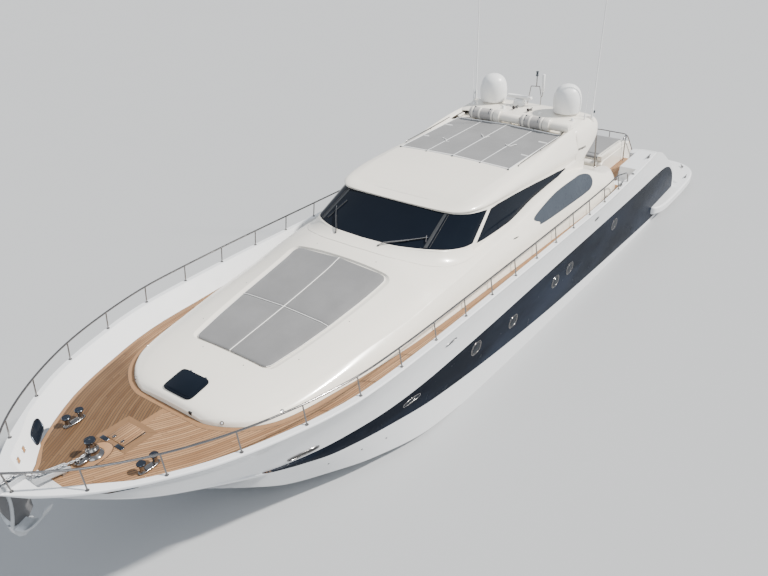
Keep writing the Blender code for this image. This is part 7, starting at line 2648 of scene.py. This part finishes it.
def make_platform_fittings():
    """Non-slip panels, cleats, ladder lid and lights of the swim platform."""
    grip, steel = finish("nonskid"), finish("polished")
    top = PLATFORM_TOP
    parts = []
    for side in (1, -1):
        outline = smooth_line([(-14.02, 0.04), (-14.02, 1.6), (-13.90, 2.12), (-13.72, 2.45),
                (-13.42, 2.72), (-13.0, 2.90), (-12.4, 2.98), (-11.9, 3.0)], 4)
        outline = [(x, side * y) for x, y in outline] + [(-11.86, side * 2.97), (-11.86, side * 1.44),
                (-11.93, side * 1.40), (-11.93, side * 0.04)]
        parts.append(prism("grip", outline, top - 0.002, top + 0.004, grip, 0.002, 2))
    settle(join("platform_grip", parts), "white")
    parts = []
    for side in (1, -1):
        for x, y in ((-13.62, 2.62), (-12.6, 3.08)):
            parts += cleat((x, side * y, top + 0.003), (0.75, side * 0.6, 0) if x < -13 else (1, 0, 0))
        for x in (-13.6, -13.05, -12.5):
            parts.append(lathe("floor_light", ((0, -0.002), (0.032, -0.002), (0.032, 0.004),
                    (0.026, 0.006), (0, 0.006)), steel, 24, (x, side * 1.1, top + 0.003)))
    parts.append(box("ladder_lid", (-14.00, -0.33, top + 0.0038), (-13.28, 0.33, top + 0.008), grip,
            0.003, 2))
    parts.append(flat_ring("ladder_ring", oval(-13.36, 0.0, 0.035, 0.035, 2, 24), top + 0.010, 0.004,
            steel))
    settle(join("platform_fittings", parts), "steel")


ROSE = ((0, 0), (0.036, 0), (0.036, 0.006), (0.019, 0.020), (0, 0.020))


def stern_rail(points, feet, name):
    """Bent rail with straight legs and roses."""
    steel = finish("polished")
    parts = [rod("bar", smooth_line(points, 5), 0.019, steel, 14)]
    for (x, y, z), foot in feet:
        parts.append(rod("leg", [(x, y, foot), (x, y, z)], 0.015, steel, 12))
        parts.append(lathe("rose", ROSE, steel, 24, (x, y, foot)))
    return join(name, parts)


def make_stern_fittings():
    """Rails round the aft sun bed, stair rails, cleats and lights on the wings, grey panels painted as shade on the
    wings' inner faces, garage trim and lockers.
    """
    steel, cream = finish("polished"), finish("cream_gelcoat")
    z, x = GARAGE_TOP, -10.30
    parts = []
    for side in (1, -1):
        line = [(x, side * 0.12, z + 0.004), (x, side * 0.12, z + 0.16), (x, side * 0.22, z + 0.27),
                (x, side * 0.9, z + 0.27), (x + 0.01, side * 1.22, z + 0.27),
                (x + 0.10, side * 1.345, z + 0.27), (x + 0.30, side * 1.36, z + 0.25),
                (x + 0.42, side * 1.36, z + 0.16), (x + 0.44, side * 1.36, z + 0.004)]
        parts.append(stern_rail(line, [((x, side * 0.68, z + 0.27), z + 0.001)], "aft_rail"))
        line = [(-9.72, side * 1.50, SOLE_Z + 0.002), (-9.72, side * 1.50, 2.70),
                (-9.80, side * 1.50, 2.80), (-9.98, side * 1.50, 2.76), (-11.0, side * 1.50, 1.62),
                (-11.14, side * 1.50, 1.44), (-11.16, side * 1.50, 1.30), (-11.16, side * 1.50, 0.84)]
        parts.append(stern_rail(line, [], "stair_rail"))
        parts.append(lathe("rose", ROSE, steel, 24, (-9.72, side * 1.50, SOLE_Z + 0.001)))
    settle(join("stern_rails", parts), "steel")
    parts = []
    for side in (1, -1):
        for cx, kind in ((-7.75, "cleat"), (-5.05, "cleat"), (-6.15, "light")):
            y, cz = cap(cx)
            if kind == "cleat":
                parts += cleat((cx, side * (y - 0.10), cz + 0.002), (1, 0, 0), 1.1)
            else:
                parts.append(lathe("cap_light", ((0, -0.004), (0.045, -0.004), (0.045, 0.012),
                        (0.03, 0.03), (0, 0.036)), steel, 28, (cx, side * (y - 0.09), cz)))
    settle(join("quarter_cleats", parts), "steel")
    parts = []
    for side in (1, -1):
        # Painted shade: a thin grey panel on each wing's inner face stands in for the shade there.
        panel = smooth_line([(-6.55, 2.02), (-6.55, 2.78), (-7.4, 2.82), (-8.2, 2.78), (-8.36, 2.70),
                (-8.36, 2.02)], 3)
        parts.append(side_block("wing_liner", panel, side, 2.4955, 2.4995, finish("nonskid"), 0.0015, 2))
        form = smooth_line([(-8.38, SOLE_Z + 0.002), (-8.38, 2.70), (-8.42, 2.79), (-8.52, 2.825),
                (-8.8, 2.80), (-9.3, 2.62), (-9.72, 2.38), (-9.84, 2.22), (-9.85, SOLE_Z + 0.002)], 3)
        parts.append(side_block("quarter_locker", form, side, 2.16, 2.494, finish("white_gelcoat"), 0.05,
                5))
    settle(join("wing_liners", parts), "white")
    parts = []
    for side in (1, -1):
        lines = smooth_line([(-7.82, 2.482), (-7.82, 2.62), (-7.92, 2.68), (-9.6, 2.66), (-10.0, 2.60),
                (-10.16, 2.50), (-10.16, 2.482)], 3)
        parts.append(side_block("side_board", lines, side, 1.24, 1.405, cream, 0.025, 4))
        parts.append(side_block("board_seam", [(-7.95, 2.684), (-9.6, 2.664), (-9.6, 2.668),
                (-7.95, 2.688)], side, 1.318, 1.326, finish("black_rubber")))
    settle(join("garage_trim", parts), "cream")
    parts = []
    for zz, w in ((0.78, 1.18), (2.06, 1.18)):
        fx = garage_face(zz) - 0.058
        parts.append(rod("door_bead", [(fx, -w, zz), (fx, w, zz)], 0.012, finish("white_gelcoat"), 10))
    fx = garage_face(0.9) - 0.066
    parts.append(rod("door_handle", [(fx + 0.01, -0.16, 0.92), (fx - 0.035, -0.14, 0.92),
            (fx - 0.035, 0.14, 0.92), (fx + 0.01, 0.16, 0.92)], 0.011, steel, 12))
    settle(join("garage_door_trim", parts), "white", body="garage_door_body")


def make_cockpit():
    """The engine hatch's planked lid with its hinge pin, pull ring and trim."""
    steel = finish("polished")
    x0, x1, w = FLOOR_HATCH
    lid = box("engine_hatch_planks", (x0 + 0.009, -w + 0.009, SOLE_Z - 0.039),
            (x1 - 0.009, w - 0.009, SOLE_Z - 0.001), finish("floor_teak"), 0.003, 2)
    pin = rod("pin", [(x0 + 0.016, y, SOLE_Z - 0.012) for y in (-w + 0.0008, w - 0.0008)], 0.0078, steel,
            12)
    settle(join("engine_hatch_lid", [lid, pin]), "teak", "engine_hatch", body="engine_hatch_body")
    ring = flat_ring("ring", oval(x1 - 0.09, 0.0, 0.03, 0.045, 2.4, 28), SOLE_Z + 0.0015, 0.004, steel)
    settle(ring, "steel", body="engine_hatch_body")
    ring.name = "engine_hatch_ring"
    frame_line = [(px, py, SOLE_Z + 0.001) for px, py in ((x0 - 0.006, -w), (x1, -w), (x1, w),
            (x0 - 0.006, w))]
    edges = [rod("edge", [a, b], 0.005, steel, 8) for a, b in zip(frame_line, frame_line[1:]
            + frame_line[:1])]
    settle(join("engine_hatch_trim", edges), "steel")


def make_doors():
    """Sliding door and fixed pane: dark glass in slim frames, with a handle."""
    steel, glass = finish("brushed"), finish("dark_glass")

    def framed(name, x0, x1, y0, y1, z0, z1, node, body):
        w = 0.055
        pane = box("pane", (x0 + 0.010, y0 + w, z0 + w), (x1 - 0.010, y1 - w, z1 - w), glass)
        bars = [box("bar", (x0, a, c), (x1, b, d), steel, 0.004, 2)
                for a, b, c, d in ((y0, y0 + w, z0, z1), (y1 - w, y1, z0, z1),
                (y0 + w, y1 - w, z0, z0 + w), (y0 + w, y1 - w, z1 - w, z1))]
        return settle(join(name, [pane] + bars), "glass", node, body=body)

    framed("saloon_sliding_door", -4.44, -4.405, 0.02, 1.04, SOLE_Z + 0.0006, 3.99, "saloon_door",
           "saloon_door_body")
    framed("saloon_fixed_pane", -4.3996, -4.365, -0.9995, -0.01, SOLE_Z + 0.0006, 3.9495,
           "door_fixed_pane", HULL_BODY)
    handle = rod("saloon_door_handle", [(-4.442, 0.12, 2.85), (-4.475, 0.12, 2.87), (-4.475, 0.12, 3.13),
            (-4.442, 0.12, 3.15)], 0.010, finish("polished"), 12)
    settle(handle, "steel", body="saloon_door_body")


# Solids that keep their shape

CARRIED = (("propeller_port", "bronze"), ("propeller_starboard", "bronze"),
        ("rudder_port", "antifouling"), ("rudder_starboard", "antifouling"),
        ("engine_port", "engine_paint"), ("engine_starboard", "engine_paint"))


def make_carried():
    """Finishes for the solids that are shown as they are."""
    for node, name in CARRIED:
        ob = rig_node(node)
        for s in ob.material_slots:
            s.material = finish(name)


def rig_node(name):
    """The carried-over solid with this name."""
    return next(ob for ob in bpy.data.objects if ob.get("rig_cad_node") and ob.name.startswith(name))


# Add-on

class YACHT_OT_hull(bpy.types.Operator):
    """Hull shell with its deck well, stairs and shaft brackets"""

    bl_idname = "yacht.hull"
    bl_label = "Hull"

    def execute(self, context):
        make_hull()
        return {"FINISHED"}


class YACHT_OT_deck(bpy.types.Operator):
    """Teak planks round the coachroof"""

    bl_idname = "yacht.deck"
    bl_label = "Deck planking"

    def execute(self, context):
        make_deck()
        return {"FINISHED"}


class YACHT_OT_coachroof(bpy.types.Operator):
    """Coachroof with its recesses"""

    bl_idname = "yacht.coachroof"
    bl_label = "Coachroof"

    def execute(self, context):
        make_coachroof()
        return {"FINISHED"}


class YACHT_OT_deckhouse(bpy.types.Operator):
    """Deckhouse with the roof arch"""

    bl_idname = "yacht.deckhouse"
    bl_label = "Deckhouse"

    def execute(self, context):
        make_deckhouse()
        return {"FINISHED"}


class YACHT_OT_windows(bpy.types.Operator):
    """Windscreen and side windows"""

    bl_idname = "yacht.windows"
    bl_label = "Windows"

    def execute(self, context):
        make_windows()
        make_fairing()
        return {"FINISHED"}


class YACHT_OT_stern(bpy.types.Operator):
    """Swim platform and garage"""

    bl_idname = "yacht.stern"
    bl_label = "Stern"

    def execute(self, context):
        make_stern()
        return {"FINISHED"}


class YACHT_OT_rails(bpy.types.Operator):
    """Bulwark handrail"""

    bl_idname = "yacht.rails"
    bl_label = "Rails"

    def execute(self, context):
        make_rails()
        return {"FINISHED"}


class YACHT_OT_anchor(bpy.types.Operator):
    """Anchor under the stem"""

    bl_idname = "yacht.anchor"
    bl_label = "Anchor"

    def execute(self, context):
        make_anchor()
        return {"FINISHED"}


class YACHT_OT_masthead(bpy.types.Operator):
    """Domes, radar and aerials"""

    bl_idname = "yacht.masthead"
    bl_label = "Masthead"

    def execute(self, context):
        make_masthead()
        make_rollers()
        make_mast()
        return {"FINISHED"}


class YACHT_OT_band(bpy.types.Operator):
    """Dark band along each side"""

    bl_idname = "yacht.band"
    bl_label = "Dark band"

    def execute(self, context):
        make_band()
        return {"FINISHED"}


class YACHT_OT_openings(bpy.types.Operator):
    """Portholes, fairleads and vents in the topsides and bulwark"""

    bl_idname = "yacht.openings"
    bl_label = "Portholes"

    def execute(self, context):
        make_openings()
        make_bulwark_fittings()
        return {"FINISHED"}


class YACHT_OT_foredeck(bpy.types.Operator):
    """Bollards, windlass, chain, locker and hatch"""

    bl_idname = "yacht.foredeck"
    bl_label = "Foredeck gear"

    def execute(self, context):
        make_bollards()
        make_windlass()
        make_chain()
        make_locker()
        make_hatch()
        make_trunk_fittings()
        return {"FINISHED"}


class YACHT_OT_sun_bed(bpy.types.Operator):
    """Foredeck sun bed"""

    bl_idname = "yacht.sun_bed"
    bl_label = "Sun bed"

    def execute(self, context):
        make_bed()
        return {"FINISHED"}


class YACHT_OT_roof_covers(bpy.types.Operator):
    """Cloths over the roof and their tracks"""

    bl_idname = "yacht.roof_covers"
    bl_label = "Roof covers"

    def execute(self, context):
        make_roof_covers()
        return {"FINISHED"}


class YACHT_OT_aft_bed(bpy.types.Operator):
    """Sun bed over the garage"""

    bl_idname = "yacht.aft_bed"
    bl_label = "Aft sun bed"

    def execute(self, context):
        make_aft_bed()
        return {"FINISHED"}


class YACHT_OT_seats(bpy.types.Operator):
    """Cockpit, saloon and helm seats"""

    bl_idname = "yacht.seats"
    bl_label = "Seats"

    def execute(self, context):
        make_seats()
        make_helm()
        return {"FINISHED"}


class YACHT_OT_house_fittings(bpy.types.Operator):
    """Wipers, glazing bars, rails and lights"""

    bl_idname = "yacht.house_fittings"
    bl_label = "Deckhouse fittings"

    def execute(self, context):
        make_screen_fittings()
        make_roof_fittings()
        return {"FINISHED"}


class YACHT_OT_stern_fittings(bpy.types.Operator):
    """Platform grip, rails, cleats and lockers"""

    bl_idname = "yacht.stern_fittings"
    bl_label = "Stern fittings"

    def execute(self, context):
        make_platform_fittings()
        make_stern_fittings()
        return {"FINISHED"}


class YACHT_OT_doors(bpy.types.Operator):
    """Saloon door and engine hatch"""

    bl_idname = "yacht.doors"
    bl_label = "Doors"

    def execute(self, context):
        make_doors()
        make_cockpit()
        return {"FINISHED"}


class YACHT_OT_running_gear(bpy.types.Operator):
    """Finishes of propellers, rudders and engines"""

    bl_idname = "yacht.running_gear"
    bl_label = "Running gear"

    def execute(self, context):
        make_carried()
        return {"FINISHED"}


class YACHT_OT_stage(bpy.types.Operator):
    """Floor, lights and camera"""

    bl_idname = "yacht.stage"
    bl_label = "Stage"

    def execute(self, context):
        make_stage()
        return {"FINISHED"}


OPERATORS = (YACHT_OT_hull, YACHT_OT_deck, YACHT_OT_coachroof, YACHT_OT_deckhouse, YACHT_OT_windows,
        YACHT_OT_stern, YACHT_OT_rails, YACHT_OT_anchor, YACHT_OT_masthead, YACHT_OT_band,
        YACHT_OT_openings, YACHT_OT_foredeck, YACHT_OT_sun_bed, YACHT_OT_roof_covers, YACHT_OT_aft_bed,
        YACHT_OT_seats, YACHT_OT_house_fittings, YACHT_OT_stern_fittings, YACHT_OT_doors,
        YACHT_OT_running_gear, YACHT_OT_stage)


class YACHT_PT_panel(bpy.types.Panel):
    """Buttons that build the yacht, group by group."""

    bl_idname = "YACHT_PT_panel"
    bl_label = "Sport Yacht"
    bl_space_type = "VIEW_3D"
    bl_region_type = "UI"
    bl_category = "Yacht"

    def draw(self, context):
        column = self.layout.column()
        for group in (context.scene.yacht_sizes, context.scene.yacht_colours):
            for key in group.__annotations__:
                column.prop(group, key)
        for op in OPERATORS:
            column.operator(op.bl_idname)


CLASSES = (YachtSizes, YachtColours) + OPERATORS + (YACHT_PT_panel,)


def register():
    for cls in CLASSES:
        bpy.utils.register_class(cls)
    bpy.types.Scene.yacht_sizes = PointerProperty(type=YachtSizes)
    bpy.types.Scene.yacht_colours = PointerProperty(type=YachtColours)


def unregister():
    del bpy.types.Scene.yacht_colours
    del bpy.types.Scene.yacht_sizes
    for cls in reversed(CLASSES):
        bpy.utils.unregister_class(cls)


def main():
    register()
    for op in OPERATORS:
        _, name = op.bl_idname.split(".")
        getattr(bpy.ops.yacht, name)()
    with open(SIZE_FILE, "w") as out:
        json.dump({"cad": [list(v) for v in CAD_BOX], "visual": [list(v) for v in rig.bounds()]}, out)


if __name__ == "__main__":
    main()
